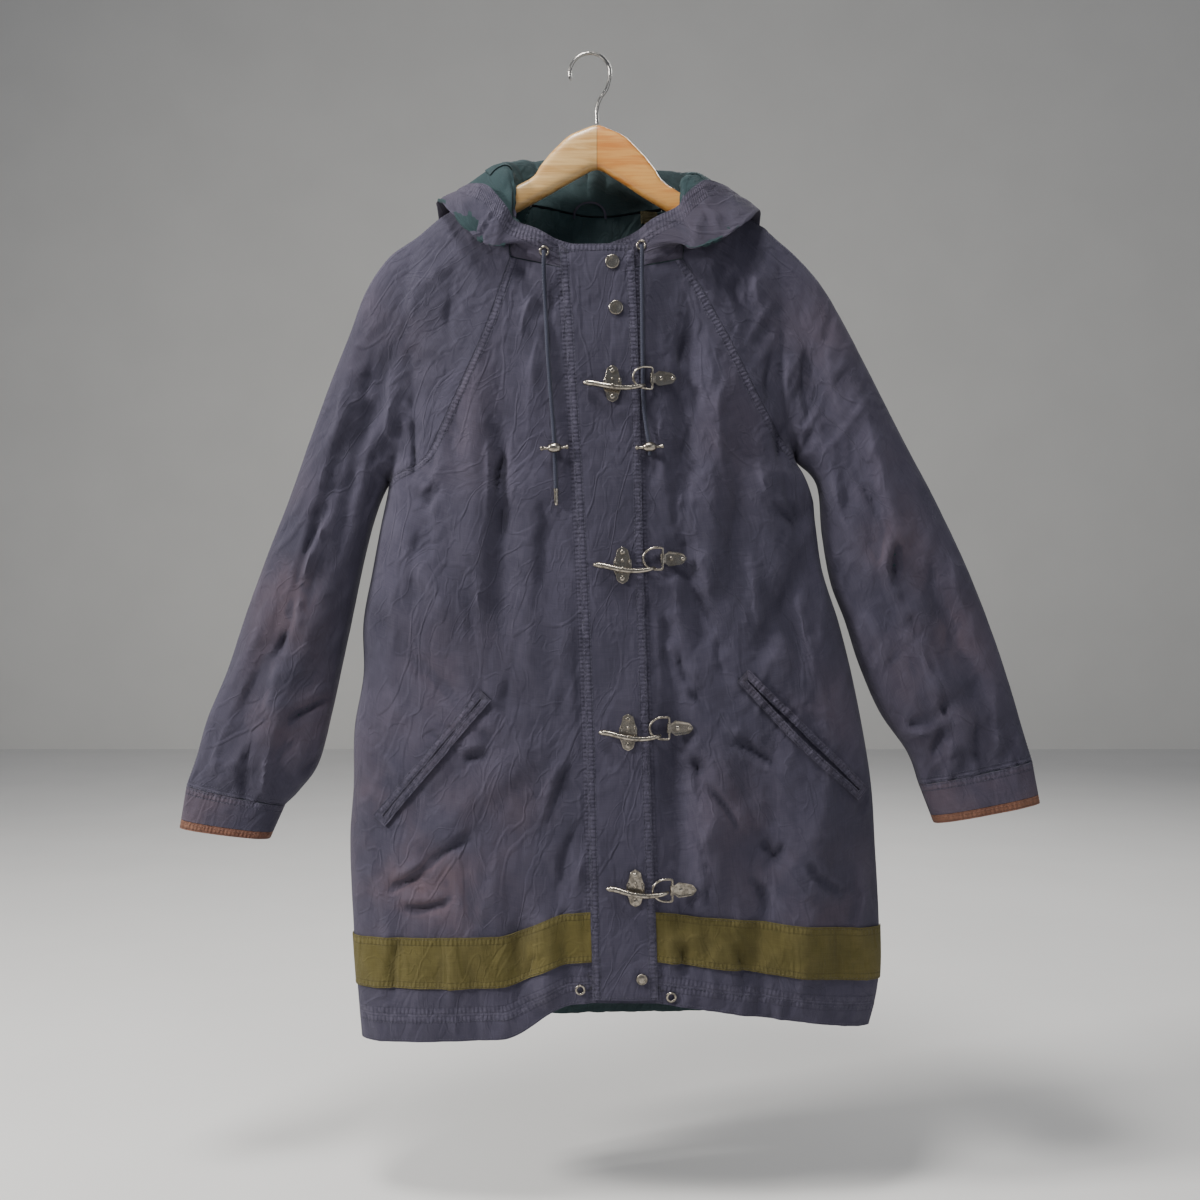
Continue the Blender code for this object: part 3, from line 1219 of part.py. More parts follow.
def eyelet(name, place, axis):
    """Pressed ring with an open hole."""
    across = axis.cross(Vector((0.0, 0.0, 1.0))).normalized()
    other = axis.cross(across)
    section = (
        (EYELET_HOLE, 0.0),
        (EYELET_HOLE, EYELET_HEIGHT),
        ((EYELET_HOLE + EYELET_RADIUS) / 2.0, EYELET_HEIGHT),
        (EYELET_RADIUS, EYELET_HEIGHT * 0.3),
        (EYELET_RADIUS, 0.0),
    )
    points = []
    for k in range(EYELET_SIDES):
        angle = 2.0 * math.pi * k / EYELET_SIDES
        spoke = across * math.cos(angle) + other * math.sin(angle)
        points += [place + spoke * radius + axis * height for radius, height in section]
    size = len(section)
    faces = []
    for k in range(EYELET_SIDES):
        beside = (k + 1) % EYELET_SIDES
        for j in range(size):
            after = (j + 1) % size
            faces.append((k * size + j, k * size + after, beside * size + after, beside * size + j))
    add_mesh(name, points, faces, METAL_COLOUR)


def cord_route(rows):
    """Smooth route of a drawcord over the cloth."""
    controls = [on_cloth(x, z, height) for x, z, height in rows]
    return smooth_path(controls, [6] * (len(controls) - 1))


def cut_route(route, high, low):
    """Stretch of a route between two heights."""
    return [p for p in route if low <= p.z <= high]


def make_cord(name, route):
    """Cord as a tube with filled ends."""
    points = resample(route, CORD_STEP)
    curve = bpy.data.curves.new(name, "CURVE")
    curve.dimensions = "3D"
    curve.bevel_depth = CORD / 2.0
    curve.bevel_resolution = 2
    curve.use_fill_caps = True
    spline = curve.splines.new("POLY")
    spline.points.add(len(points) - 1)
    for target, point in zip(spline.points, points):
        target.co = (point.x, point.y, point.z, 1.0)
    curve.materials.append(material(name + "_finish", CORD_COLOUR))
    item = bpy.data.objects.new(name, curve)
    bpy.context.scene.collection.objects.link(item)


def make_drawcords():
    """Two drawcords with their toggles; the left one ends in a metal cord end."""
    left = cord_route(CORD_LEFT)
    right = cord_route(CORD_RIGHT)
    make_cord("drawcord_left_upper", cut_route(left, 0.0, TOGGLE_LEFT[1] + TOGGLE_REACH))
    make_cord("drawcord_left_lower", cut_route(left, TOGGLE_LEFT[1] - TOGGLE_REACH, -1.0))
    make_cord("drawcord_right", cut_route(right, 0.0, TOGGLE_RIGHT[1] + TOGGLE_REACH))
    for side, (x, z) in (("left", TOGGLE_LEFT), ("right", TOGGLE_RIGHT)):
        place = on_cloth(x, z, TOGGLE_HEIGHT)
        turned(f"toggle_{side}", TOGGLE_PROFILE, TOGGLE_SIDES, place, TOGGLE_AXIS, METAL_COLOUR)
    down = (left[-1] - left[-2]).normalized()
    place = left[-1] + down * CORD_END_GAP
    turned("cord_end_left", CORD_END_PROFILE, TOGGLE_SIDES, place, down, METAL_COLOUR)


def main():
    """Build every piece."""
    clear_scene()
    fronts, left_grid, right_grid = make_fronts()
    back_grid = make_back()
    make_bands(left_grid, right_grid, back_grid)
    make_placket()
    make_sleeves()
    make_welts(fronts)
    path = neck_curve(left_grid, right_grid, back_grid)
    hood_points, hood_normals = make_hood(path)
    make_neck_trims(back_grid)
    make_hem_lining(back_grid)
    make_hanger()
    make_clasps()
    make_snaps_and_eyelets(hood_points, hood_normals)
    make_drawcords()


main()
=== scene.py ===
import functools
import math

import bmesh
import bpy
import numpy as np
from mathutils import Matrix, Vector


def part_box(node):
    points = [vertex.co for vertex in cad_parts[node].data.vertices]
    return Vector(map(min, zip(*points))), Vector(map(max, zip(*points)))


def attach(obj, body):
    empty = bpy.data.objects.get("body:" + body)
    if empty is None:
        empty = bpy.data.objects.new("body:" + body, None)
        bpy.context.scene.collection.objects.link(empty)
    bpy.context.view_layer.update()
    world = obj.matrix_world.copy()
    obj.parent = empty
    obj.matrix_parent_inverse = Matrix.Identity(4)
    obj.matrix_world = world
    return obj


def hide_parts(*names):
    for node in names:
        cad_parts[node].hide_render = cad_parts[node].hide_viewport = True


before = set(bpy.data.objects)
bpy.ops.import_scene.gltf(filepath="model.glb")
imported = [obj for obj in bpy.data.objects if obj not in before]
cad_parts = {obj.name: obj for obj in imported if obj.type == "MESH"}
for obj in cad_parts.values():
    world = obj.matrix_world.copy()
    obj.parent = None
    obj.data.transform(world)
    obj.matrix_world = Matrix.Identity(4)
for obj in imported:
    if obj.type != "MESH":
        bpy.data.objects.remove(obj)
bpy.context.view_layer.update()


def metres(*rows):
    """Rows of millimetres as rows of metres."""
    return tuple(tuple(value / 1000.0 for value in row) for row in rows)


# ---------------------------------------------------------------- driving sizes
# Tables of places and sizes are in millimetres and single values in metres.
SEAM = 0.0006            # gap between pieces at a seam
CLOTH = 0.0016           # shell cloth with its lining
TRIM = 0.0012            # bands, welts and bindings
LINING = 0.0010          # visible lining and facing
LIFT = 0.0005            # clearance under a piece that lies on another
SIDE_POWER = 2.5         # squareness of the torso's section
SHOULDER_FALL = 0.075    # height over which the cloth falls off the shoulder ridge

# Torso outline: height, left edge, right edge, front depth, back depth
TORSO = metres(
    (-120, -222, 230, 40, 28), (-236, -223, 231, 47, 34), (-347, -230, 231, 51, 40),
    (-410, -232, 232, 53, 44), (-461, -230, 233, 54, 46), (-488, -228, 250, 55, 48),
    (-535, -237, 256, 56, 50), (-589, -247, 264, 57, 52), (-645, -257, 282, 58, 54),
    (-705, -257, 297, 60, 56), (-765, -267, 309, 61, 57), (-829, -268, 319, 62, 58),
    (-890, -272, 323, 63, 60), (-990, -268, 328, 65, 62), (-1050, -264, 327, 66, 64),
    (-1120, -258, 312, 66, 64),
)

# Shoulder ridge over the hanger's arms: x, height
RIDGE = metres(
    (-300, -290), (-225, -229), (-197, -209), (-163, -182), (-92, -147), (8, -100), (112, -155),
    (188, -191), (223, -221), (300, -290),
)

# Front, one row for each line of mesh across it.  Points on the raglan seam,
# then on the side seam; the height at the placket; how late the line rises.
# left x, left z, middle z, right x, right z, and late in thousandths
FRONT_ROWS = metres(
    (-88, -242, -254, 103, -244, 0), (-103, -285, -297, 124, -276, 0), (-122, -336, -345, 146, -315, 0),
    (-143, -382, -391, 166, -352, 0), (-162, -422, -436, 186, -391, 0), (-180, -457, -478, 208, -429, 0),
    (-201, -472, -510, 221, -447, 0), (-228, -488, -545, 233, -461, 0), (-237, -535, -588, 256, -520, 0),
    (-247, -589, -633, 264, -589, 0), (-257, -645, -680, 282, -645, 100),
    (-257, -705, -730, 297, -705, 200), (-267, -765, -780, 309, -765, 400),
    (-268, -829, -829, 319, -829, 500), (-272, -890, -876, 323, -890, 700),
    (-270, -942, -919, 326, -940, 800), (-268, -996, -960, 328, -987, 900),
    (-264, -1052, -1014, 327, -1046, 900), (-262, -1082, -1037, 322, -1072, 900),
    (-258, -1112, -1059, 314, -1097, 900),
)
UNDERARM_ROW = 7
BAND_TOP_ROW = 16
BAND_LOW_ROW = 17
HEM_STITCH_ROW = 18
LATE_RISE = (0.62, 0.92)   # part of the way in where a late line rises

# Placket edges: height, left edge, right edge
PLACKET = metres(
    (-228, -34, 48), (-335, -26, 53), (-650, -8, 61), (-1060, 4, 75),
)
PLACKET_TOP = -0.228
PLACKET_FOOT = -1.0555
PLACKET_CORNER = 0.008
MEETING = 0.45            # where both fronts meet under the placket, across it

BACK_DROOP = 0.004         # how far the back's lines hang down in their middle

# Back raglan seam, from the neck to the underarm: left x, left z, middle z, right x, right z
BACK_NECK_ROWS = metres(
    (-72, -166, -178, 94, -170), (-95, -225, -235, 113, -217), (-118, -285, -293, 135, -264),
    (-140, -340, -345, 156, -312), (-162, -395, -398, 177, -358), (-184, -440, -445, 197, -402),
    (-204, -468, -480, 216, -437), (-228, -488, -508, 233, -461),
)

# Sleeves.  over x, over z: the overarm seam.  under x, under z: the underarm seam, which
# above the underarm is the front raglan seam.  front, back: depth of the tube.
SLEEVE_LEFT = metres(
    (-92, -147, -88, -242, 4, 4), (-128, -165, -103, -285, 10, 8), (-163, -182, -122, -336, 18, 14),
    (-197, -209, -143, -382, 24, 20), (-228, -231.5, -162, -422, 28, 24), (-254, -270, -180, -457, 31, 27),
    (-272, -318, -201, -472, 32, 28), (-293, -372, -228, -488, 33, 29), (-314, -430, -244, -525, 33, 29),
    (-340, -504, -257, -575, 33, 29), (-366, -570, -268, -628, 32, 28), (-390, -636, -281, -690, 31, 27),
    (-412, -702, -294, -750, 30, 26), (-433, -752, -309, -806, 28, 25), (-446, -796, -331, -837, 24, 22),
    (-458, -830, -347, -853, 20, 19),
)
SLEEVE_RIGHT = metres(
    (112, -155, 103, -244, 4, 4), (140, -168, 124, -276, 10, 8), (172, -183, 146, -315, 18, 14),
    (205, -206, 166, -352, 24, 20), (234, -230.5, 186, -391, 28, 24), (261, -262, 208, -429, 31, 27),
    (284, -300, 221, -447, 32, 28), (309, -348, 233, -461, 33, 29), (333, -396, 258, -489, 33, 29),
    (362, -452, 264, -545, 33, 29), (392, -508, 274, -600, 33, 29), (424, -576, 291, -646, 32, 28),
    (453, -648, 306, -693, 31, 27), (476, -716, 330, -748, 29, 26), (492, -770, 361, -793, 25, 23),
    (502, -802, 374, -829, 21, 20),
)
CUFF_LENGTH = 0.040
BINDING = 0.010
CUFF_LEFT_END = (-0.466, -0.878, -0.364, -0.891, 0.019, 0.018)
CUFF_RIGHT_END = (0.511, -0.850, 0.391, -0.873, 0.020, 0.019)
SLEEVE_INNER_Y = 0.004     # how far back the sleeve's inner edge lies above the underarm

# Largest folds of the front: from x, z to x, z, half width, height towards the viewer
FRONT_FOLDS = metres(
    (-80, -250, -46, -305, 10, -6.8), (-128, -330, -126, -600, 22, 7.4), (-101, -420, -97, -680, 14, -6.8),
    (-62, -480, -70, -700, 18, 4.7), (-225, -530, -150, -640, 16, 6.8), (-240, -640, -150, -730, 14, -6.1),
    (-205, -900, -60, -780, 20, 6.1), (-50, -960, -46, -1060, 14, 8.1), (-75, -975, -80, -1070, 14, -6.8),
    (110, -300, 98, -560, 13, -6.8), (140, -330, 130, -620, 20, 6.8), (98, -560, 128, -680, 13, -6.8),
    (180, -480, 240, -640, 22, 6.8), (245, -560, 180, -690, 14, -6.1), (150, -760, 120, -960, 24, 6.8),
    (95, -700, 100, -960, 14, -6.1), (250, -850, 230, -1060, 22, 7.4), (190, -860, 185, -1060, 16, -6.1),
)
BACK_FOLDS = metres(
    (-110, -300, -120, -700, 26, 7.8), (-40, -420, -30, -900, 22, -6.5), (40, -500, 50, -1000, 26, 7.2),
    (140, -320, 120, -760, 24, -6.5), (210, -560, 240, -1000, 26, 7.8), (-190, -620, -200, -1020, 24, 7.2),
    (-100, -820, -110, -1080, 22, -6.5),
)

# Folds of the sleeves: along from, to (0 neck, 1 cuff seam), across from, to
# (0 overarm, 1 underarm), half width across, height outward
SLEEVE_FOLDS = (
    (0.34, 0.62, 0.45, 0.78, 0.10, -0.0045),
    (0.45, 0.80, 0.25, 0.52, 0.12, 0.0040),
    (0.62, 0.92, 0.78, 0.48, 0.10, 0.0045),
    (0.70, 0.95, 0.40, 0.20, 0.09, -0.0035),
)

# Pocket welts: upper end x, z, lower end x, z of the slit, and how far the lower lip gapes
POCKETS = {
    "left": (-0.119, -0.729, -0.229, -0.859, 0.0),
    "right": (0.173, -0.708, 0.301, -0.832, 0.004),
}
WELT_WIDTH = 0.0085
WELT_GAP = 0.0012
WELT_LIFT = 0.0018
WELT_END = 0.0070
WELT_BULGE = 1.2           # how far a gaping lip stands out, against how far it gapes

# Hood, one row for each section round the neck, from under the placket on the left
# round the back: place along the neckline, then in millimetres the fold at the top, the low
# edge of the roll or bag, the free edge and the width of the turns, and how far they point outward
HOOD = np.array((
    (0.0, 4, -45, -246, 4, -45, -239, 4, -45, -232, 2, 0.0),
    (0.0554, -32, -45.5, -245, -32, -46, -235, -32, -45.5, -223, 2.5, 0.0),
    (0.0954, -57, -49.5, -240, -58, -52, -227, -57, -47, -211, 4, 0.1),
    (0.1425, -82, -47.5, -228, -87, -56, -227, -80, -44, -202, 5, 0.3),
    (0.1755, -84, -41, -204, -99, -60, -233, -90, -50, -189, 7, 0.8),
    (0.207, -87, -34, -190, -109, -61, -232, -99, -47, -177, 8, 1.0),
    (0.2627, -89, -21, -148, -123, -59, -222, -112, -38, -161, 9, 1.0),
    (0.3156, -98, -2, -131, -145, -50, -196, -124, -26, -154, 10, 1.0),
    (0.3356, -102, 10, -124, -164, -22, -172, -136, -8, -149, 10, 1.0),
    (0.3539, -96, 24, -119, -170, 6, -169, -142, 14, -148, 11, 1.0),
    (0.37, -90, 33, -116, -170, 30, -186, -143, 36, -150, 11, 1.0),
    (0.3866, -80, 41, -113, -162, 48, -222, -138, 60, -156, 13, 1.0),
    (0.4306, -50, 49, -112, -110, 70, -320, -92, 96, -150, 20, 1.0),
    (0.5036, 8, 52, -116, 10, 76, -350, 10, 108, -146, 22, 1.0),
    (0.5761, 64, 50, -122, 130, 70, -325, 112, 96, -152, 20, 1.0),
    (0.6172, 98, 42, -126, 182, 48, -236, 160, 60, -162, 13, 1.0),
    (0.6371, 108, 34, -128, 190, 30, -198, 164, 36, -157, 11, 1.0),
    (0.6502, 113, 24, -131, 190, 6, -180, 162, 14, -154, 11, 1.0),
    (0.6663, 119, 10, -134, 184, -22, -184, 156, -8, -153, 10, 1.0),
    (0.6844, 117, -2, -139, 166, -50, -205, 143, -26, -153, 10, 1.0),
    (0.7355, 108, -21, -154, 144, -59, -223, 128, -38, -154, 9, 1.0),
    (0.7883, 104, -34, -194, 124, -61, -233, 113, -47, -166, 8, 1.0),
    (0.8181, 100, -41, -208, 112, -60, -235, 103, -50, -177, 7, 0.8),
    (0.8492, 97, -47.5, -230, 100, -56, -228, 94, -44, -187, 5, 0.3),
    (0.9, 71, -49.5, -241, 71, -52, -227, 69, -47, -200, 4, 0.1),
    (0.9322, 49, -46, -245, 49, -46.5, -233, 46, -45.5, -216, 2.5, 0.0),
    (1.0, 8, -45, -246, 8, -45, -239, 8, -45, -232, 2, 0.0),
))
HOOD[:, 1:11] /= 1000.0
HOOD_CENTRE_ROWS = (12, 14)     # the strip between the hood's two sides
HOOD_LINING_ROWS = (7, 19)      # the lining shows between these rows
NECK_CENTRE = (0.008, 0.0, 0.0)
NECK_STAND = (0.0, 0.0, 0.0012)
NECK_INSET = 0.0022
NECK_SIDES = (-0.0875, 0.1035)   # beyond these the hood lies on the shoulders
HOOD_CLEAR = 0.0040
PLACKET_CLEAR = 0.0022

# Hanger arms: x, top, bottom, half depth
HANGER_SECTIONS = metres(
    (-205, -226.5, -239, 7), (-195, -219, -240, 10), (-150, -183, -210, 11), (-95, -156, -185, 10.5),
    (-64, -140, -168, 10), (-56, -127, -164, 10), (-45, -113, -158, 10), (-24, -92, -146, 9.5),
    (8, -79, -128, 9), (40, -93, -148, 9.5), (61, -115, -162, 10), (73, -130, -169, 10),
    (82, -145, -174, 10), (112, -164, -193, 10.5), (165, -188, -216, 11), (207, -218, -243, 10),
    (217, -227, -241, 7),
)
HANGER_SQUARE = 0.6          # less than 1 makes the wood's section squarer
HOOK_WIRE = 0.0040
HOOK_RADIUS = 0.0210        # inside of the hook's arc
HOOK_ARC = (200.0, -15.0)   # degrees, from the tip over the top
HOOK_NECK = ((0.0190, -0.0385), (0.0115, -0.0500), (0.0080, -0.0610), (0.0080, -0.0785))

# Clasps: x and z of the lever's pivot end, height of the ring over it, reach to the ring's
# bar, how far the ring's bow stands out from the bar, and the lever's extra height there.
# The first one stands out more, over the right drawcord.
CLASPS = metres(
    (-3, -383, 6, 72, 8.2, 4.2), (8, -582, 7, 72, 1, 1.2), (14, -764, 4, 73, 1, 1.2),
    (22, -933, -2, 68, 0.6, 2),
)
# x, z, height over the placket, radius
LEVER_PATH = metres(
    (-4, 0, 5.2, 1.6), (0, 0, 5.4, 3), (8, -1, 6.2, 3.2), (18, -3.5, 7.8, 3.1), (30, -5.8, 8.8, 3),
    (43, -6.6, 8.8, 2.8), (53, -5.6, 8.4, 2.5), (59.5, -4.2, 7.4, 2.2), (62.2, -3.6, 5.2, 1.8),
    (62.6, -3.4, 3.4, 1.3),
)
# half width at each height of the base plate
BASE_OUTLINE = metres(
    (20, 3), (18, 5.5), (8, 7.8), (4, 9.8), (-6, 9.8), (-10, 7.8), (-18.5, 5.5), (-20.5, 3),
)
BASE_RIVETS = ((0.0140, 0.0026), (-0.0145, 0.0026), (0.0050, 0.0016))     # height on the base, radius
BASE_EAR = ((0.0002, 0.0052), (-0.0022, 0.0035), (-0.0028, 0.0005))       # depth from the base's face, height
BASE_X = 0.0280
BASE_THICK = 0.0016
BASE_REACH = (0.010, 0.020)    # half width and half height of the cloth under the base
PLATE_REACH = (0.014, 0.009)   # the same under the ring's plate
BASE_CLEAR = 0.0012            # gap under a base or ring plate
LEVER_CLEAR = 0.0008
CURL_CLEAR = 0.0004            # gap between a ring's bar and the plate curled round it
RING_WIRE = 0.0026
RING_HEIGHT = 0.0265
RING_DEPTH = 0.0215
RING_STRAIGHT = 0.0070
PLATE_THICK = 0.0012
PLATE_LENGTH = 0.0260
PLATE_WIDTHS = (0.0100, 0.0165, 0.0150, 0.0120, 0.0070)   # curl, root, then to the tip

# Snap caps: x, z, radius
SNAPS = ((0.025, -0.248, 0.0080), (0.029, -0.299, 0.0080), (0.057, -1.032, 0.0062))
SNAP_HEIGHT = 0.0028
SNAP_PROFILE = (            # shares of a cap's height and radius
    (0.0, 0.90), (0.15, 0.97), (0.40, 1.0), (0.66, 0.97), (0.80, 0.91), (0.86, 0.85), (0.85, 0.79), (0.79, 0.74),
    (0.82, 0.66), (0.90, 0.50), (0.96, 0.32), (0.99, 0.16), (1.0, 0.02),
)
SNAP_CLEAR = 0.0005
EYELET_RADIUS = 0.0058
EYELET_HOLE = 0.0033
EYELET_HEIGHT = 0.0014
HEM_EYELETS = {"left": (-0.0100, -1.0440), "right": (0.0890, -1.0520)}

# Drawcords, their routes: x, z, and height of the cord's middle over the cloth
CORD = 0.0046
CORD_LEFT = metres(
    (-50, -238, 10.4), (-50.2, -247, 10.8), (-50, -265, 6.6), (-48.5, -300, 4.4), (-46.2, -345, 4),
    (-43, -390, 4), (-39.8, -430, 4.8), (-38.4, -454, 6.6), (-37.8, -470, 5.2), (-37, -490, 4.2),
    (-36.8, -498, 4),
)
CORD_RIGHT = metres(
    (57.2, -231, 10.4), (57.4, -240, 10.8), (57.4, -260, 6.6), (57.6, -300, 4.4), (58, -340, 4),
    (58.4, -370, 3.2), (58.8, -400, 3.2), (62, -430, 4.6), (65.6, -453, 6.6), (66.2, -462, 6.6),
)
# along the barrel from its middle, radius
TOGGLE_PROFILE = metres(
    (-15.5, 1.8), (-15, 2.4), (-13, 2.4), (-12.2, 1.7), (-8, 1.9), (-5.5, 4.2), (0, 5.5), (5.5, 4.2),
    (8, 1.9), (12.2, 1.7), (13, 2.4), (15, 2.4), (15.5, 1.8),
)
TOGGLE_LEFT = (-0.0384, -0.4540)
TOGGLE_RIGHT = (0.0656, -0.4530)
TOGGLE_HEIGHT = 0.0066
TOGGLE_AXIS = (1.0, 0.0, 0.06)
# along the cord end, radius
CORD_END_PROFILE = metres(
    (0, 2.64), (3, 2.64), (4, 2.4), (16, 2.16), (18, 1.44),
)
CORD_END_GAP = 0.0006

# Loop and tab at the back neck: middle x, width or span
LOOP_FEET = (-0.019, 0.018)
LOOP_RISE = 0.019
LOOP_WIDTH = 0.0025
LOOP_FOOT_Z = -0.1800
LOOP_STAND = 0.004         # how far the loop hangs in front of the facing
LOOP_TWIST = 0.002
TRIM_CLEAR = 0.0008        # gap between the facing and what is sewn on it
TAB_X = (0.058, 0.079)
TAB_Z = (-0.1705, -0.1845)
FACING_DEPTH_ROWS = 2


# ---------------------------------------------------------------- looks
FINE = 0.0033                 # mesh step over the cloth
EDGE_OFFSETS = (0.0, 0.0008, 0.0016, 0.0026, 0.0045, 0.0064, 0.0078, 0.0088, 0.0100, 0.013)
STITCH_PITCH = 0.0036
STITCH_LENGTH = 0.0027
STITCH_WIDTH = 0.00055
SEAM_STITCHES = (0.0016, 0.0088)     # distances of stitched lines from a seam
SLEEVE_STITCHES = (0.0016, 0.0070)
HEM_STITCHES = (0.0025, 0.0215)
BAND_STITCH = 0.0020
CLOTH_GROOVES = (0.0016, 0.0080)     # distances of the sunken lines along a seam
GROOVE_HALF = 0.0012
STITCH_LIFT = 0.00005                 # height of the thread over the cloth
FRONT_WIDTH = 0.22                   # rough widths, for the mesh steps alone
BACK_WIDTH = 0.50
PLACKET_WIDTH = 0.080
BAND_WIDTH = 0.053
SLEEVE_LENGTH = 0.75
NO_SEAM = 0.05                       # distance to a seam where none is near
BACK_FINE = 0.0042
BACK_OFFSETS = (0.0, 0.0008, 0.0016, 0.003, 0.006, 0.0088, 0.011, 0.014)
PLACKET_OFFSETS = (0.0, 0.0008, 0.0016, 0.0026, 0.0045, 0.0064, 0.0076, 0.0086, 0.0098, 0.012)
HOOD_STEP = 0.0040
WELT_FINE = 70                    # mesh rows along a welt's strip
NECK_FINE = 80                    # points along each front's and the back's neckline
HOOD_FINE = (8, 8, 16, 8, 16)     # mesh steps over the hood: rise, top turn, fall, low turn, outer face
HOOD_RELIEF = 1.5
HOOD_HEM = 0.016                  # from the hood's free edge to its stitched line
CREASE_SHARE = 2.10               # how deep the creases are, against their rows
FRONTWARD = np.array((0.0, -1.0, 0.0))
CAMERA_PLACE = (0.0114, -1.5, -0.6202)
CAMERA_LENS = 39.545
FLOOR_Z = -1.30
WORLD_LIGHT = 0.20
WORLD_COLOUR = (0.80, 0.86, 1.0, 1.0)
LIGHTS_AIM = (0.0, 0.0, -0.60)
CREVICE_COLOUR = (0.02, 0.018, 0.015)
JOINT_COLOUR = (0.12, 0.05, 0.015)

# Soft lights: place, size, power, colour
LIGHTS = (
    ("window", (-2.6, -0.9, 0.8), (0.5, 0.5), 115.0, (1.0, 0.98, 0.95)),
    ("room", (2.2, -2.4, 0.0), (2.0, 2.0), 15.0, (0.95, 0.97, 1.0)),
    ("above", (-0.4, -0.8, 1.5), (0.5, 0.5), 46.0, (1.0, 0.99, 0.97)),
    ("behind", (0.9, 2.2, 1.3), (1.2, 0.9), 46.0, (1.0, 0.99, 0.97)),
)

# Creases: from x, z to x, z, half width, height outward, bow sideways
FRONT_CREASES = metres(
    (-210, -330, -196, -415, 6, -5, 6), (-196, -410, -194, -490, 5, -4.5, 2),
    (-188, -505, -170, -470, 6, 3, 4), (-184, -520, -164, -488, 4, -3, 3),
    (-92, -448, -100, -510, 3.5, -4.2, 3), (-100, -505, -102, -560, 4, -3.4, -2),
    (-110, -430, -113, -545, 8, 3.2, 4), (-84, -430, -88, -530, 8, 2.8, 2),
    (-120, -585, -118, -675, 5.5, 3, 3), (-131, -600, -130, -690, 5, -2.4, 2),
    (-140, -345, -148, -500, 10, -3, 6), (-165, -430, -172, -590, 8, 3, 4),
    (-186, -530, -196, -640, 9, -3, 5), (-214, -560, -222, -700, 8, 2.6, 4),
    (-60, -330, -66, -450, 8.5, 2.6, 3), (-46, -500, -52, -640, 7, -2.6, 3),
    (-30, -640, -44, -760, 7.5, 2.6, -4), (-78, -640, -90, -760, 9, -2.6, 5),
    (-58, -275, -76, -340, 6, 3, 3), (-140, -796, -104, -798, 4, -3.4, -4),
    (-142, -786, -110, -784, 5, 3, -4), (-226, -945, -180, -920, 4.5, -3.4, 3),
    (-182, -918, -128, -880, 5, -3.6, -4), (-222, -934, -176, -904, 6, 3.4, 3),
    (-216, -966, -146, -952, 4.5, -3, 4), (-214, -957, -150, -941, 6, 2.6, 4),
    (-172, -900, -120, -860, 5.5, 3, -3), (-18, -790, -48, -872, 4.5, -3.4, 4),
    (-26, -784, -60, -866, 6, 3, 4), (-10, -855, -36, -955, 5, -3.4, 5), (-2, -880, -22, -985, 6, 2.6, 4),
    (-100, -880, -112, -990, 11, 3, 6), (-150, -985, -156, -1075, 9, 3, 3),
    (-215, -975, -220, -1085, 11, -2.8, 4), (-60, -1000, -64, -1040, 7, -3.4, 2),
    (202, -340, 200, -420, 6, -4.8, 3), (200, -418, 215, -480, 5, -4.6, -4),
    (214, -476, 240, -540, 5, -4.6, 4), (204, -520, 236, -552, 4.5, -4, -5),
    (198, -505, 232, -534, 6, 3, -5), (188, -430, 198, -520, 7, 3, 4), (108, -320, 100, -372, 5, -3.6, 4),
    (102, -368, 116, -420, 4.5, -3.6, -4), (114, -418, 100, -478, 4.5, -3.8, 3),
    (102, -498, 98, -545, 5.5, 3.6, 2), (103, -548, 111, -604, 3.8, -5.6, 2),
    (110, -602, 137, -660, 3.8, -5.4, -3), (92, -560, 100, -626, 6, 3.6, 3),
    (118, -560, 130, -622, 7, 3.4, 3), (136, -658, 150, -710, 5, -3, 3), (150, -360, 146, -520, 8, 2.8, 5),
    (164, -470, 160, -610, 8, -2.8, 4), (182, -560, 186, -680, 9, 3, 3), (214, -590, 228, -700, 8, -2.8, 4),
    (236, -600, 252, -730, 7, 2.8, 3), (74, -400, 78, -520, 6, 2.2, 2), (80, -620, 86, -720, 6.5, -2.6, 3),
    (94, -668, 110, -722, 4.5, -4.4, 3), (108, -718, 126, -748, 4, -3.6, -3),
    (104, -676, 120, -716, 5.5, 3.2, 2), (112, -790, 126, -812, 4, -3.6, 2),
    (146, -774, 214, -812, 5, -4, -8), (144, -762, 206, -798, 6, 3, -8),
    (124, -824, 162, -888, 5, -3.8, -6), (130, -816, 170, -880, 6, 2.8, -6),
    (120, -792, 116, -870, 5.5, -4.6, 4), (116, -868, 125, -958, 5.5, -4.6, -4),
    (132, -840, 136, -960, 9, 3.4, 4), (190, -884, 216, -912, 4.5, -3.6, 2),
    (214, -884, 192, -914, 4.5, -3.4, -2), (238, -908, 286, -952, 5, -3.8, 4),
    (242, -898, 290, -940, 6, 2.8, 4), (178, -920, 196, -974, 5.5, -3.6, -3),
    (188, -914, 206, -968, 6, 2.8, -3), (100, -985, 104, -1044, 6, -3.6, 2),
    (136, -990, 140, -1062, 8, 3.8, 3), (166, -990, 168, -1060, 6, -3.6, 3),
    (268, -960, 272, -1060, 11, -3, 3), (300, -900, 304, -1020, 9, 2.8, 3),
)
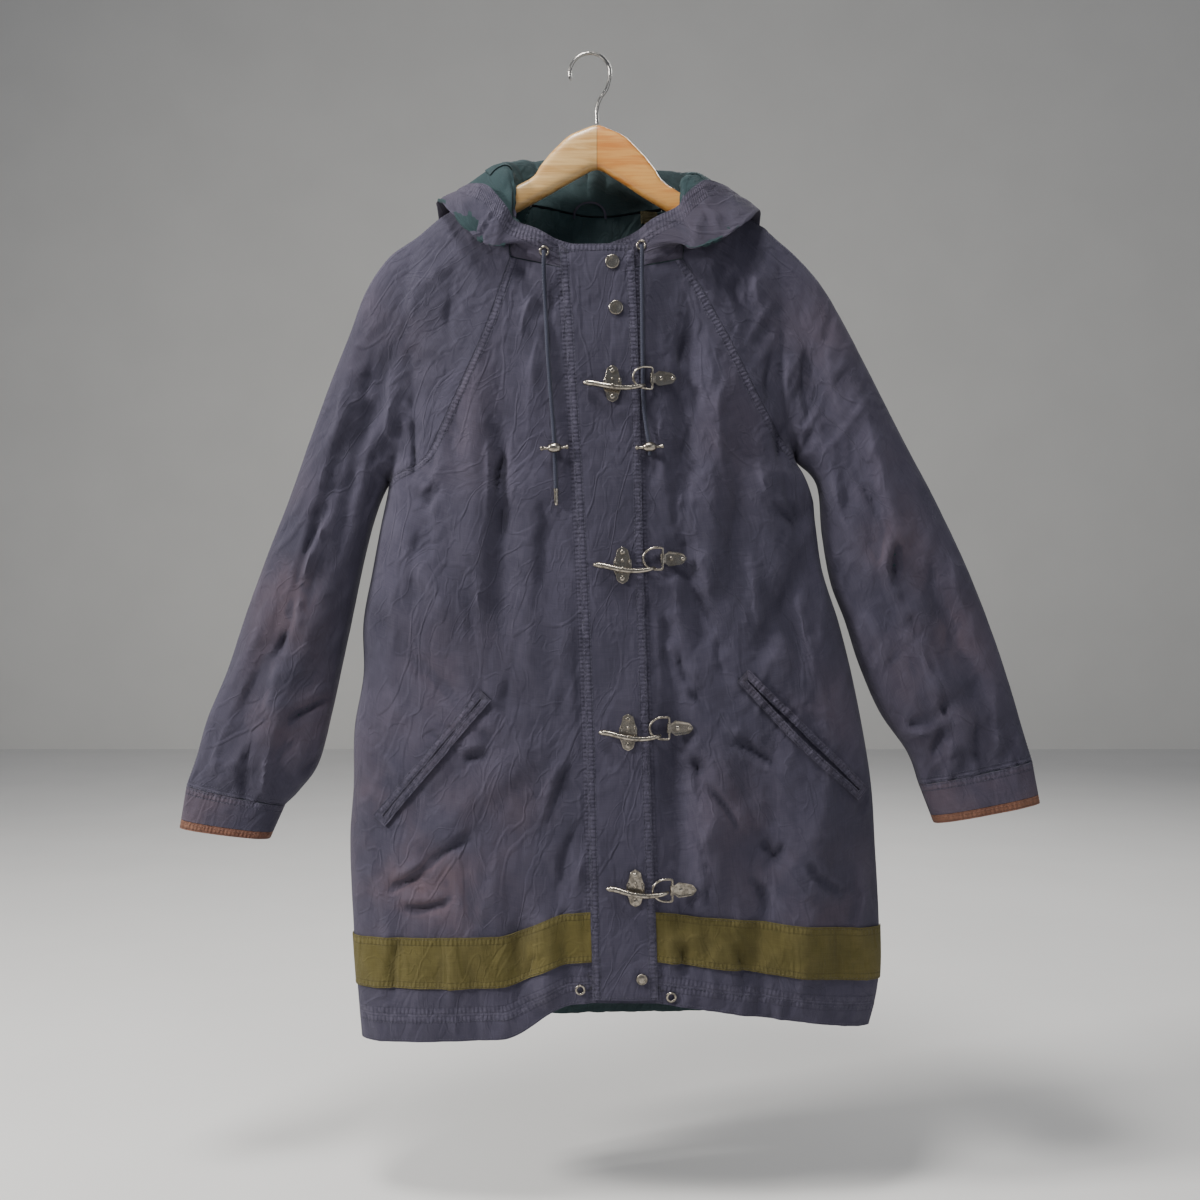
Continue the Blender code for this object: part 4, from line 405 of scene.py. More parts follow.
BACK_CREASES = metres(
    (-196, -420, -186, -560, 8, -4, 6), (-170, -430, -160, -620, 9, 3.4, 6),
    (-140, -470, -148, -640, 7, -3, 5), (-80, -400, -86, -560, 8, 3, 4),
    (-78, -560, -60, -720, 5.5, -4.2, -6), (-62, -640, -40, -800, 8, 3.2, 5),
    (-14, -420, -8, -620, 9, 2.8, 4), (4, -560, 20, -740, 5.5, -3.8, -5), (76, -430, 80, -560, 7, -3, 4),
    (88, -520, 98, -700, 9, 3, 4), (112, -640, 90, -800, 6, -4, 6), (160, -420, 172, -580, 8, 3.4, 4),
    (196, -430, 206, -560, 7, -4.2, 4), (190, -580, 180, -760, 8, 2.8, 5),
    (-216, -700, -150, -760, 5.5, -3.6, -6), (-212, -690, -150, -746, 7, 2.8, -6),
    (276, -720, 196, -790, 6, -3.6, 8), (272, -706, 200, -772, 7, 2.8, 8),
    (-236, -860, -170, -960, 5.5, -3.6, 6), (-140, -800, -130, -960, 9, 3, 4),
    (-54, -860, -78, -980, 6, -3.6, 4), (0, -800, -8, -980, 9, 3, 4), (68, -860, 92, -980, 6, -3.6, -4),
    (130, -820, 126, -980, 8, 3, 3), (196, -840, 216, -960, 6, -3.4, 4), (268, -820, 280, -980, 8, 2.8, 3),
    (-204, -980, -200, -1080, 8, -3.4, 3), (-96, -990, -100, -1080, 7, 3.4, 2),
    (20, -990, 18, -1080, 7, -3.4, 2), (120, -990, 124, -1080, 8, 3.4, 2),
    (236, -990, 240, -1080, 7, -3.4, 2),
)
SLEEVE_CREASES = {
    ("left", False): metres(
        (-286, -515, -318, -612, 5.5, 5.2, 5), (-318, -608, -348, -696, 5.5, 5.4, -4),
        (-346, -690, -364, -752, 5, 4.6, 3), (-298, -520, -330, -616, 5.5, -4, 5),
        (-330, -612, -360, -704, 5.5, -4.2, -4), (-252, -610, -226, -580, 4.5, -4.6, 3),
        (-262, -640, -240, -618, 6, 3.4, 3), (-336, -752, -284, -722, 5, 4.4, -4),
        (-284, -722, -256, -694, 4.5, 4, 2), (-338, -763, -286, -733, 4, -4.6, -4),
        (-286, -733, -258, -705, 4, -4, 2), (-300, -792, -330, -822, 4.5, -3.8, 3),
        (-352, -780, -372, -850, 5.5, 3.6, 3), (-378, -770, -392, -850, 5, -3.4, 3),
        (-402, -740, -424, -836, 7, 3.4, 4), (-262, -350, -280, -450, 8, 3.4, 4),
        (-240, -340, -254, -450, 7, -3.6, 5), (-224, -350, -222, -450, 6, 3.6, 4),
        (-284, -440, -318, -560, 8, -3, -4), (-234, -470, -262, -560, 6, -3.6, 3),
        (-180, -240, -196, -330, 10, 3.2, 6), (-150, -250, -160, -340, 8, -2.6, 4),
        (-352, -600, -382, -690, 7, 2.6, 4), (-372, -700, -398, -770, 6, -2.8, 3),
    ),
    ("right", False): metres(
        (338, -548, 352, -636, 5, -4.6, 4), (352, -634, 368, -668, 4.5, -4.2, 2),
        (368, -668, 388, -720, 4.5, -4.6, -2), (388, -718, 402, -756, 4.5, -4, 2),
        (326, -545, 342, -634, 6, 4.4, 4), (358, -660, 380, -716, 6, 4, -2),
        (380, -678, 408, -780, 6, 5, 4), (354, -762, 388, -756, 4, -4.4, 3),
        (350, -772, 384, -768, 5, 3.4, 3), (392, -758, 388, -800, 4.5, -4, 2),
        (404, -770, 404, -830, 5, 3.4, 2), (430, -740, 446, -820, 6, -3.4, 3),
        (452, -720, 466, -800, 6, 3, 3), (262, -330, 284, -430, 8, 3.4, 4),
        (240, -330, 248, -430, 7, -3.8, 3), (222, -340, 224, -420, 5.5, 3.6, 3),
        (286, -430, 322, -540, 7, -3.4, 4), (304, -420, 344, -540, 8, 3.6, 4),
        (268, -470, 292, -560, 6, 3.4, 3), (274, -560, 304, -640, 5.5, -3.8, 3),
        (300, -630, 330, -700, 6, 3.4, -3), (188, -240, 200, -320, 10, 3.2, 5),
        (160, -250, 170, -320, 8, -2.6, 4), (376, -560, 406, -660, 7, -2.8, 4),
        (400, -560, 432, -670, 8, 2.8, 4),
    ),
    ("left", True): metres(
        (-262, -380, -292, -500, 8, 3.8, 5), (-240, -400, -256, -520, 6, -4, 4),
        (-282, -520, -318, -640, 6, -4.2, 5), (-300, -520, -336, -650, 7, 4.2, 5),
        (-344, -600, -386, -720, 7, -3.4, -4), (-290, -720, -350, -760, 5, -4.4, 5),
        (-288, -708, -350, -746, 6, 3.8, 5), (-350, -760, -382, -840, 5.5, 3.6, 3),
        (-400, -740, -424, -830, 6, -3.4, 3), (-180, -240, -200, -340, 10, 3, 6),
        (-216, -290, -230, -400, 8, -3.4, 5),
    ),
    ("right", True): metres(
        (262, -360, 294, -480, 8, 3.8, 5), (240, -380, 256, -500, 6, -4, 4),
        (292, -500, 330, -620, 6, -4.2, 5), (316, -500, 356, -620, 7, 4.2, 5),
        (372, -560, 420, -690, 7, -3.4, -4), (330, -680, 396, -730, 5, -4.4, 5),
        (328, -666, 396, -714, 6, 3.8, 5), (392, -740, 416, -820, 5.5, 3.6, 3),
        (440, -720, 462, -800, 6, -3.4, 3), (188, -230, 208, -330, 10, 3, 6),
        (222, -270, 234, -380, 8, -3.4, 5),
    ),
}

# Faded places: middle x, z, half width, half height, and amount in thousandths
FADED_FRONT = metres(
    (-180, -930, 80, 70, 900), (-230, -860, 50, 80, 550), (-100, -860, 60, 50, 300),
    (-160, -700, 60, 80, 250), (240, -930, 70, 60, 600), (160, -860, 50, 60, 350),
    (-140, -420, 40, 80, 200), (160, -430, 40, 80, 200), (260, -740, 40, 60, 350),
)
FADED_BACK = metres(
    (-150, -880, 110, 80, 600), (160, -900, 120, 80, 600), (0, -560, 120, 120, 350),
)
FADED_SLEEVES = metres(
    (-340, -620, 40, 110, 550), (-330, -740, 50, 50, 600), (-240, -330, 50, 80, 250),
    (400, -700, 50, 80, 600), (340, -560, 40, 100, 450), (260, -320, 50, 80, 250),
)

# Flat sizes of the cut: width, length, and where three numbers are given the cloth's area
FACING_FLAT = (0.21, 0.11)
HEM_LINING_FLAT = (0.54, 0.022)

# The rows above with their places, so that they can be looked up between rows
KEYED_FRONT = [(i, *row) for i, row in enumerate(FRONT_ROWS)]
KEYED_BACK = [(i, *row) for i, row in enumerate(BACK_NECK_ROWS)]
for left_x, left_z, _, right_x, right_z, _ in FRONT_ROWS[UNDERARM_ROW + 1:]:
    KEYED_BACK.append((len(KEYED_BACK), left_x, left_z, (left_z + right_z) / 2.0 - BACK_DROOP, right_x, right_z))
KEYED_SLEEVES = {}
for is_left, table in ((True, SLEEVE_LEFT), (False, SLEEVE_RIGHT)):
    KEYED_SLEEVES[is_left, False] = [(i, *row) for i, row in enumerate(table)]
    behind = []
    for i, row in enumerate(table):
        if i < len(BACK_NECK_ROWS):
            under = BACK_NECK_ROWS[i][0:2] if is_left else BACK_NECK_ROWS[i][3:5]
            row = (*row[:2], *under, *row[4:])
        behind.append((i, *row))
    KEYED_SLEEVES[is_left, True] = behind


# ---------------------------------------------------------------- numbers in tables
CURVES = {}


def mix(a, b, t):
    """Value between a and b."""
    return a + (b - a) * t


def ease(t):
    """Smooth step from 0 to 1."""
    t = np.clip(t, 0.0, 1.0)
    return t * t * (3.0 - 2.0 * t)


def look(table, keys, column, key_column=0):
    """Values of a column where the key column has the keys, smooth between rows."""
    name = (id(table), column, key_column)
    if name not in CURVES:
        rows = sorted(table, key=lambda row: row[key_column])
        xs = np.array([row[key_column] for row in rows], float)
        ys = np.array([row[column] for row in rows], float)
        slopes = np.empty_like(ys)
        slopes[1:-1] = (ys[2:] - ys[:-2]) / (xs[2:] - xs[:-2])
        slopes[0] = (ys[1] - ys[0]) / (xs[1] - xs[0])
        slopes[-1] = (ys[-1] - ys[-2]) / (xs[-1] - xs[-2])
        CURVES[name] = (xs, ys, slopes, table)
    xs, ys, slopes, _ = CURVES[name]
    keys = np.clip(np.asarray(keys, float), xs[0], xs[-1])
    low = np.clip(np.searchsorted(xs, keys, side="right") - 1, 0, len(xs) - 2)
    span = xs[low + 1] - xs[low]
    t = (keys - xs[low]) / span
    square = t * t
    cube = square * t
    return (
        ys[low] * (2.0 * cube - 3.0 * square + 1.0)
        + slopes[low] * span * (cube - 2.0 * square + t)
        + ys[low + 1] * (3.0 * square - 2.0 * cube)
        + slopes[low + 1] * span * (cube - square)
    )


def unit(vectors):
    """Vectors made one long."""
    return vectors / np.linalg.norm(vectors, axis=-1, keepdims=True)


def way(points, axis=0):
    """How far along a path, or along an axis of a grid, each of its points lies."""
    steps = np.linalg.norm(np.diff(points, axis=axis), axis=-1)
    return np.concatenate((np.zeros_like(np.take(steps, [0], axis)), np.cumsum(steps, axis=axis)), axis=axis)


def at_lengths(wanted, lengths, values):
    """Points or directions at wanted lengths along a path."""
    return np.stack([np.interp(wanted, lengths, values[:, k]) for k in range(3)], axis=-1)


def scatter(ix, iy, seed):
    """Fixed pseudo-random numbers from -1 to 1 for whole-number places."""
    h = (ix.astype(np.int64) * 374761393 + iy.astype(np.int64) * 668265263 + seed * 1442695041) & 0xFFFFFFFF
    h = ((h ^ (h >> 13)) * 1274126177) & 0xFFFFFFFF
    return ((h ^ (h >> 16)) & 0xFFFF) / 32767.5 - 1.0


def noise(u, v, seed):
    """Smooth noise from -1 to 1 with features one unit across."""
    iu = np.floor(u)
    iv = np.floor(v)
    fu = ease(u - iu)
    fv = ease(v - iv)
    low = mix(scatter(iu, iv, seed), scatter(iu + 1, iv, seed), fu)
    high = mix(scatter(iu, iv + 1, seed), scatter(iu + 1, iv + 1, seed), fu)
    return mix(low, high, fv)


def crumple(u, v, size, seed, stretch=1.0):
    """Creased noise, about -1 to 1: sharp soft-sided ridges between flatter fields."""
    a = u / size
    b = v / (size * stretch)
    warp = noise(a * 0.7, b * 0.7, seed + 5) * 0.8
    first = 1.0 - 2.6 * np.abs(noise(a + warp, b - warp, seed)) ** 0.8
    second = 1.0 - 2.6 * np.abs(noise(a * 2.1 - warp, b * 2.1 + 7.3, seed + 1)) ** 0.8
    return first * 0.65 + second * 0.35


def ripple(place, pitch, sway, reach, seed):
    """Uneven waves along a seam, about a pitch apart."""
    return np.sin(place * 2.0 * math.pi / pitch + sway * noise(place / reach, place * 0.0, seed))


def from_line(x0, z0, x1, z1, x, z):
    """Share of the way along a line, distance across it, and its length."""
    run_x, run_z = x1 - x0, z1 - z0
    length = math.hypot(run_x, run_z)
    along = ((x - x0) * run_x + (z - z0) * run_z) / (length * length)
    return along, ((x - x0) * run_z - (z - z0) * run_x) / length, length


def along_lines(rows, x, z):
    """Sum of creases: each from x0, z0 to x1, z1 with half width, height and sideways bow."""
    total = np.zeros_like(x)
    for x0, z0, x1, z1, width, height, bow in rows:
        along, across, length = from_line(x0, z0, x1, z1, x, z)
        t = np.clip(along, 0.0, 1.0)
        across = across - bow * 4.0 * t * (1.0 - t)
        run = along * length
        wander = noise(run / 0.045, x0 * 90.0 + 0.0 * x, 71) * 0.9
        wander = wander + noise(run / 0.018, z0 * 90.0 + 0.0 * x, 72) * 0.35
        near = across / width + wander * 0.8
        uneven = 0.65 + 0.45 * noise(run / 0.030, (x0 + z0) * 70.0 + 0.0 * x, 73)
        taper = ease((along + 0.05) / 0.4) * ease((1.05 - along) / 0.45) * uneven
        steep = np.where(near > 0.0, near * 2.0, near * 0.55)
        total += height * CREASE_SHARE * taper * np.exp(-np.abs(steep) ** 1.05)
    return total


def nearest(path, x, z):
    """Distance to a path of (x, z) points, and how far along it the nearest place is."""
    best = np.full(np.shape(x), 1e9)
    run = np.zeros(np.shape(x))
    start = 0.0
    for (x0, z0), (x1, z1) in zip(path, path[1:]):
        dx = x1 - x0
        dz = z1 - z0
        length = math.hypot(dx, dz)
        if length < 1e-7:
            continue
        t = np.clip(((x - x0) * dx + (z - z0) * dz) / (length * length), 0.0, 1.0)
        away = np.hypot(x - x0 - t * dx, z - z0 - t * dz)
        closer = away < best
        best = np.where(closer, away, best)
        run = np.where(closer, start + t * length, run)
        start += length
    return best, run


# ---------------------------------------------------------------- torso
def side_profile(x, z):
    """Share of the torso's full depth, 0 at its edges and at the shoulder ridge."""
    left = look(TORSO, z, 1)
    right = look(TORSO, z, 2)
    across = np.clip(np.abs((x - (left + right) / 2.0) / ((right - left) / 2.0)), 0.0, 1.0)
    side = (1.0 - across ** SIDE_POWER) ** (1.0 / SIDE_POWER)
    below = np.clip((look(RIDGE, x, 1) - z) / SHOULDER_FALL, 0.0, 1.0)
    return side * np.sqrt(np.maximum(0.0, 1.0 - (1.0 - below) ** 2))


def fold_height(folds, x, z):
    """Sum of the large folds, as in the solids."""
    total = np.zeros_like(x)
    for x0, z0, x1, z1, width, height in folds:
        along, across, _ = from_line(x0, z0, x1, z1, x, z)
        taper = ease((along + 0.12) / 0.3) * ease((1.12 - along) / 0.3)
        total += height * taper * np.exp(-(across / width) ** 2)
    return total


def plain_front(x, z):
    """Depth of the front without the small creases."""
    share = side_profile(x, z)
    return -SEAM / 2.0 - share * (look(TORSO, z, 3) + fold_height(FRONT_FOLDS, x, z))


def front_y(x, z):
    """Depth of the front with its creases, seams and puckers."""
    share = side_profile(x, z)
    return plain_front(x, z) - np.minimum(1.0, share * 2.5) * front_detail(x, z)


def back_y(x, z):
    """Depth of the back with its creases."""
    share = side_profile(x, z)
    depth = share * (look(TORSO, z, 4) + fold_height(BACK_FOLDS, x, z))
    return SEAM / 2.0 + depth + np.minimum(1.0, share * 2.5) * back_detail(x, z)


def front_rows(t, column):
    """Column of the front's rows at fractional row numbers."""
    return look(KEYED_FRONT, t, column + 1)


def placket_edge(z, column):
    """Left or right edge of the placket at a height."""
    return look(PLACKET, z, column)


def meeting_x(z):
    """Where the two fronts meet under the placket."""
    return mix(placket_edge(z, 1), placket_edge(z, 2), MEETING)


def front_places(t, s, side):
    """x and z of places on a front: t is the row, s runs from the side edge to the placket."""
    middle_z = front_rows(t, 2)
    late = front_rows(t, 5)
    if side == "left":
        edge_z = front_rows(t, 1)
        edge_x = np.maximum(front_rows(t, 0) + SEAM / 2.0, look(TORSO, edge_z, 1))
        inner_x = placket_edge(middle_z, 1)
    else:
        edge_z = front_rows(t, 4)
        edge_x = np.minimum(front_rows(t, 3) - SEAM / 2.0, look(TORSO, edge_z, 2))
        inner_x = placket_edge(middle_z, 2)
        late = late * 0.0
    step = np.clip(s, 0.0, 1.0)
    sharp = ease((step - LATE_RISE[0]) / (LATE_RISE[1] - LATE_RISE[0]))
    rise = mix(step, 0.3 * step + 0.7 * sharp, late)
    x = mix(edge_x, inner_x, step)
    z = mix(edge_z, middle_z, rise)
    end = meeting_x(middle_z) + (-SEAM / 2.0 if side == "left" else SEAM / 2.0)
    over = np.clip(s - 1.0, 0.0, 1.0)
    return mix(x, end, over), np.where(s > 1.0, middle_z, z)


def seam_path(side, first, last, count=40):
    """Path of (x, z) points down a front's outer edge between two rows."""
    t = np.linspace(first, last, count)
    columns = (0, 1) if side == "left" else (3, 4)
    return list(zip(front_rows(t, columns[0]), front_rows(t, columns[1])))


def hem_path(side, row, count=60):
    """Path across a front along one of its rows."""
    s = np.linspace(0.0, 1.0, count)
    x, z = front_places(np.full(count, float(row)), s, side)
    return list(zip(x, z))


def pocket_frame(side):
    """Upper end, direction, length and upward side of a pocket's slit."""
    x0, z0, x1, z1, gape = POCKETS[side]
    length = math.hypot(x1 - x0, z1 - z0)
    run = ((x1 - x0) / length, (z1 - z0) / length)
    across = (-run[1], run[0])
    if across[1] < 0.0:
        across = (-across[0], -across[1])
    return (x0, z0), run, across, length, gape


def calm_under_metal(x, z):
    """Share of the small creases that is left under the cords and the ring plates."""
    kept = np.ones_like(x)
    for rows in (CORD_LEFT, CORD_RIGHT):
        rows = np.array(rows)
        line = np.interp(-z, -rows[:, 1], rows[:, 0])
        kept -= 0.80 * np.exp(-((x - line) / 0.010) ** 4) * ease((z - rows[-1, 1] + 0.030) / 0.015)
    for x0, z0, rise, reach, _, _ in CLASPS:
        kept -= 0.85 * np.exp(-(np.hypot(x - x0 - reach - 0.012, z - z0 - rise) / 0.020) ** 4)
    return np.clip(kept, 0.12, 1.0)


def front_detail(x, z):
    """Height of creases, puckers and stitched edges above the plain front."""
    total = along_lines(FRONT_CREASES, x, z)
    under = ease((placket_edge(z, 1) - 0.004 - x) / 0.012) + ease((x - placket_edge(z, 2) - 0.004) / 0.012)
    low = ease((-0.30 - z) / 0.25)
    right = ease((x - 0.05) / 0.05)
    total += under * (0.0017 + 0.0013 * right) * crumple(x, z, 0.066, 11, 3.2) * (0.55 + 0.45 * low)
    total += under * 0.0010 * crumple(x + z * 0.4, z, 0.030, 15, 2.4)
    total += under * 0.0006 * crumple(x - z * 0.3, z, 0.0125, 17, 1.4) * (0.6 + 0.4 * right)
    total += (1.0 - under) * (0.0008 * crumple(x, z, 0.045, 12, 1.5) + 0.0004 * crumple(x, z, 0.015, 13, 1.2))
    total *= calm_under_metal(x, z)
    # gathers round the pockets and along the hem channel
    for side in POCKETS:
        start, run, across, length, _ = pocket_frame(side)
        place = (x - start[0]) * run[0] + (z - start[1]) * run[1]
        away = (x - start[0]) * across[0] + (z - start[1]) * across[1]
        t = place / length
        within = ease((t + 0.25) / 0.3) * ease((1.25 - t) / 0.3)
        gather = np.exp(-(np.abs(away) / 0.035) ** 2) * within
        total += gather * 0.0016 * crumple(place, away, 0.016, 31, 3.0)
    for side in ("left", "right"):
        inside = x < meeting_x(z) if side == "left" else x > meeting_x(z)
        away, place = nearest(HEM_LINES[side], x, z)
        pleat = ripple(place, 0.021, 2.6, 0.05, 41)
        deep = 0.5 + 0.5 * noise(place / 0.035, away / 0.02, 42)
        below = ease((HEM_STITCH_Z[side](x) - z) / 0.004)
        fade = np.exp(-(away / 0.020) ** 2)
        total += np.where(inside, (0.0013 * below + 0.0005) * fade * pleat * deep, 0.0)
        away, place = nearest(RAGLAN_LINES[side], x, z)
        pucker = ripple(place, 0.0105, 3.0, 0.03, 43)
        strip = np.exp(-((away - 0.005) / 0.006) ** 2)
        total += np.where(inside, 0.00035 * strip * pucker + 0.0005 * ease(1.6 - away / 0.007), 0.0)
    # the placket's two stitched strips
    for column, sign in ((1, 1.0), (2, -1.0)):
        away = np.abs((x - placket_edge(z, column)) * sign - 0.0045)
        pucker = ripple(z, 0.0085, 3.0, 0.03, 44 + column)
        total += 0.00030 * np.exp(-(away / 0.004) ** 2) * pucker
    for eyelet_x, eyelet_z in HEM_EYELETS.values():
        total = total * (1.0 - 0.95 * np.exp(-(np.hypot(x - eyelet_x, z - eyelet_z) / 0.011) ** 4))
    return total


def back_detail(x, z):
    """Height of the creases on the hidden back."""
    total = along_lines(BACK_CREASES, x, z)
    total += 0.0024 * crumple(x, z, 0.070, 21, 2.8) + 0.0013 * crumple(x + z * 0.3, z, 0.028, 22, 2.0)
    total += 0.0006 * crumple(x - z * 0.3, z, 0.0125, 23, 1.4)
    edge = np.minimum(np.abs(x - look(TORSO, z, 1)), np.abs(x - look(TORSO, z, 2)))
    low = ease((-1.02 - z) / 0.03)
    pleat = ripple(x, 0.022, 2.5, 0.05, 51)
    total += 0.0011 * low * pleat * (0.5 + 0.5 * noise(x / 0.03, z / 0.02, 52))
    return total * ease(edge / 0.012)


def surface_normals(surface, x, z, facing):
    """Unit normals of the front or back by differences."""
    reach = 0.0004
    left = look(TORSO, z, 1)
    right = look(TORSO, z, 2)
    x = np.clip(x, left, right)
    x0 = np.maximum(x - reach, left)
    x1 = np.minimum(x + reach, right)
    slope_x = (surface(x1, z) - surface(x0, z)) / np.maximum(x1 - x0, 1e-6)
    slope_z = (surface(x, z + reach) - surface(x, z - reach)) / (2.0 * reach)
    slope_z = np.clip(slope_z, -3.0, 3.0)
    slope_x = np.clip(slope_x, -8.0, 8.0)
    return unit(np.stack((-slope_x, np.ones_like(x), -slope_z), axis=-1) * facing)


def on_surface(surface, x, z, facing):
    """Points and normals of a surface."""
    return np.stack((x, surface(x, z), z), axis=-1), surface_normals(surface, x, z, facing)


# ---------------------------------------------------------------- sleeves
def sleeve_column(table, t, column, back):
    """Column of a sleeve's rows at fractional row numbers; above the underarm the under
    edge is the raglan seam of the panel beside it."""
    value = look(KEYED_SLEEVES[table[0][0] < 0.0, back], t, column + 1)
    if column in (2, 3):
        side = 0 if table[0][0] < 0.0 else 3
        rows = KEYED_BACK if back else KEYED_FRONT
        beside = look(rows, t, side + column - 2 + 1)
        value = np.where(t <= UNDERARM_ROW, beside, value)
    return value


def swelling(step):
    """Share of a sleeve's depth, 0 at its seams and 1 between them."""
    return np.maximum(0.0, 1.0 - np.abs(2.0 * step - 1.0) ** SIDE_POWER) ** (1.0 / SIDE_POWER)


def sleeve_points(table, along, across, back):
    """Points of half a sleeve for arrays of places along and across it."""
    last = len(table) - 1
    t = along * last
    over_x, over_z, under_x, under_z, front, rear = (sleeve_column(table, t, c, back) for c in range(6))
    underarm = UNDERARM_ROW / last
    lower = ease((along - underarm * 0.55) / (underarm * 0.45))
    open_step = 1.0 - np.cos(across * math.pi / 2.0)
    shut_step = (1.0 - np.cos(across * math.pi)) / 2.0
    step = mix(mix(open_step, across, 0.35), shut_step, lower)
    outward = np.where(over_x < under_x, -1.0, 1.0)
    x = mix(over_x, under_x, step) + SEAM / 2.0 * (1.0 - lower) * across * outward
    z = mix(over_z, under_z, step)
    depth = (rear if back else front).copy()
    swell = swelling(step)
    for from_at, to_at, from_side, to_side, width, height in SLEEVE_FOLDS:
        run = np.clip((along - from_at) / (to_at - from_at), -0.2, 1.2)
        middle = mix(from_side, to_side, run)
        taper = ease((run + 0.2) / 0.35) * ease((1.2 - run) / 0.35)
        depth += height * taper * np.exp(-((step - middle) / width) ** 2)
    y = depth * swell + SEAM / 2.0 - SLEEVE_INNER_Y * step * (1.0 - lower)
    torso = back_y(x, z) if back else -front_y(x, z)
    near = ease((across - 0.80) / 0.20) * ease((underarm - along) / 0.02 + 1.0) * (along <= underarm)
    side = "left" if table[0][0] < 0.0 else "right"
    rows = SLEEVE_CREASES[side, back]
    detail = np.minimum(1.0, swell * 2.0) * sleeve_detail(rows, x, z, along, step, 60 + 7 * back + (side == "left"))
    y = np.where(along < underarm, np.maximum(y, torso), y)
    y = mix(y + detail * (1.0 - near), torso, near * (along < underarm))
    return np.stack((x, y if back else -y, z), axis=-1)


def sleeve_detail(rows, x, z, along, step, seed):
    """Height of a sleeve's creases."""
    total = along_lines(rows, x, z)
    line = x * 0.5 + z * 0.87
    turned = x * 0.87 - z * 0.5
    total += 0.0018 * crumple(turned, line, 0.050, seed, 3.4)
    total += 0.0010 * crumple(turned, line, 0.024, seed + 2, 2.6)
    total += 0.0006 * crumple(x, z, 0.012, seed + 3, 1.3)
    cuff = ease((along - 0.90) / 0.08)
    pleat = np.sin(step * 30.0 + 3.0 * noise(step * 9.0, along * 4.0, seed + 4))
    total += cuff * 0.0012 * pleat * (0.5 + 0.5 * noise(step * 12.0, along * 9.0, seed + 5))
    arm = np.exp(-((along - 0.44) / 0.05) ** 2) * ease((step - 0.45) / 0.4)
    total += arm * 0.0022 * crumple(x, z, 0.020, seed + 6, 1.3)
    return total


def cuff_points(table, end, down, step, back, seed):
    """Points of the cuff, down from 0 at its seam to 1 at the binding's end."""
    row = [mix(a, b, down) for a, b in zip(table[-1], end)]
    over_x, over_z, under_x, under_z, front, rear = row
    depth = rear if back else front
    swell = swelling(step)
    pleat = np.sin(step * 44.0 + 3.0 * noise(step * 11.0, down * 1.5, seed))
    ripple = 0.0007 * pleat * np.exp(-down * 2.2) + 0.0006 * noise(step * 7.0, down * 3.0, seed + 1)
    y = depth * swell + SEAM / 2.0 + ripple * np.minimum(1.0, swell * 1.5)
    x = mix(over_x, under_x, step)
    z = mix(over_z, under_z, step)
    return np.stack((x, y if back else -y, z), axis=-1)


def grid_normals(points, towards):
    """Unit normals of a grid; towards is a direction for the middle point."""
    down = np.gradient(points, axis=0)
    side = np.gradient(points, axis=1)
    n = np.cross(down, side)
    n /= np.maximum(np.linalg.norm(n, axis=-1, keepdims=True), 1e-12)
    middle = n[n.shape[0] // 2, n.shape[1] // 2]
    if np.dot(middle, towards) < 0.0:
        n = -n
    return n


# ---------------------------------------------------------------- meshes
def steps_between(length, edge_offsets, spacing):
    """Places from 0 to 1 with close offsets at both ends and even spacing between."""
    offsets = [o / length for o in edge_offsets if o < length * 0.45]
    inner = offsets[-1] if offsets else 0.0
    count = max(2, int(round((1.0 - 2.0 * inner) * length / spacing)))
    middle = np.linspace(inner, 1.0 - inner, count + 1)
    return np.concatenate((offsets[:-1], middle, [1.0 - o for o in reversed(offsets[:-1])]))


def link(name, mesh, material_made):
    """Object of a mesh that rides on the coat."""
    mesh.materials.append(material_made)
    made = bpy.data.objects.new(name, mesh)
    bpy.context.scene.collection.objects.link(made)
    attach(made, "root")
    return made


def ridges(points, normals, reach=3):
    """How far each place of a grid stands out from its surroundings, in mm."""
    padded = np.pad(points, ((reach, reach), (reach, reach), (0, 0)), mode="edge")
    rows, columns = points.shape[:2]
    around = np.zeros_like(points)
    for di, dj in ((0, reach), (2 * reach, reach), (reach, 0), (reach, 2 * reach)):
        around += padded[di:di + rows, dj:dj + columns]
    out = np.sum((points - around / 4.0) * normals, axis=-1) * 1000.0
    out[:reach] = 0.0
    out[-reach:] = 0.0
    out[:, :reach] = 0.0
    out[:, -reach:] = 0.0
    return out


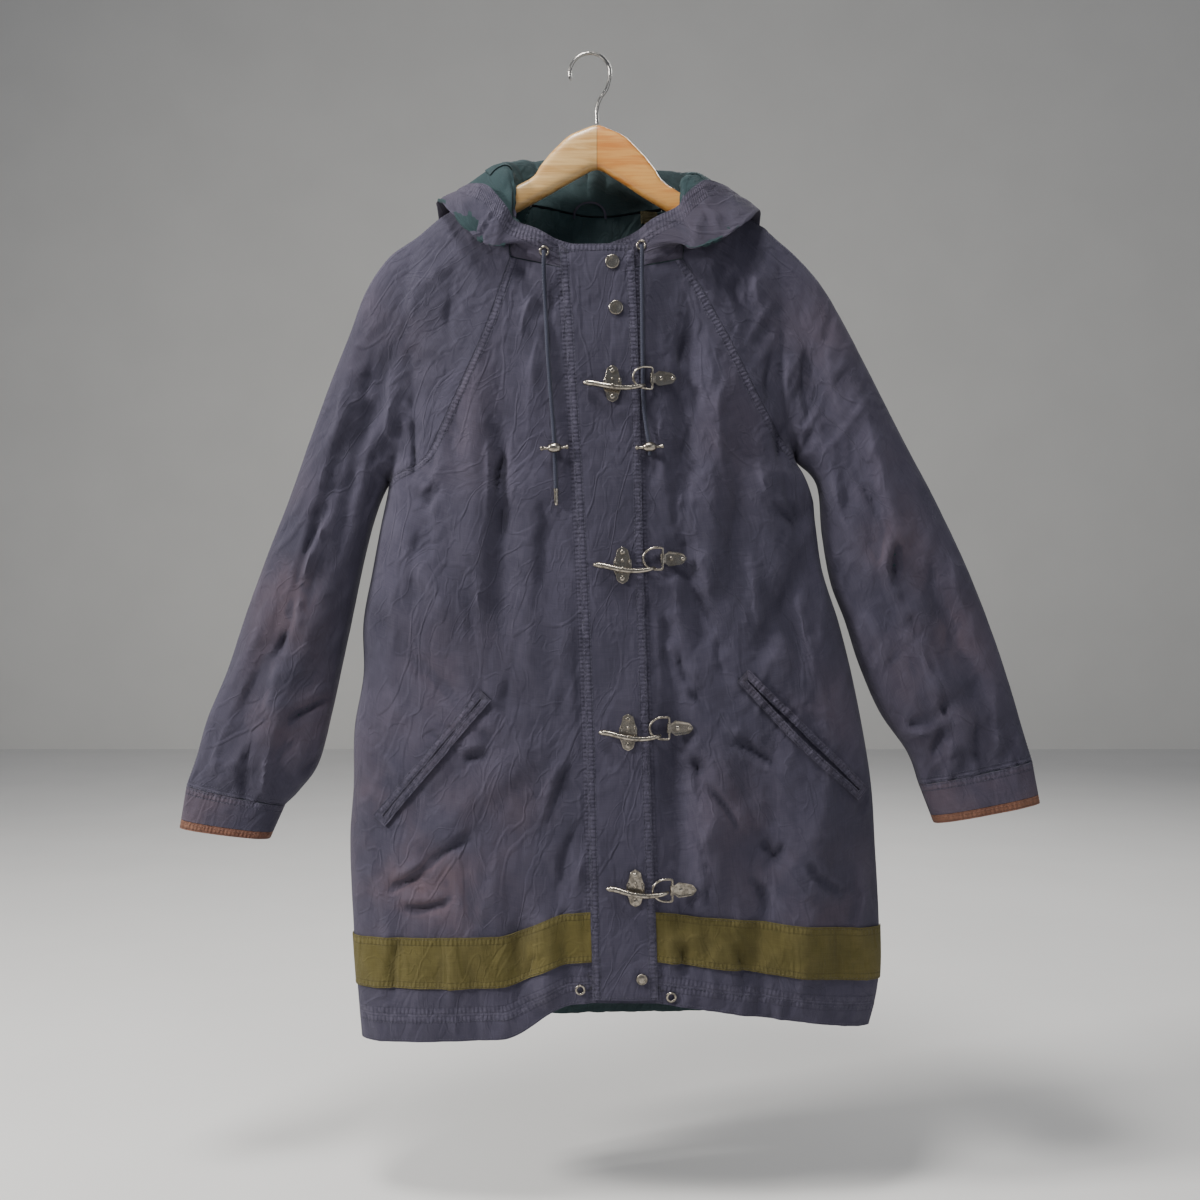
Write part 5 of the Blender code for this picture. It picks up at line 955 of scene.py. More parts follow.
def add_wall(name, points, normals, thickness, finish, lift=0.0, ring=False, marks=None):
    """Closed cloth wall on a grid: its outer face lies on the points, or its inner face lies
    lift over them.  Marks are arrays that its material reads."""
    rows, columns = points.shape[:2]
    top = lift + thickness if lift > 0.0 else lift
    outer = (points + normals * top).reshape(-1, 3)
    inner = (points + normals * (top - thickness)).reshape(-1, 3)
    count = rows * columns
    index = np.arange(count).reshape(rows, columns)
    if ring:
        index = np.vstack((index, index[:1]))
    a = index[:-1, :-1].ravel()
    b = index[:-1, 1:].ravel()
    c = index[1:, 1:].ravel()
    d = index[1:, :-1].ravel()
    outer_faces = np.stack((a, b, c, d), axis=1)
    inner_faces = np.stack((d, c, b, a), axis=1) + count
    if ring:
        loops = [index[:, 0][::-1], index[:, -1]]
    else:
        loops = [np.concatenate((index[0], index[1:, -1], index[-1, -2::-1], index[-2:0:-1, 0], index[0, :1]))]
    borders = [np.stack((loop[1:], loop[:-1], loop[:-1] + count, loop[1:] + count), axis=1) for loop in loops]
    faces = np.concatenate([outer_faces, inner_faces] + borders)
    middle = outer_faces[len(outer_faces) // 2]
    p = outer[middle]
    facing = np.cross(p[1] - p[0], p[2] - p[0])
    flat_normals = normals.reshape(-1, 3)
    if np.dot(facing, flat_normals[middle[0]]) < 0.0:
        faces = faces[:, ::-1]
    mesh = bpy.data.meshes.new(name)
    mesh.from_pydata(np.concatenate((outer, inner)).tolist(), [], faces.tolist())
    mesh.shade_smooth()
    mesh.set_sharp_from_angle(angle=math.radians(60.0))
    # flat coordinates in metres for the weave
    u, v = way(points, 1), way(points, 0)
    u -= u[:, columns // 2:columns // 2 + 1].copy()
    flat = np.stack((u, v), axis=-1).reshape(-1, 2)
    flat = np.concatenate((flat, flat))
    layer = mesh.uv_layers.new(name="cloth")
    corner = np.empty(len(mesh.loops), dtype=np.int32)
    mesh.loops.foreach_get("vertex_index", corner)
    layer.data.foreach_set("uv", flat[corner].ravel())
    data = {"ridge": ridges(points, normals), "edge": NO_SEAM, "run": v, "fade": 0.0, "inside": 0.0, **(marks or {})}
    for key, values in data.items():
        mark = mesh.attributes.new(name=key, type="FLOAT", domain="POINT")
        values = np.broadcast_to(np.asarray(values, float), (rows, columns)).ravel()
        both = np.concatenate((values, values + 1.0 if key == "inside" else values))
        mark.data.foreach_set("value", both.astype(np.float32))
    return link(name, mesh, finish)


def lay(node_name):
    """Hide the imported node of a cloth piece."""
    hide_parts(node_name)


def grid_line(points, normals, axis, end, distance):
    """Points and normals along a grid at a distance from one of its edges."""
    if axis == 0:
        points = points.transpose(1, 0, 2)
        normals = normals.transpose(1, 0, 2)
    if end:
        points = points[:, ::-1]
        normals = normals[:, ::-1]
    lengths = way(points, 1)
    line = []
    out = []
    for i in range(len(points)):
        j = int(np.clip(np.searchsorted(lengths[i], distance) - 1, 0, lengths.shape[1] - 2))
        span = max(lengths[i, j + 1] - lengths[i, j], 1e-9)
        t = (distance - lengths[i, j]) / span
        line.append(mix(points[i, j], points[i, j + 1], t))
        out.append(mix(normals[i, j], normals[i, j + 1], t))
    return np.array(line), np.array(out)


def stitch(kept, points, normals, axis, end, distances):
    """Keep lines to be stitched along an edge of a grid."""
    for distance in distances:
        kept.append(grid_line(points, normals, axis, end, distance))


def sew(lines, height):
    """Corners of the thread's stitches along lines of points and normals."""
    corners = []
    for points, normals in lines:
        lengths = way(points)
        count = int(lengths[-1] / STITCH_PITCH)
        if count < 1:
            continue
        starts = (np.arange(count) + 0.15) * STITCH_PITCH
        ends = starts + STITCH_LENGTH
        a = at_lengths(starts, lengths, points)
        b = at_lengths(ends, lengths, points)
        n = unit(at_lengths(starts, lengths, normals))
        along = b - a
        along /= np.maximum(np.linalg.norm(along, axis=-1, keepdims=True), 1e-9)
        side = np.cross(along, n) * STITCH_WIDTH / 2.0
        middle = (a + b) / 2.0
        up = n * height
        thick = n * STITCH_WIDTH * 0.7
        rings = []
        for base, rise in ((a + up, 0.35), (middle + up, 1.0), (b + up, 0.35)):
            rings.append(np.stack((base - side, base + thick * rise, base + side, base - thick * 0.4), axis=1))
        corners.append(np.concatenate(rings, axis=1))
    return np.concatenate(corners)


def tube_faces(count, sides, closed=False):
    """Faces between rings of points, with flat ends unless the last ring meets the first."""
    faces = []
    for i in range(count if closed else count - 1):
        after = (i + 1) % count
        for k in range(sides):
            beside = (k + 1) % sides
            faces.append((i * sides + k, i * sides + beside, after * sides + beside, after * sides + k))
    if not closed:
        faces += [tuple(range(sides))[::-1], tuple((count - 1) * sides + k for k in range(sides))]
    return faces


def add_thread(name, corners, finish):
    """One joined mesh of stitches."""
    count = len(corners)
    pattern = tube_faces(3, 4)
    faces = (np.array(pattern)[None] + (np.arange(count) * 12)[:, None, None]).reshape(-1, 4)
    mesh = bpy.data.meshes.new(name)
    mesh.from_pydata(corners.reshape(-1, 3).tolist(), [], faces.tolist())
    mesh.shade_smooth()
    return link(name, mesh, finish)


# ---------------------------------------------------------------- materials
def new_material(name, roughness, metallic=0.0, sheen=0.0):
    """Empty principled material and its parts."""
    made = bpy.data.materials.new(name)
    made.use_nodes = True
    tree = made.node_tree
    shader = tree.nodes["Principled BSDF"]
    shader.inputs["Roughness"].default_value = roughness
    shader.inputs["Metallic"].default_value = metallic
    shader.inputs["Sheen Weight"].default_value = sheen
    shader.inputs["Sheen Roughness"].default_value = 0.5
    return made, tree, shader


def math_node(tree, operation, a, b=None, clamp=False):
    """Math node on sockets or numbers."""
    made = tree.nodes.new("ShaderNodeMath")
    made.operation = operation
    made.use_clamp = clamp
    for socket, value in zip(made.inputs, (a, b)):
        if value is None:
            continue
        if isinstance(value, (int, float)):
            socket.default_value = value
        else:
            tree.links.new(value, socket)
    return made.outputs[0]


def products(tree):
    """Functions that multiply and that add sockets or numbers in a material."""
    return functools.partial(math_node, tree, "MULTIPLY"), functools.partial(math_node, tree, "ADD")


def placed(tree, *values):
    """Vector with a socket's value on each axis that is given."""
    made = tree.nodes.new("ShaderNodeCombineXYZ")
    for value, socket in zip(values, made.inputs):
        tree.links.new(value, socket)
    return made.outputs[0]


def add_bump(tree, shader, height, strength, distance):
    """Relief on a shader from a height."""
    bump = tree.nodes.new("ShaderNodeBump")
    bump.inputs["Strength"].default_value = strength
    bump.inputs["Distance"].default_value = distance
    tree.links.new(height, bump.inputs["Height"])
    tree.links.new(bump.outputs[0], shader.inputs["Normal"])


def groove_value(tree, edge, at):
    """1 along a line at a distance from a seam and 0 away from it."""
    inner = ramp_value(tree, edge, at - GROOVE_HALF, at - 0.0002)
    outer = ramp_value(tree, edge, at + GROOVE_HALF, at + 0.0002)
    return math_node(tree, "MULTIPLY", inner, outer)


def mark_value(tree, name):
    """Value of a mark on the mesh."""
    made = tree.nodes.new("ShaderNodeAttribute")
    made.attribute_name = name
    return made.outputs["Fac"]


def noise_value(tree, scale, detail, roughness=0.5, vector=None, distortion=0.0):
    """Noise from about 0 to 1, in metres."""
    made = tree.nodes.new("ShaderNodeTexNoise")
    made.inputs["Scale"].default_value = scale
    made.inputs["Detail"].default_value = detail
    made.inputs["Roughness"].default_value = roughness
    made.inputs["Distortion"].default_value = distortion
    if vector is None:
        vector = tree.nodes.new("ShaderNodeTexCoord").outputs["Object"]
    tree.links.new(vector, made.inputs["Vector"])
    return made.outputs["Fac"]


def ramp_value(tree, value, low, high):
    """Value stretched so that low gives 0 and high gives 1, smoothly."""
    made = tree.nodes.new("ShaderNodeMapRange")
    made.interpolation_type = "SMOOTHSTEP"
    made.inputs["From Min"].default_value = low
    made.inputs["From Max"].default_value = high
    tree.links.new(value, made.inputs["Value"])
    return made.outputs["Result"]


def blend(tree, factor, a, b):
    """Colour between a and b."""
    made = tree.nodes.new("ShaderNodeMix")
    made.data_type = "RGBA"
    made.clamp_factor = True
    if isinstance(factor, (int, float)):
        made.inputs[0].default_value = factor
    else:
        tree.links.new(factor, made.inputs[0])
    for socket, value in ((made.inputs[6], a), (made.inputs[7], b)):
        if isinstance(value, tuple):
            socket.default_value = value + (1.0,)
        else:
            tree.links.new(value, socket)
    return made.outputs[2]


def cloth_material(name, base, dark, light, fade, thread_pitch=0.0008, inner=None, seam_wear=0.6, roughness=0.92):
    """Woven cotton: cloudy fading, slubs, worn ridges and seams, painted shade in the crease hollows and along the
    seam grooves, a fine weave and puckers.
    """
    made, tree, shader = new_material(name, roughness, sheen=0.03)
    times, plus = products(tree)
    uv = tree.nodes.new("ShaderNodeUVMap")
    uv.uv_map = "cloth"
    parts = tree.nodes.new("ShaderNodeSeparateXYZ")
    tree.links.new(uv.outputs[0], parts.inputs[0])
    u, v = parts.outputs[0], parts.outputs[1]
    ridge, edge, run = (mark_value(tree, mark) for mark in ("ridge", "edge", "run"))
    # colour
    cloud = ramp_value(tree, noise_value(tree, 7.0, 4.0, 0.55), 0.34, 0.68)
    colour = blend(tree, cloud, dark, base)
    patch = ramp_value(tree, noise_value(tree, 22.0, 5.0, 0.6, distortion=0.4), 0.45, 0.75)
    colour = blend(tree, times(patch, 0.16), colour, light)
    faded_place = mark_value(tree, "fade")
    faded = times(faded_place, ramp_value(tree, noise_value(tree, 11.0, 4.0), 0.30, 0.65))
    colour = blend(tree, faded, colour, fade)
    worn = ramp_value(tree, ridge, 0.15, 1.40)
    # painted shade: the cloth is darkened where it lies lower than its surroundings, in the hollows of creases
    painted_crease_shade = ramp_value(tree, ridge, -0.15, -1.3)
    colour = blend(tree, times(worn, 0.20), colour, light)
    colour = blend(tree, times(painted_crease_shade, 0.60), colour, dark)
    rub = ramp_value(tree, edge, 0.010, 0.0)
    rub = times(rub, ramp_value(tree, noise_value(tree, 190.0, 3.0), 0.38, 0.62))
    colour = blend(tree, times(rub, seam_wear), colour, light)
    yarns = []
    for along_u, along_v in ((900.0, 35.0), (35.0, 900.0)):
        place = placed(tree, times(u, along_u), times(v, along_v))
        yarns.append(noise_value(tree, 1.0, 2.0, 0.6, place))
    yarn = plus(*yarns)
    colour = blend(tree, times(ramp_value(tree, yarn, 0.85, 1.35), 0.20), colour, light)
    colour = blend(tree, times(ramp_value(tree, yarn, 1.05, 0.70), 0.25), colour, dark)
    # painted shade: the sunken lines beside each seam are darkened
    for at in CLOTH_GROOVES:
        colour = blend(tree, times(groove_value(tree, edge, at), 0.55), colour, dark)
    if inner:
        colour = blend(tree, mark_value(tree, "inside"), colour, inner)
    tree.links.new(colour, shader.inputs["Base Color"])
    # weave, yarn and puckers
    turn = 2.0 * math.pi / thread_pitch
    across_weave, down_weave = (math_node(tree, "SINE", times(way_along, turn)) for way_along in (u, v))
    height = times(times(across_weave, down_weave), 0.00008)
    height = plus(height, times(yarn, 0.00012))
    # crinkles: thin sharp lines between tilted fields, long down the cloth
    for across, down, seed, line_height, field_height in (
        (21.0, 8.0, 3.0, 0.00075, 0.0011), (33.0, 19.0, 17.0, 0.00045, 0.0006), (9.0, 5.0, 29.0, 0.0008, 0.0016)
    ):
        slant = plus(times(u, across), times(v, across * 0.22))
        place = placed(tree, plus(slant, seed), times(v, down))
        field = noise_value(tree, 1.0, 2.0, 0.45, place, 0.9)
        offset = math_node(tree, "ABSOLUTE", math_node(tree, "SUBTRACT", field, 0.5))
        height = plus(height, times(ramp_value(tree, offset, 0.045, 0.0), line_height))
        height = plus(height, times(offset, field_height * 4.0))
    groove = 0.0
    for at in CLOTH_GROOVES:
        groove = plus(groove_value(tree, edge, at), groove)
    height = math_node(tree, "SUBTRACT", height, times(groove, 0.00030))
    height = plus(height, times(noise_value(tree, 160.0, 3.0, 0.6), 0.00035))
    beside = times(ramp_value(tree, edge, 0.0, 0.0025), ramp_value(tree, edge, 0.0105, 0.006))
    wave = math_node(tree, "SINE", times(run, 2.0 * math.pi / 0.0046))
    wave = plus(wave, times(noise_value(tree, 240.0, 2.0), 1.6))
    height = plus(height, times(times(wave, beside), 0.00032))
    add_bump(tree, shader, height, 0.9, 1.0)
    return made


def metal_material(name, bright, dark, tarnish, roughness):
    """Antique plated metal: worn bright faces, dark crevices, cloudy tarnish, fine scratches."""
    made, tree, shader = new_material(name, roughness, metallic=1.0)
    times, plus = products(tree)
    cloud = ramp_value(tree, noise_value(tree, 160.0, 5.0, 0.65), 0.35, 0.70)
    colour = blend(tree, times(cloud, tarnish), bright, dark)
    geometry = tree.nodes.new("ShaderNodeNewGeometry")
    hollow = ramp_value(tree, geometry.outputs["Pointiness"], 0.50, 0.43)
    colour = blend(tree, times(hollow, 0.85), colour, CREVICE_COLOUR)
    tree.links.new(colour, shader.inputs["Base Color"])
    tree.links.new(plus(times(cloud, 0.22), roughness), shader.inputs["Roughness"])
    add_bump(tree, shader, noise_value(tree, 900.0, 4.0, 0.7), 0.35, 0.0003)
    return made


def wood_material(name, light, dark, centre):
    """Varnished wood with grain along X, and painted shade making the half beyond its centre joint darker and warmer.
    """
    made, tree, shader = new_material(name, 0.36)
    times, _ = products(tree)
    shader.inputs["Coat Weight"].default_value = 0.35
    shader.inputs["Coat Roughness"].default_value = 0.25
    place = tree.nodes.new("ShaderNodeTexCoord").outputs["Object"]
    parts = tree.nodes.new("ShaderNodeSeparateXYZ")
    tree.links.new(place, parts.inputs[0])
    stretched = placed(tree, *(times(part, scale) for part, scale in zip(parts.outputs, (9.0, 90.0, 150.0))))
    grain = noise_value(tree, 1.0, 5.0, 0.6, stretched, 0.6)
    # painted shade: the half beyond the centre joint is darker and warmer, as if it faced away from the light
    side = ramp_value(tree, parts.outputs[0], centre - 0.0004, centre + 0.0004)
    pale = blend(tree, side, light, (light[0] * 0.92, light[1] * 0.72, light[2] * 0.45))
    deep = blend(tree, side, dark, (dark[0] * 1.05, dark[1] * 0.70, dark[2] * 0.45))
    colour = blend(tree, ramp_value(tree, grain, 0.36, 0.66), pale, deep)
    joint = math_node(tree, "ABSOLUTE", math_node(tree, "SUBTRACT", parts.outputs[0], centre))
    colour = blend(tree, times(ramp_value(tree, joint, 0.0007, 0.0002), 0.6), colour, JOINT_COLOUR)
    tree.links.new(colour, shader.inputs["Base Color"])
    add_bump(tree, shader, grain, 0.25, 0.0004)
    return made


def cord_material(name, base, light):
    """Round braided cord, or thread."""
    made, tree, shader = new_material(name, 0.85, sheen=0.1)
    speck = noise_value(tree, 1400.0, 3.0, 0.6)
    colour = blend(tree, ramp_value(tree, speck, 0.35, 0.75), base, light)
    tree.links.new(colour, shader.inputs["Base Color"])
    braid = tree.nodes.new("ShaderNodeTexWave")
    braid.wave_type = "BANDS"
    braid.bands_direction = "DIAGONAL"
    braid.inputs["Scale"].default_value = 260.0
    braid.inputs["Distortion"].default_value = 1.5
    tree.links.new(tree.nodes.new("ShaderNodeTexCoord").outputs["Object"], braid.inputs["Vector"])
    add_bump(tree, shader, braid.outputs["Fac"], 0.6, 0.0005)
    return made


# ---------------------------------------------------------------- lines on the front
RAGLAN_LINES = {side: seam_path(side, 0, UNDERARM_ROW, 24) for side in ("left", "right")}
HEM_LINES = {side: hem_path(side, HEM_STITCH_ROW, 40) for side in ("left", "right")}


def height_finder(path):
    """Function that gives a line's height at an x."""
    ordered = np.array(sorted(path))
    return lambda x: np.interp(x, ordered[:, 0], ordered[:, 1])


HEM_STITCH_Z = {side: height_finder(path) for side, path in HEM_LINES.items()}


CLOTH_NAVY = cloth_material(
    "navy_canvas", (0.047, 0.042, 0.070), (0.030, 0.027, 0.048), (0.088, 0.079, 0.116), (0.110, 0.072, 0.088),
    inner=(0.012, 0.034, 0.038),
)
CLOTH_OLIVE = cloth_material(
    "olive_canvas", (0.096, 0.078, 0.014), (0.060, 0.048, 0.009), (0.145, 0.120, 0.040), (0.125, 0.098, 0.028),
    inner=(0.060, 0.050, 0.020), seam_wear=0.35,
)
CLOTH_LINING = cloth_material(
    "teal_lining", (0.012, 0.036, 0.040), (0.006, 0.020, 0.024), (0.030, 0.065, 0.070), (0.02, 0.05, 0.05),
    thread_pitch=0.0006, seam_wear=0.1, roughness=0.8,
)
CLOTH_BINDING = cloth_material(
    "brown_binding", (0.160, 0.058, 0.028), (0.090, 0.030, 0.018), (0.300, 0.140, 0.080), (0.2, 0.1, 0.06),
    thread_pitch=0.0012, seam_wear=0.3, roughness=0.8,
)
METAL = metal_material("antique_nickel", (0.48, 0.43, 0.36), (0.10, 0.088, 0.072), 0.85, 0.17)
STEEL = metal_material("hook_nickel", (0.46, 0.44, 0.41), (0.20, 0.19, 0.17), 0.45, 0.14)
WOOD = wood_material("honey_wood", (0.72, 0.47, 0.20), (0.50, 0.27, 0.085), 0.008)
CORD_NAVY = cord_material("navy_cord", (0.012, 0.014, 0.030), (0.040, 0.044, 0.075))
THREAD_NAVY = cord_material("navy_thread", (0.030, 0.028, 0.050), (0.075, 0.070, 0.110))
THREAD_OLIVE = cord_material("olive_thread", (0.060, 0.045, 0.012), (0.130, 0.105, 0.040))
THREAD_BROWN = cord_material("brown_thread", (0.080, 0.028, 0.014), (0.160, 0.070, 0.040))
NAVY_SEWN = []
OLIVE_SEWN = []
BROWN_SEWN = []


# ---------------------------------------------------------------- coat
def faded(rows, x, z):
    """Sum of the soft faded places of a table."""
    return sum(amount * np.exp(-(((x - cx) / rx) ** 2 + ((z - cz) / rz) ** 2)) for cx, cz, rx, rz, amount in rows)


def band_edge(rows, x):
    """Distance from places on a band to its upper or lower edge."""
    return np.minimum(np.abs(rows - BAND_TOP_ROW), np.abs(BAND_LOW_ROW - rows))[:, None] * BAND_WIDTH + 0.0 * x


def front_marks(x, z, side):
    """Marks of a front: distance to its seams, way along them, and where it is faded."""
    edge = np.full(x.shape, NO_SEAM)
    run = np.zeros(x.shape)
    for path in (RAGLAN_LINES[side], HEM_LINES[side]):
        away, place = nearest(path, x, z)
        run = np.where(away < edge, place, run)
        edge = np.minimum(edge, away)
    away = np.abs(x - placket_edge(z, 1 if side == "left" else 2)) + 0.004
    run = np.where(away < edge, z, run)
    edge = np.minimum(edge, away)
    return {"edge": edge, "run": run, "fade": np.clip(faded(FADED_FRONT, x, z), 0.0, 1.0)}


def front_grid(side, t, s):
    """Points, normals and places of part of a front."""
    tt, ss = np.meshgrid(t, s, indexing="ij")
    x, z = front_places(tt, ss, side)
    points, normals = on_surface(front_y, x, z, -1.0)
    return points, normals, x, z


def row_places(first, last, spacing, lengths):
    """Fractional row numbers about a spacing apart down the coat."""
    places = [float(first)]
    for i in range(first, last):
        count = max(1, int(round(lengths[i] / spacing)))
        places += [i + k / count for k in range(1, count + 1)]
    return np.array(places)


def make_fronts():
    """Both fronts and the bands on them."""
    heights = [abs(after[2] - before[2]) for before, after in zip(FRONT_ROWS, FRONT_ROWS[1:])]
    t = row_places(0, len(FRONT_ROWS) - 1, FINE, heights)
    t = np.unique(np.concatenate((t, len(FRONT_ROWS) - 1.0 - np.array((0.03, 0.07, 0.12, 0.2)))))
    upper = t <= UNDERARM_ROW
    close = np.array((0.02, 0.05))
    band = row_places(BAND_TOP_ROW, BAND_LOW_ROW, 0.0028, {BAND_TOP_ROW: 0.050})
    band = np.unique(np.concatenate((band, BAND_TOP_ROW + close, BAND_LOW_ROW - close)))
    visible = steps_between(FRONT_WIDTH, EDGE_OFFSETS, FINE)
    s = np.concatenate((visible, (1.5, 2.0)))
    last = len(visible) - 1
    for side in ("left", "right"):
        points, normals, x, z = front_grid(side, t, s)
        marks = front_marks(x, z, side)
        piece = add_wall(f"cloth_front_{side}", points, normals, CLOTH, CLOTH_NAVY, marks=marks)
        lay(f"front_{side}")
        stitch(NAVY_SEWN, points[upper, :last], normals[upper, :last], 1, False, SEAM_STITCHES)
        stitch(NAVY_SEWN, points[:, :last], normals[:, :last], 0, True, HEM_STITCHES)
        points, normals, x, z = front_grid(side, band, visible * (1.0 - 0.001))
        fade = 0.5 * np.clip(noise(x / 0.05, z / 0.03, 71), 0.0, 1.0)
        piece = add_wall(
            f"cloth_band_{side}", points, normals, TRIM, CLOTH_OLIVE, LIFT,
            marks={"edge": band_edge(band, x), "run": x, "fade": fade},
        )
        lay(f"band_{side}")
        for end in (False, True):
            stitch(OLIVE_SEWN, points + normals * (TRIM + LIFT), normals, 0, end, (BAND_STITCH,))


def make_placket():
    """Storm fly with its stitched strips."""
    rounded = np.linspace(PLACKET_TOP, PLACKET_TOP - 0.012, 9)
    z = np.concatenate((rounded, np.linspace(PLACKET_TOP - 0.0145, PLACKET_FOOT, 330)))
    s = steps_between(PLACKET_WIDTH, PLACKET_OFFSETS, 0.0030)
    zz, ss = np.meshgrid(z, s, indexing="ij")
    left = placket_edge(zz, 1)
    right = placket_edge(zz, 2)
    drop = np.clip((zz - (PLACKET_TOP - PLACKET_CORNER)) / PLACKET_CORNER, 0.0, 1.0)
    right = right - PLACKET_CORNER * (1.0 - np.sqrt(np.maximum(0.0, 1.0 - drop ** 2)))
    x = mix(left, right, ss)
    points, normals = on_surface(front_y, x, zz, -1.0)
    away_side = np.minimum(x - left, right - x)
    away_top = PLACKET_TOP - zz
    edge = np.minimum(away_side, away_top)
    lift = 0.0005 * ease((edge - 0.0002) / 0.0015) - 0.0004 * np.exp(-((edge - 0.0088) / 0.0009) ** 2)
    lift -= 0.0003 * np.exp(-((edge - 0.0018) / 0.0007) ** 2)
    raised = points + normals * lift[..., None]
    piece = add_wall(
        "cloth_placket", raised, normals, CLOTH, CLOTH_NAVY, LIFT,
        marks={"edge": edge, "run": np.where(away_top < away_side, x, zz)},
    )
    lay("placket")
    outer = raised + normals * (LIFT + CLOTH)
    for axis, end, distances in (
        (1, False, (0.0018, 0.0088)), (1, True, (0.0018, 0.0088)), (0, False, (0.0018, 0.0088)), (0, True, (0.0030,))
    ):
        stitch(NAVY_SEWN, outer, normals, axis, end, distances)


def back_grid(t, s):
    """Points and normals of part of the back; s runs from its left edge to its right edge."""
    tt, ss = np.meshgrid(t, s, indexing="ij")
    left_x, left_z, middle_z, right_x, right_z = (look(KEYED_BACK, tt, c + 1) for c in range(5))
    below = tt > UNDERARM_ROW
    left_x = np.where(below, np.maximum(left_x, look(TORSO, left_z, 1)), left_x)
    right_x = np.where(below, np.minimum(right_x, look(TORSO, right_z, 2)), right_x)
    half = 1.0 - np.abs(2.0 * ss - 1.0)
    middle_x = (left_x + right_x) / 2.0
    x = np.where(ss < 0.5, mix(left_x + SEAM / 2.0, middle_x, half), mix(right_x - SEAM / 2.0, middle_x, half))
    z = np.where(ss < 0.5, mix(left_z, middle_z, ease(half)), mix(right_z, middle_z, ease(half)))
    points, normals = on_surface(back_y, x, z, 1.0)
    return points, normals, x, z


def make_back():
    """Back, its band, the neck facing and the lining inside its hem."""
    heights = [abs(after[3] - before[3]) for before, after in zip(KEYED_BACK, KEYED_BACK[1:])]
    t = row_places(0, len(heights), BACK_FINE, heights)
    s = steps_between(BACK_WIDTH, BACK_OFFSETS, BACK_FINE)
    points, normals, x, z = back_grid(t, s)
    marks = {"edge": np.minimum(x - x[:, :1], x[:, -1:] - x), "fade": faded(FADED_BACK, x, z)}
    piece = add_wall("cloth_back", points, normals, CLOTH, CLOTH_NAVY, marks=marks)
    lay("back")
    upper = t <= UNDERARM_ROW
    for end in (False, True):
        stitch(NAVY_SEWN, points[upper], normals[upper], 1, end, SEAM_STITCHES)
    stitch(NAVY_SEWN, points, normals, 0, True, HEM_STITCHES)
    band = np.linspace(BAND_TOP_ROW, BAND_LOW_ROW, 20)
    points, normals, x, z = back_grid(band, s)
    piece = add_wall(
        "cloth_band_back", points, normals, TRIM, CLOTH_OLIVE, LIFT,
        marks={"edge": band_edge(band, x), "run": x},
    )
    lay("band_back")
    for end in (False, True):
        stitch(OLIVE_SEWN, points + normals * (TRIM + LIFT), normals, 0, end, (BAND_STITCH,))
    for name, first, last, count, side, flat in (
        ("neck_facing", 0.0, FACING_DEPTH_ROWS, 34, 0.02, FACING_FLAT),
        ("hem_lining", HEM_STITCH_ROW, HEM_STITCH_ROW + 1, 12, 0.06, HEM_LINING_FLAT),
    ):
        inner = s[(s > side) & (s < 1.0 - side)]
        points, normals, x, z = back_grid(np.linspace(first, last, count), inner)
        piece = add_wall(f"cloth_{name}", points, normals, LINING, CLOTH_LINING, -CLOTH - LIFT)
        lay(name)


def make_sleeves():
    """Sleeves in two halves, their cuffs and the bindings."""
    total = CUFF_LENGTH + BINDING
    along = np.unique(np.concatenate((np.linspace(0.0, 1.0, 190), 1.0 - np.array((0.001, 0.003, 0.006)))))
    across = steps_between(0.20, (0.0, 0.001, 0.003, 0.006), BACK_FINE)
    aa, cc = np.meshgrid(along, across, indexing="ij")
    edge = np.minimum(np.minimum(cc * 0.10, (1.0 - aa) * SLEEVE_LENGTH), NO_SEAM)
    step = (1.0 - np.cos(math.pi * np.linspace(0.0, 1.0, 56))) / 2.0
    ends = (
        ("cuff", SEAM, CUFF_LENGTH - SEAM / 2.0, 15, CLOTH_NAVY, "cloth", NAVY_SEWN, (0.0020, 0.0075)),
        ("binding", CUFF_LENGTH + SEAM / 2.0, total, 7, CLOTH_BINDING, "binding", BROWN_SEWN, (0.0030, 0.0070)),
    )
    for side, table, end in (("left", SLEEVE_LEFT, CUFF_LEFT_END), ("right", SLEEVE_RIGHT, CUFF_RIGHT_END)):
        for half in ("front", "back"):
            back = half == "back"
            where = f"{side}_{half}"
            facing = -FRONTWARD if back else FRONTWARD
            points = sleeve_points(table, aa, cc, back)
            normals = grid_normals(points, facing)
            piece = add_wall(
                f"cloth_sleeve_{where}", points, normals, CLOTH, CLOTH_NAVY,
                marks={
                    "edge": edge, "run": aa * SLEEVE_LENGTH,
                    "fade": faded(FADED_SLEEVES, points[..., 0], points[..., 2]),
                },
            )
            lay(f"sleeve_{where}")
            stitch(NAVY_SEWN, points, normals, 0, True, SLEEVE_STITCHES)
            stitch(NAVY_SEWN, points, normals, 1, False, (0.0018,))
            for name, first, last, rows, finish, slot_name, kept, distances in ends:
                first, last = first / total, last / total
                dd, pp = np.meshgrid(np.linspace(first, last, rows), step, indexing="ij")
                points = cuff_points(table, end, dd, pp, back, 80 + 3 * back + (side == "left"))
                if name == "binding":
                    points[..., 1] += 0.0004 * np.sin(pp * 260.0) * np.sin((dd - first) / (last - first) * math.pi)
                normals = grid_normals(points, facing)
                edge_line = unit(points[:, :1] - points[:, -1:])
                normals[:, :1] = edge_line
                normals[:, -1:] = -edge_line
                piece = add_wall(
                    f"cloth_{name}_{where}", points, normals, CLOTH, finish,
                    marks={"edge": np.abs(dd - first) * total, "run": pp * 0.11, "fade": 0.5},
                )
                lay(f"{name}_{where}")
                stitch(kept, points, normals, 0, False, distances)


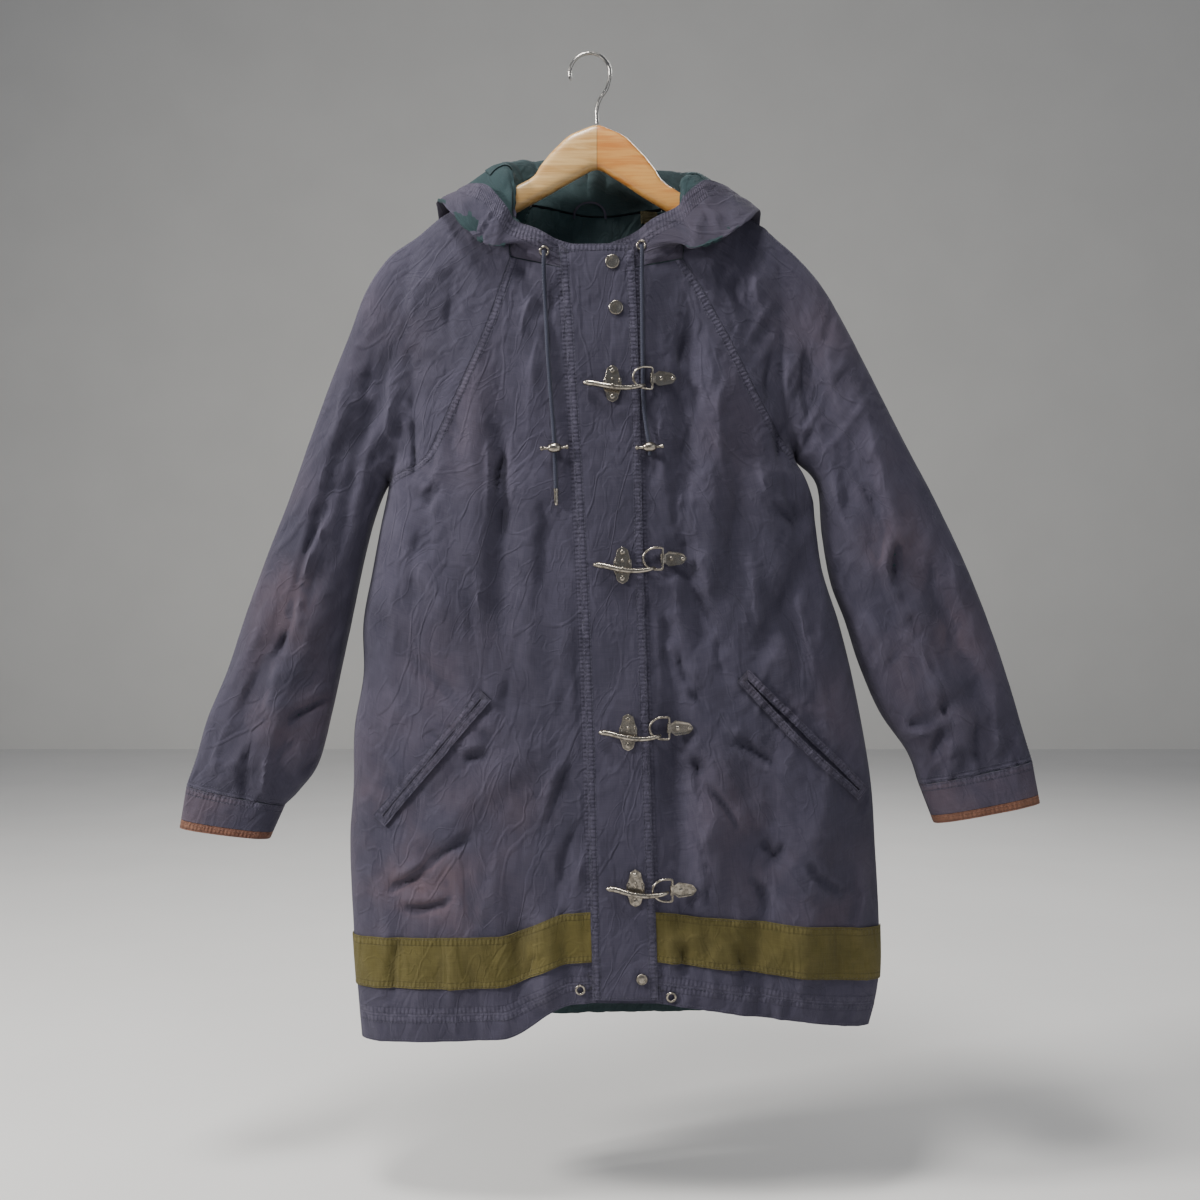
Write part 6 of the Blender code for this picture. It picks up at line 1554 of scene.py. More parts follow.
def make_welts():
    """Two-strip welts round the slanted pockets."""
    for side in POCKETS:
        (x0, z0), run, across, length, gape = pocket_frame(side)
        shares = np.linspace(0.0, 1.0, WELT_FINE)
        share = np.concatenate((shares, shares[::-1]))
        lip = np.repeat((1.0, -1.0), WELT_FINE)
        end = np.zeros(2 * WELT_FINE)
        end[[0, -1]] = -1.0
        end[[WELT_FINE - 1, WELT_FINE]] = 1.0
        widths = np.array((0.0, 0.06, 0.14, 0.25, 0.40, 0.55, 0.70, 0.80, 0.90, 0.96, 1.0))
        swell = np.sin(math.pi * share)
        place = length * share[:, None] + end[:, None] * WELT_END * widths[None]
        away = WELT_GAP / 2.0 + WELT_WIDTH * widths[None] + np.where(lip < 0.0, gape * swell, 0.0)[:, None]
        wobble = 0.0006 * noise(share * 9.0, lip, 91)[:, None]
        away = (away + wobble) * lip[:, None]
        x = x0 + run[0] * place + across[0] * away
        z = z0 + run[1] * place + across[1] * away
        raised = WELT_LIFT + np.where(lip < 0.0, gape * WELT_BULGE * swell, 0.0)[:, None] * (1.0 - widths[None])
        pucker = share * length * 2.0 * math.pi / 0.0095 + 2.5 * noise(share * 12.0, lip * 3.0, 92)
        pucker = np.sin(pucker)[:, None]
        raised = raised + 0.0004 * np.sin(math.pi * widths)[None] * pucker
        raised = raised - 0.0003 * np.exp(-((widths[None] - 0.82) / 0.06) ** 2)
        y = front_y(x, z) - raised
        points = np.stack((x, y, z), axis=-1)
        normals = np.broadcast_to(FRONTWARD, points.shape)
        edge = np.minimum(widths, 1.0 - widths)[None] * WELT_WIDTH + 0.0 * x
        piece = add_wall(
            f"cloth_welt_{side}", points, normals, TRIM, CLOTH_NAVY, 0.00001, ring=True,
            marks={"edge": edge, "run": share[:, None] * length, "fade": 0.25},
        )
        lay(f"welt_{side}")
        outer = points + normals * TRIM
        for distance in (0.0012, 0.0072):
            for part in (slice(0, WELT_FINE), slice(WELT_FINE, 2 * WELT_FINE)):
                NAVY_SEWN.append(grid_line(outer[part], normals[part], 1, False, distance))


# ---------------------------------------------------------------- neck and hood
def neck_curve():
    """Points along the neckline from the meeting at the front, round the left and the back."""
    s = np.linspace(0.0, 2.0, NECK_FINE)
    k = np.linspace(0.0, 1.0, 20)
    zero = np.zeros(20)
    ends = []
    for side in ("left", "right"):
        x, z = front_places(np.zeros(NECK_FINE), s, side)
        ends.append(np.stack((x, plain_front(x, z), z), axis=-1))
    return np.concatenate((
        ends[0][::-1],
        sleeve_points(SLEEVE_LEFT, zero, 1.0 - k, False)[1:],
        sleeve_points(SLEEVE_LEFT, zero, k, True)[1:],
        back_grid(np.array((0.0,)), np.linspace(0.0, 1.0, NECK_FINE))[0][0],
        sleeve_points(SLEEVE_RIGHT, zero, 1.0 - k, True)[1:],
        sleeve_points(SLEEVE_RIGHT, zero, k, False)[1:],
        ends[1],
    ))


def spread(points, spans):
    """Points on centripetal curves through rows of control points, spans[i] on each span."""
    points = np.asarray(points, float)
    result = [points[0]]
    last = len(points) - 1
    for i in range(last):
        p1 = points[i]
        p2 = points[i + 1]
        p0 = points[i - 1] if i > 0 else 2.0 * p1 - p2
        p3 = points[i + 2] if i + 2 <= last else 2.0 * p2 - p1
        t1, gap_2, gap_3 = (
            np.sqrt(np.maximum(np.linalg.norm(b - a, axis=-1, keepdims=True), 1e-7))
            for a, b in ((p0, p1), (p1, p2), (p2, p3))
        )
        t2 = t1 + gap_2
        t3 = t2 + gap_3
        for k in range(1, spans[i] + 1):
            t = mix(t1, t2, k / spans[i])
            a1 = mix(p0, p1, t / t1)
            a2 = mix(p1, p2, (t - t1) / (t2 - t1))
            a3 = mix(p2, p3, (t - t2) / (t3 - t2))
            b1 = mix(a1, a2, t / t2)
            b2 = mix(a2, a3, (t - t1) / (t3 - t1))
            result.append(mix(b1, b2, (t - t1) / (t2 - t1)))
    return np.array(result)


def clear_of_coat(points):
    """Hood points moved off the shoulders and out from under the placket."""
    x = points[..., 0]
    y = points[..., 1].copy()
    z = points[..., 2]
    neck = (x > NECK_SIDES[0]) & (x < NECK_SIDES[1])
    reach = ease((x - placket_edge(z, 1)) / 0.01 + 1.4) * ease((placket_edge(z, 2) - x) / 0.01 + 1.4)
    front = front_y(x, z)
    under = mix(y, np.maximum(y, front + PLACKET_CLEAR), reach)
    y = np.where(neck & (y < 0.0) & (reach > 0.0), under, y)
    low = (~neck) & (z < look(RIDGE, x, 1) + HOOD_CLEAR)
    outside = np.where(y < 0.0, np.minimum(y, front - HOOD_CLEAR), np.maximum(y, back_y(x, z) + HOOD_CLEAR))
    y = np.where(low, outside, y)
    return np.stack((x, y, z), axis=-1)


def hood_rows(fine):
    """The hood's table with fine rows between its rows: share, top, low, rim, turn, outward."""
    gaps = np.linalg.norm(np.diff(HOOD[:, 7:10], axis=0), axis=1)
    spans = [max(2, int(round(gap / fine))) for gap in gaps]
    return spread(HOOD, spans), spans


def hood_points(fine, spans):
    """Grid of the hood's shell."""
    path = neck_curve()
    lengths = way(path)
    rows, row_spans = hood_rows(fine)
    share, turn, outward = rows[:, 0], rows[:, 10:11], np.clip(rows[:, 11:12], 0.0, 1.0)
    turn = np.maximum(turn, 0.0016)
    top, low, rim = rows[:, 1:4], rows[:, 4:7], rows[:, 7:10]
    seam = at_lengths(np.clip(share, 0.0, 1.0) * lengths[-1], lengths, path)
    centre = np.array(NECK_CENTRE)
    flat = np.array((1.0, 1.0, 0.0))
    start = seam - unit((seam - centre) * flat) * NECK_INSET * outward + np.array(NECK_STAND)
    across = unit(mix(unit(rim - start), unit((top - centre) * flat), outward)) * (turn / 2.0)
    grid = spread([start, top - across, top + across, low - across, low + across, rim], spans)
    return grid.transpose(1, 0, 2), share, row_spans


def make_hood():
    """Hood thrown back: two sides, the strip between them, and the lining that shows."""
    plain, share, spans = hood_points(HOOD_STEP, HOOD_FINE)
    normals = grid_normals(plain, -FRONTWARD)
    middle_row = len(share) // 2
    if normals[middle_row, 3, 1] < 0.0:
        normals = -normals
    columns = plain.shape[1]
    u = way(plain[:, 0])[:, None] + np.zeros((1, columns))
    v = way(plain, 1)
    flank, behind, neck = (
        sum(np.exp(-((share - place) / reach) ** 2) for place in places)[:, None]
        for places, reach in (((0.24, 0.78), 0.10), ((0.50,), 0.14), ((0.0, 1.0), 0.10))
    )
    column = np.arange(columns)[None] / (columns - 1)
    body = ease(column / 0.15) * ease((1.0 - column) / 0.06)
    height = (0.0018 * flank + 0.0022 * behind + 0.0009 * neck) * crumple(u, v, 0.030, 101, 1.7)
    height = height + (0.0010 * flank + 0.0010 * behind) * crumple(u + v * 0.6, v, 0.015, 105, 1.4)
    gather = np.sin(u * 2.0 * math.pi / 0.012 + 2.5 * noise(u / 0.03, v / 0.05, 108))
    gather = gather * np.exp(-v / 0.022) * (0.5 + 0.5 * noise(u / 0.02, v / 0.03, 109))
    height = height + 0.0010 * gather * (0.3 + flank + behind)
    height = height * body * HOOD_RELIEF
    # little relief where the layers face each other, and no deep hollows on the outer face
    outer = sum(HOOD_FINE[:4])
    height[:, sum(HOOD_FINE[:2]) - 2:outer] *= 0.3
    height[:, outer:] = np.maximum(height[:, outer:], -0.0006)
    rim_away = v[:, -1:] - v
    strip = 0.0006 * ease((HOOD_HEM - rim_away) / 0.003) - 0.0005 * np.exp(-((rim_away - HOOD_HEM) / 0.0012) ** 2)
    raised = plain + normals * (height + strip * ease(rim_away / 0.002))[..., None]
    raised[:, 1:] = clear_of_coat(raised[:, 1:])
    rows_at = np.concatenate(([0], np.cumsum(spans)))
    first, last = (int(rows_at[row]) for row in HOOD_CENTRE_ROWS)
    normals = grid_normals(raised, normals[middle_row, columns // 2])
    edge = np.minimum(rim_away, np.abs(rim_away - HOOD_HEM) + 0.002)
    for name, start, end in (("left", 0, first), ("centre", first, last), ("right", last, len(plain) - 1)):
        rows = slice(start, end + 1)
        part = raised[rows].copy()
        if start > 0:
            part[0] += unit(raised[start + 1] - raised[start]) * SEAM / 2.0
        if end < len(plain) - 1:
            part[-1] += unit(raised[end - 1] - raised[end]) * SEAM / 2.0
        marks = {"edge": edge[rows], "run": u[rows], "fade": 0.15}
        piece = add_wall(f"cloth_hood_{name}", part, normals[rows], CLOTH, CLOTH_NAVY, marks=marks)
        lay(f"hood_{name}")
        stitch(NAVY_SEWN, part, normals[rows], 1, True, (0.0020, 0.0150))
    start, end = (int(rows_at[row]) for row in HOOD_LINING_ROWS)
    shown = slice(start, end + 1), slice(sum(HOOD_FINE[:2]) + HOOD_FINE[2] // 4 + 1)
    piece = add_wall(
        "cloth_hood_lining", raised[shown], normals[shown], LINING, CLOTH_LINING, -CLOTH - LIFT
    )
    lay("hood_lining")


def make_neck_trims():
    """Hanging loop and bare tab."""
    inside = CLOTH + LIFT + LINING + TRIM_CLEAR
    left, right = LOOP_FEET
    middle = (left + right) / 2.0
    half = (right - left) / 2.0
    angle = np.linspace(0.0, math.pi, 60)
    rise = LOOP_RISE * np.maximum(np.sin(angle), 0.0) ** 0.8
    path = np.stack((middle - half * np.cos(angle), LOOP_FOOT_Z + rise), axis=-1)
    out = unit(path - np.array((middle, LOOP_FOOT_Z)))
    y = float(back_y(np.array(middle), np.array(LOOP_FOOT_Z))) - inside - LOOP_STAND
    shift = np.linspace(-0.5, 0.5, 8)
    points = np.zeros((8, 60, 3))
    points[..., 0] = path[None, :, 0] + out[None, :, 0] * LOOP_WIDTH * shift[:, None]
    points[..., 2] = path[None, :, 1] + out[None, :, 1] * LOOP_WIDTH * shift[:, None]
    points[..., 1] = y + shift[:, None] * LOOP_TWIST - 0.0002 * np.cos(shift * math.pi)[:, None]
    normals = grid_normals(points, FRONTWARD)
    piece = add_wall("cloth_hanging_loop", points, normals, TRIM, CLOTH_NAVY)
    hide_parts("hanging_loop")
    z = np.linspace(*TAB_Z, 14)
    x = np.linspace(*TAB_X, 18)
    zz, xx = np.meshgrid(z, x, indexing="ij")
    points, normals = on_surface(back_y, xx, zz, 1.0)
    away = np.minimum(np.minimum(xx - x[0], x[-1] - xx), np.minimum(z[0] - zz, zz - z[-1]))
    piece = add_wall(
        "cloth_tab", points, normals, TRIM, CLOTH_OLIVE, -inside - TRIM_CLEAR, marks={"edge": away}
    )
    lay("tab")
    outer = points - normals * (inside + TRIM_CLEAR + TRIM)
    for axis in (0, 1):
        for end in (False, True):
            OLIVE_SEWN.append(grid_line(outer, -normals, axis, end, 0.0015))


# ---------------------------------------------------------------- hard pieces
def frame_along(points, closed=False):
    """Two unit directions across a path at each of its points."""
    if closed:
        ahead = np.roll(points, -1, axis=0) - np.roll(points, 1, axis=0)
    else:
        ahead = np.gradient(points, axis=0)
    ahead = unit(ahead)
    across = unit(np.cross(ahead[0], np.array((0.3, 1.0, 0.2))))
    first = []
    for direction in ahead:
        across = unit(across - direction * np.dot(across, direction))
        first.append(across)
    first = np.array(first)
    return first, np.cross(ahead, first)


def around(across, other, sides, start=0.0):
    """Spokes about an axis, from two directions across it."""
    angle = 2.0 * math.pi * (np.arange(sides) + start) / sides
    return across[..., None, :] * np.cos(angle)[:, None] + other[..., None, :] * np.sin(angle)[:, None]


def tube_parts(points, radii, sides, closed=False):
    """Vertices and faces of a round bar along a path."""
    points = np.asarray(points, float)
    ring = around(*frame_along(points, closed), sides) * np.asarray(radii, float)[:, None, None]
    return (points[:, None] + ring).reshape(-1, 3), tube_faces(len(points), sides, closed)


def slab_parts(outline, normal, height, bevel, centre):
    """Vertices and faces of a plate with rounded upper edges over an outline."""
    outline = np.asarray(outline, float)
    inward = unit(centre - outline)
    rings = [outline]
    for turn in np.linspace(0.0, math.pi / 2.0, 5):
        rise = height - bevel + bevel * math.sin(turn)
        rings.append(outline + normal * rise + inward * bevel * (1.0 - math.cos(turn)))
    rings.append(outline + normal * height + inward * bevel * 2.2)
    return np.concatenate(rings), tube_faces(len(rings), len(outline))


def turned_parts(profile, sides, place, axis):
    """Vertices and faces of a solid turned about an axis from (along, radius) rows."""
    axis = unit(np.asarray(axis, float))
    across = unit(np.cross(axis, np.array((0.31, 0.2, 0.93))))
    spoke = around(across, np.cross(axis, across), sides)
    rings = [np.asarray(place) + axis * along + spoke * max(radius, 1e-5) for along, radius in profile]
    return np.concatenate(rings), tube_faces(len(rings), sides)


def add_solid(name, parts, finish, slot_name, *nodes):
    """One object from several closed parts, with its faces turned outward."""
    vertices = []
    faces = []
    for part_vertices, part_faces in parts:
        start = len(vertices)
        vertices += np.asarray(part_vertices).tolist()
        faces += [tuple(start + k for k in face) for face in part_faces]
    mesh = bpy.data.meshes.new(name)
    mesh.from_pydata(vertices, [], faces)
    work = bmesh.new()
    work.from_mesh(mesh)
    bmesh.ops.recalc_face_normals(work, faces=work.faces)
    work.to_mesh(mesh)
    work.free()
    mesh.shade_smooth()
    mesh.set_sharp_from_angle(angle=math.radians(42.0))
    made = link(name, mesh, finish)
    if nodes:
        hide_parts(*nodes)
    return made


def rivet(place, radius, height, normal=(0.0, -1.0, 0.0)):
    """Domed rivet head with a rim."""
    profile = [(0.0, radius * 1.25), (height * 0.18, radius * 1.25), (height * 0.22, radius)]
    profile += [
        (height * (0.22 + 0.78 * math.sin(turn)), radius * math.cos(turn)) for turn in np.linspace(0.15, 1.45, 7)
    ]
    return turned_parts(profile, 20, place, normal)


def plain_depth(x, z, half_width, half_height):
    """Depth of the plain front's outermost point over a small oblong, as in the solids."""
    steps = np.array((-1.0, -0.5, 0.0, 0.5, 1.0))
    xx, zz = np.meshgrid(x + half_width * steps, z + half_height * steps)
    return float(plain_front(xx, zz).min())


def smooth_rows(rows, count):
    """Rows of numbers resampled along a smooth curve."""
    return spread(np.asarray(rows, float), [count] * (len(rows) - 1))


def make_clasps():
    """Clasps: cross-shaped base with rivets, lever hook, D ring and riveted ring plate."""
    heights, widths = np.array(BASE_OUTLINE)[::-1].T
    zs = np.linspace(heights[0], heights[-1], 40)
    half = np.interp(zs, heights, widths)
    for end in (heights[0], heights[-1]):
        half = half * np.sqrt(np.clip(np.abs(zs - end) / 0.0035, 0.02, 1.0))
    zs = np.concatenate((zs, zs[::-1]))
    sides = np.concatenate((half, -half[::-1]))
    for number, (x0, z0, rise, reach, bow, extra) in enumerate(CLASPS, start=1):
        base_x = x0 + BASE_X
        face = plain_depth(base_x, z0, *BASE_REACH) - LIFT - CLOTH
        back_of_base = face - BASE_CLEAR
        outline = [(base_x + dx, back_of_base, z0 + dz) for dz, dx in zip(zs, sides)]
        centre = np.array([(base_x, back_of_base, z0 + dz * 0.75) for dz in zs])
        parts = [slab_parts(outline, FRONTWARD, BASE_THICK, 0.0005, centre)]
        top = back_of_base - BASE_THICK
        for dz, radius in BASE_RIVETS:
            parts.append(rivet((base_x, top, z0 + dz), radius, 0.0013))
        for dx in (-0.0075, 0.0075):
            ear = [(base_x + dx, top + dy, z0 + dz) for dy, dz in BASE_EAR]
            parts.append(tube_parts(smooth_rows(ear, 4), [0.0010] * 9, 8))
        add_solid(f"clasp_{number}_base_plate", parts, METAL, "metal", f"clasp_{number}_base")
        # lever hook: a forged bar, thickest in its middle, with a rivet and a small stud
        rows = smooth_rows(LEVER_PATH, 6)
        depth = face - LEVER_CLEAR - rows[:, 2] - extra * ease(rows[:, 0] / BASE_X)
        path = np.stack((x0 + rows[:, 0], depth, z0 + rows[:, 1]), axis=-1)
        radii = rows[:, 3].copy()
        radii[:3] *= np.array((0.55, 0.80, 0.95))
        radii[-3:] *= np.array((0.95, 0.85, 0.60))
        parts = [tube_parts(path, radii, 20)]
        parts.append(rivet(path[6] + FRONTWARD * radii[6] * 0.80, 0.0018, 0.0012))
        stud = path[int(len(path) * 0.42)] + np.array((0.0, -0.0026, 0.0015))
        parts.append(turned_parts(((0.0, 0.0013), (0.0016, 0.0013), (0.0019, 0.0009)), 16, stud, (0.0, -1.0, 0.5)))
        add_solid(f"clasp_{number}_hook", parts, METAL, "metal", f"clasp_{number}_lever")
        # ring
        bar_x = x0 + reach
        bar_z = z0 + rise
        ground = plain_depth(bar_x + PLATE_LENGTH / 2.0, bar_z, *PLATE_REACH)
        bar_y = ground - BASE_CLEAR - PLATE_THICK - CURL_CLEAR - RING_WIRE / 2.0
        half = RING_HEIGHT / 2.0 - RING_WIRE / 2.0
        corner = 0.0018
        edge = half - corner
        flat = [(0.0, dz) for dz in np.linspace(-edge, edge, 12)]
        flat += [(corner * math.cos(a) - corner, edge + corner * math.sin(a)) for a in np.linspace(0.3, 1.4, 4)]
        flat += [(dx, half) for dx in np.linspace(-corner - 0.0006, -RING_STRAIGHT, 5)]
        for angle in np.linspace(math.pi / 2.0, -math.pi / 2.0, 27)[1:-1]:
            flat.append((-RING_STRAIGHT - (RING_DEPTH - RING_STRAIGHT) * math.cos(angle), half * math.sin(angle)))
        flat += [(dx, -half) for dx in np.linspace(-RING_STRAIGHT, -corner - 0.0006, 5)]
        flat += [(corner * math.cos(a) - corner, corner * math.sin(a) - edge) for a in np.linspace(-1.4, -0.3, 4)]
        ring = [(bar_x + dx, bar_y - bow * (-dx / RING_DEPTH), bar_z + dz) for dx, dz in flat]
        parts = [tube_parts(ring, [RING_WIRE / 2.0] * len(ring), 14, closed=True)]
        add_solid(f"clasp_{number}_d_ring", parts, METAL, "metal", f"clasp_{number}_ring")
        make_ring_plate(number, bar_x, bar_y, bar_z)


def make_ring_plate(number, bar_x, bar_y, bar_z):
    """Tapered plate curled round the ring's bar, with a raised rim and two rivets."""
    inner = RING_WIRE / 2.0 + CURL_CLEAR
    outer = inner + PLATE_THICK
    base_y = bar_y + outer
    profile = []
    for angle in np.radians(np.linspace(-20.0, 178.0, 20)):
        profile.append((bar_x - outer * math.sin(angle), bar_y - outer * math.cos(angle), PLATE_WIDTHS[0]))
    shares = np.linspace(0.10, 1.0, 34)
    keys = np.array((0.0, 0.12, 0.25, 0.5, 0.8, 1.0))
    values = np.array((PLATE_WIDTHS[0], PLATE_WIDTHS[0] * 1.1, *PLATE_WIDTHS[1:]))
    for share in shares:
        width = np.interp(share, keys, values)
        width *= math.sqrt(max(0.10, min(1.0, (1.0 - share) * PLATE_LENGTH / 0.0035)))
        profile.append((bar_x + PLATE_LENGTH * share, base_y, width))
    across = np.concatenate((np.linspace(0.5, 0.36, 4), np.linspace(0.30, -0.30, 5), np.linspace(-0.36, -0.5, 4)))
    points = np.array([[(x, y, bar_z + width * a) for a in across] for x, y, width in profile])
    normals = grid_normals(points, -FRONTWARD)
    if normals[-3, 6, 1] < 0.0:
        normals = -normals
    rows, columns = points.shape[:2]
    rim = np.zeros((rows, columns))
    rim[21:, 3:-3] = -0.00022      # the middle of the flat part lies lower than its rim
    front = points - normals * (PLATE_THICK + rim[..., None])
    index = np.arange(rows * columns).reshape(rows, columns)
    faces = []
    count = rows * columns
    for i in range(rows - 1):
        for j in range(columns - 1):
            quad = (index[i, j], index[i, j + 1], index[i + 1, j + 1], index[i + 1, j])
            faces.append(tuple(int(k) for k in quad))
            faces.append(tuple(int(k) + count for k in quad[::-1]))
    loop = list(index[0]) + list(index[1:, -1]) + list(index[-1, -2::-1]) + list(index[-2:0:-1, 0])
    for a, b in zip(loop, loop[1:] + loop[:1]):
        faces.append((int(b), int(a), int(a) + count, int(b) + count))
    parts = [(np.concatenate((points.reshape(-1, 3), front.reshape(-1, 3))), faces)]
    top = base_y - PLATE_THICK + 0.0002
    for share, radius in ((0.36, 0.0021), (0.86, 0.0020)):
        parts.append(rivet((bar_x + PLATE_LENGTH * share, top, bar_z), radius, 0.0012))
    add_solid(f"clasp_{number}_ring_plate", parts, METAL, "metal", f"clasp_{number}_plate")


def make_snaps_and_eyelets(hood):
    """Snap caps with a rolled rim, and pressed eyelets."""
    for number, (x, z, radius) in enumerate(SNAPS, start=1):
        y = float(plain_front(np.array(x), np.array(z))) - LIFT - CLOTH - SNAP_CLEAR
        profile = [(SNAP_HEIGHT * height, radius * share) for height, share in SNAP_PROFILE]
        parts = [turned_parts(profile, 48, (x, y, z), FRONTWARD)]
        add_solid(f"snap_cap_{number}", parts, METAL, "metal", f"snap_{number}")
    for side in ("left", "right"):
        for where in ("hem", "hood"):
            low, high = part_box(f"eyelet_{where}_{side}")
            centre = (np.array(low) + np.array(high)) / 2.0
            if where == "hem":
                normal = surface_normals(plain_front, centre[:1], centre[2:], -1.0)[0]
            else:
                normal = hood_normal(hood, centre)
            centre = centre - normal * EYELET_HEIGHT / 2.0
            middle = (EYELET_HOLE + EYELET_RADIUS) / 2.0
            section = [(EYELET_RADIUS, 0.0)]
            for turn in np.linspace(0.0, math.pi, 9):
                rise = EYELET_HEIGHT * (0.15 + 0.85 * math.sin(turn))
                section.append((middle + (EYELET_RADIUS - middle) * math.cos(turn), rise))
            section.append((EYELET_HOLE, 0.0))
            parts = [ring_of(section, centre, normal, 40)]
            add_solid(f"eyelet_ring_{where}_{side}", parts, METAL, "metal", f"eyelet_{where}_{side}")


def ring_of(section, centre, axis, sides):
    """Ring turned from a closed section of (radius, height) rows."""
    across = unit(np.cross(axis, np.array((0.0, 0.0, 1.0))))
    vertices = []
    for spoke in around(across, np.cross(axis, across), sides):
        vertices += [centre + spoke * radius + axis * height for radius, height in section]
    return np.array(vertices), tube_faces(sides, len(section), closed=True)


def hood_normal(hood, centre):
    """Direction towards the front at the nearest place of the hood's shell to a point."""
    normals = grid_normals(hood, FRONTWARD).reshape(-1, 3)
    normal = normals[int(np.argmin(np.linalg.norm(hood.reshape(-1, 3) - centre, axis=-1)))]
    return -normal if normal[1] > 0.0 else normal


def make_drawcords():
    """Two drawcords with barrel toggles, and the metal end of the left one."""
    for side, rows, toggle in (("left", CORD_LEFT, TOGGLE_LEFT), ("right", CORD_RIGHT, TOGGLE_RIGHT)):
        rows = np.array(rows)
        controls = np.stack((rows[:, 0], plain_front(rows[:, 0], rows[:, 1]) - rows[:, 2], rows[:, 1]), axis=-1)
        path = spread(controls, [6] * (len(controls) - 1))
        curve = bpy.data.curves.new(f"drawcord_{side}_line", "CURVE")
        curve.dimensions = "3D"
        curve.bevel_depth = CORD / 2.0
        curve.bevel_resolution = 5
        curve.use_fill_caps = True
        spline = curve.splines.new("POLY")
        spline.points.add(len(path) - 1)
        for target, point in zip(spline.points, path):
            target.co = (*point, 1.0)
        curve.materials.append(CORD_NAVY)
        made = bpy.data.objects.new(f"drawcord_{side}_line", curve)
        bpy.context.scene.collection.objects.link(made)
        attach(made, "root")
        nodes = ("drawcord_left_upper", "drawcord_left_lower") if side == "left" else ("drawcord_right",)
        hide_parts(*nodes)
        x, z = toggle
        place = np.array((x, float(plain_front(np.array(x), np.array(z))) - TOGGLE_HEIGHT, z))
        parts = [turned_parts(smooth_rows(TOGGLE_PROFILE, 5), 36, place, TOGGLE_AXIS)]
        with_pieces = [add_solid(f"toggle_{side}_barrel", parts, METAL, "metal", f"toggle_{side}")]
        if side == "left":
            down = unit(path[-1] - path[-2])
            parts = [turned_parts(smooth_rows(CORD_END_PROFILE, 5), 32, path[-1] + down * CORD_END_GAP, down)]
            with_pieces.append(add_solid("cord_end_tip", parts, METAL, "metal", "cord_end_left"))
        round(float(way(path)[-1]), 4)


def make_hanger():
    """Contoured wooden hanger and its wire hook."""
    sections = np.array(HANGER_SECTIONS)
    order = np.linspace(0.0, len(sections) - 1.0, 220)
    keyed = [(i, *row) for i, row in enumerate(HANGER_SECTIONS)]
    xs = look(keyed, order, 1)
    tops, bottoms, halves = (np.interp(xs, sections[:, 0], sections[:, c]) for c in (1, 2, 3))
    for array in (tops, bottoms, halves):
        padded = np.pad(array, 3, mode="edge")
        array[:] = sum(padded[k:k + len(array)] for k in range(7)) / 7.0
    sides = 32
    angle = 2.0 * math.pi * (np.arange(sides) + 0.5) / sides
    bulge_y = np.sign(np.cos(angle)) * np.abs(np.cos(angle)) ** HANGER_SQUARE
    bulge_z = np.sign(np.sin(angle)) * np.abs(np.sin(angle)) ** HANGER_SQUARE
    ends = np.sqrt(np.clip(np.minimum(xs - xs[0], xs[-1] - xs) / 0.006, 0.12, 1.0))
    middle = (tops + bottoms) / 2.0
    height = (tops - bottoms) / 2.0
    vertices = np.stack(
        (
            np.repeat(xs[:, None], sides, axis=1),
            halves[:, None] * bulge_y[None] * ends[:, None],
            middle[:, None] + height[:, None] * bulge_z[None] * ends[:, None],
        ),
        axis=-1,
    ).reshape(-1, 3)
    add_solid("wooden_hanger", [(vertices, tube_faces(len(xs), sides))], WOOD, "wood", "hanger_wood")
    radius = HOOK_RADIUS + HOOK_WIRE / 2.0
    angle = np.radians(np.linspace(HOOK_ARC[0], HOOK_ARC[1], 60))
    arc = np.stack((radius * np.cos(angle), 0.0 * angle, -HOOK_RADIUS + radius * np.sin(angle)), axis=-1)
    neck = np.array([arc[-1]] + [(x, 0.0, z) for x, z in HOOK_NECK])
    path = np.concatenate((arc, spread(neck, [10] * (len(neck) - 1))[1:]))
    radii = np.full(len(path), HOOK_WIRE / 2.0)
    radii[:4] *= np.array((0.45, 0.75, 0.92, 0.99))
    parts = [tube_parts(path, radii, 24)]
    add_solid("wire_hook", parts, STEEL, "hook_steel", "hanger_hook")


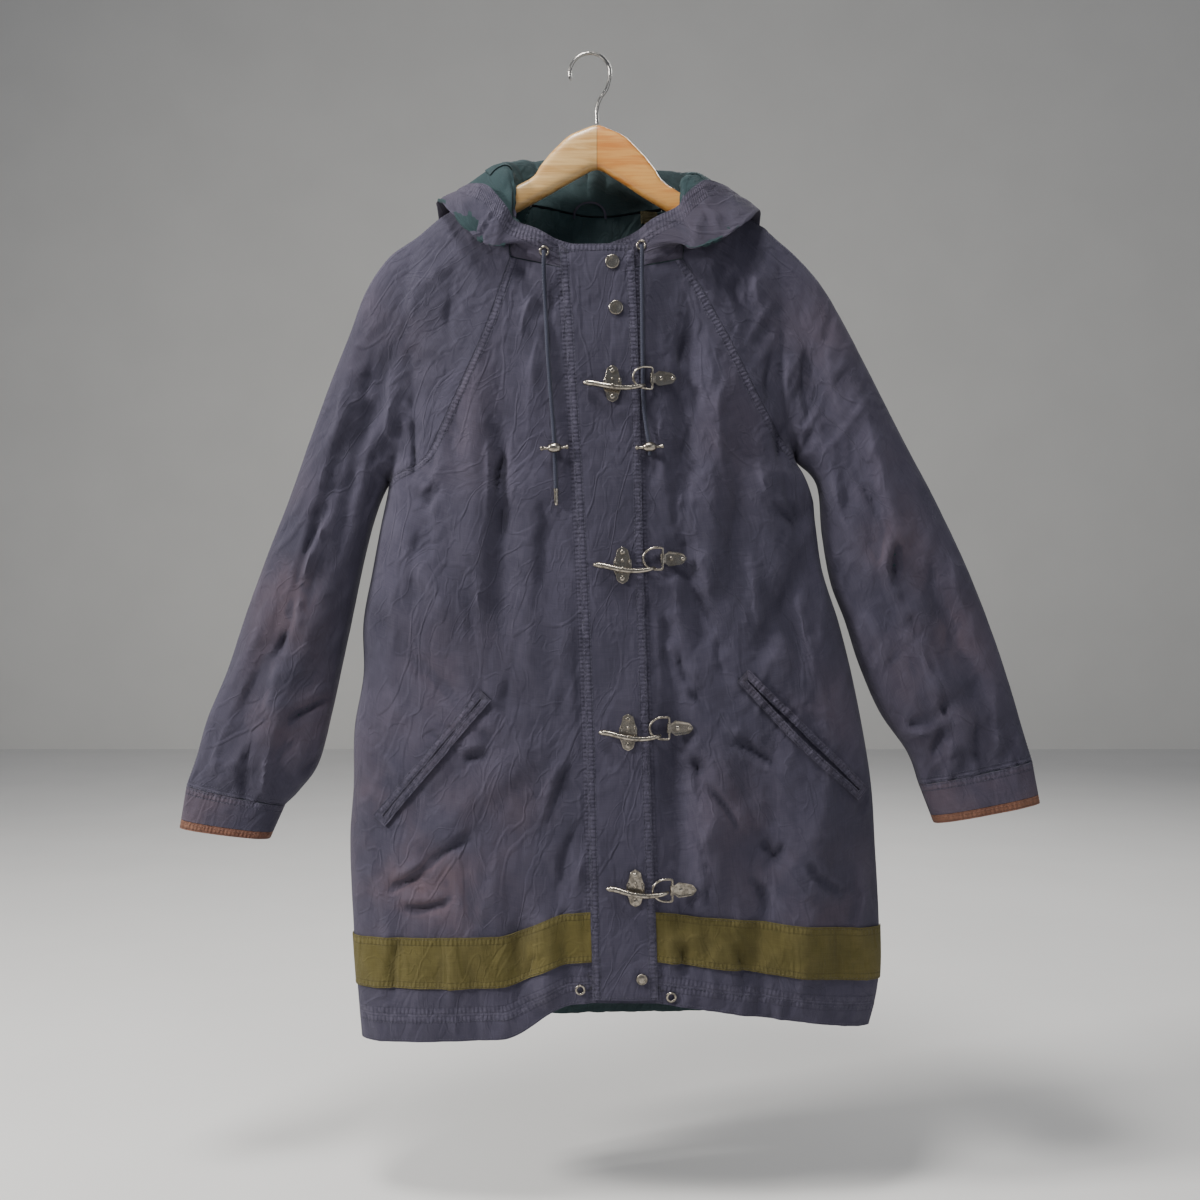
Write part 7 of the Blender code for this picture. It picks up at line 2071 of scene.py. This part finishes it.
# ---------------------------------------------------------------- stage
def make_stage():
    """Camera, soft studio lights, pale floor and plain backdrop."""
    camera = bpy.data.objects.new("camera", bpy.data.cameras.new("camera"))
    bpy.context.scene.collection.objects.link(camera)
    camera.location = CAMERA_PLACE
    camera.rotation_euler = (math.radians(90.0), 0.0, 0.0)
    camera.data.lens = CAMERA_LENS
    camera.data.sensor_width = 36.0
    bpy.context.scene.camera = camera
    for name, size, place, turn, colour in (
        ("floor", 16.0, (0.0, 0.0, FLOOR_Z), (0.0, 0.0, 0.0), (0.74, 0.73, 0.71)),
        ("backdrop", 16.0, (0.0, 4.5, FLOOR_Z + 7.0), (math.radians(90.0), 0.0, 0.0), (0.66, 0.65, 0.62)),
    ):
        mesh = bpy.data.meshes.new(name)
        half = size / 2.0
        mesh.from_pydata([(-half, -half, 0), (half, -half, 0), (half, half, 0), (-half, half, 0)], [], [(0, 1, 2, 3)])
        made = bpy.data.objects.new(name, mesh)
        bpy.context.scene.collection.objects.link(made)
        made.location = place
        made.rotation_euler = turn
        matte, tree, shader = new_material(name + "_paint", 0.9)
        tone = ramp_value(tree, noise_value(tree, 3.0, 3.0), 0.2, 0.8)
        low = tuple(c * 0.96 for c in colour)
        tree.links.new(blend(tree, tone, low, colour), shader.inputs["Base Color"])
        mesh.materials.append(matte)
    for name, place, size, power, colour in LIGHTS:
        data = bpy.data.lights.new(name, "AREA")
        data.shape = "RECTANGLE"
        data.size, data.size_y = size
        data.energy = power
        data.color = colour
        made = bpy.data.objects.new(name, data)
        bpy.context.scene.collection.objects.link(made)
        made.location = place
        aim = Vector(LIGHTS_AIM) - Vector(place)
        made.rotation_euler = aim.to_track_quat("-Z", "Y").to_euler()
    world = bpy.data.worlds.new("studio")
    world.use_nodes = True
    world.node_tree.nodes["Background"].inputs[0].default_value = WORLD_COLOUR
    world.node_tree.nodes["Background"].inputs[1].default_value = WORLD_LIGHT
    bpy.context.scene.world = world


make_stage()
make_drawcords()
make_fronts()
make_placket()
make_back()
make_sleeves()
make_welts()
make_hood()
make_neck_trims()
make_hanger()
make_clasps()
make_snaps_and_eyelets(hood_points(HOOD_STEP, HOOD_FINE)[0])
add_thread("navy_stitches", sew(NAVY_SEWN, STITCH_LIFT), THREAD_NAVY)
add_thread("olive_stitches", sew(OLIVE_SEWN, STITCH_LIFT), THREAD_OLIVE)
add_thread("brown_stitches", sew(BROWN_SEWN, STITCH_LIFT), THREAD_BROWN)
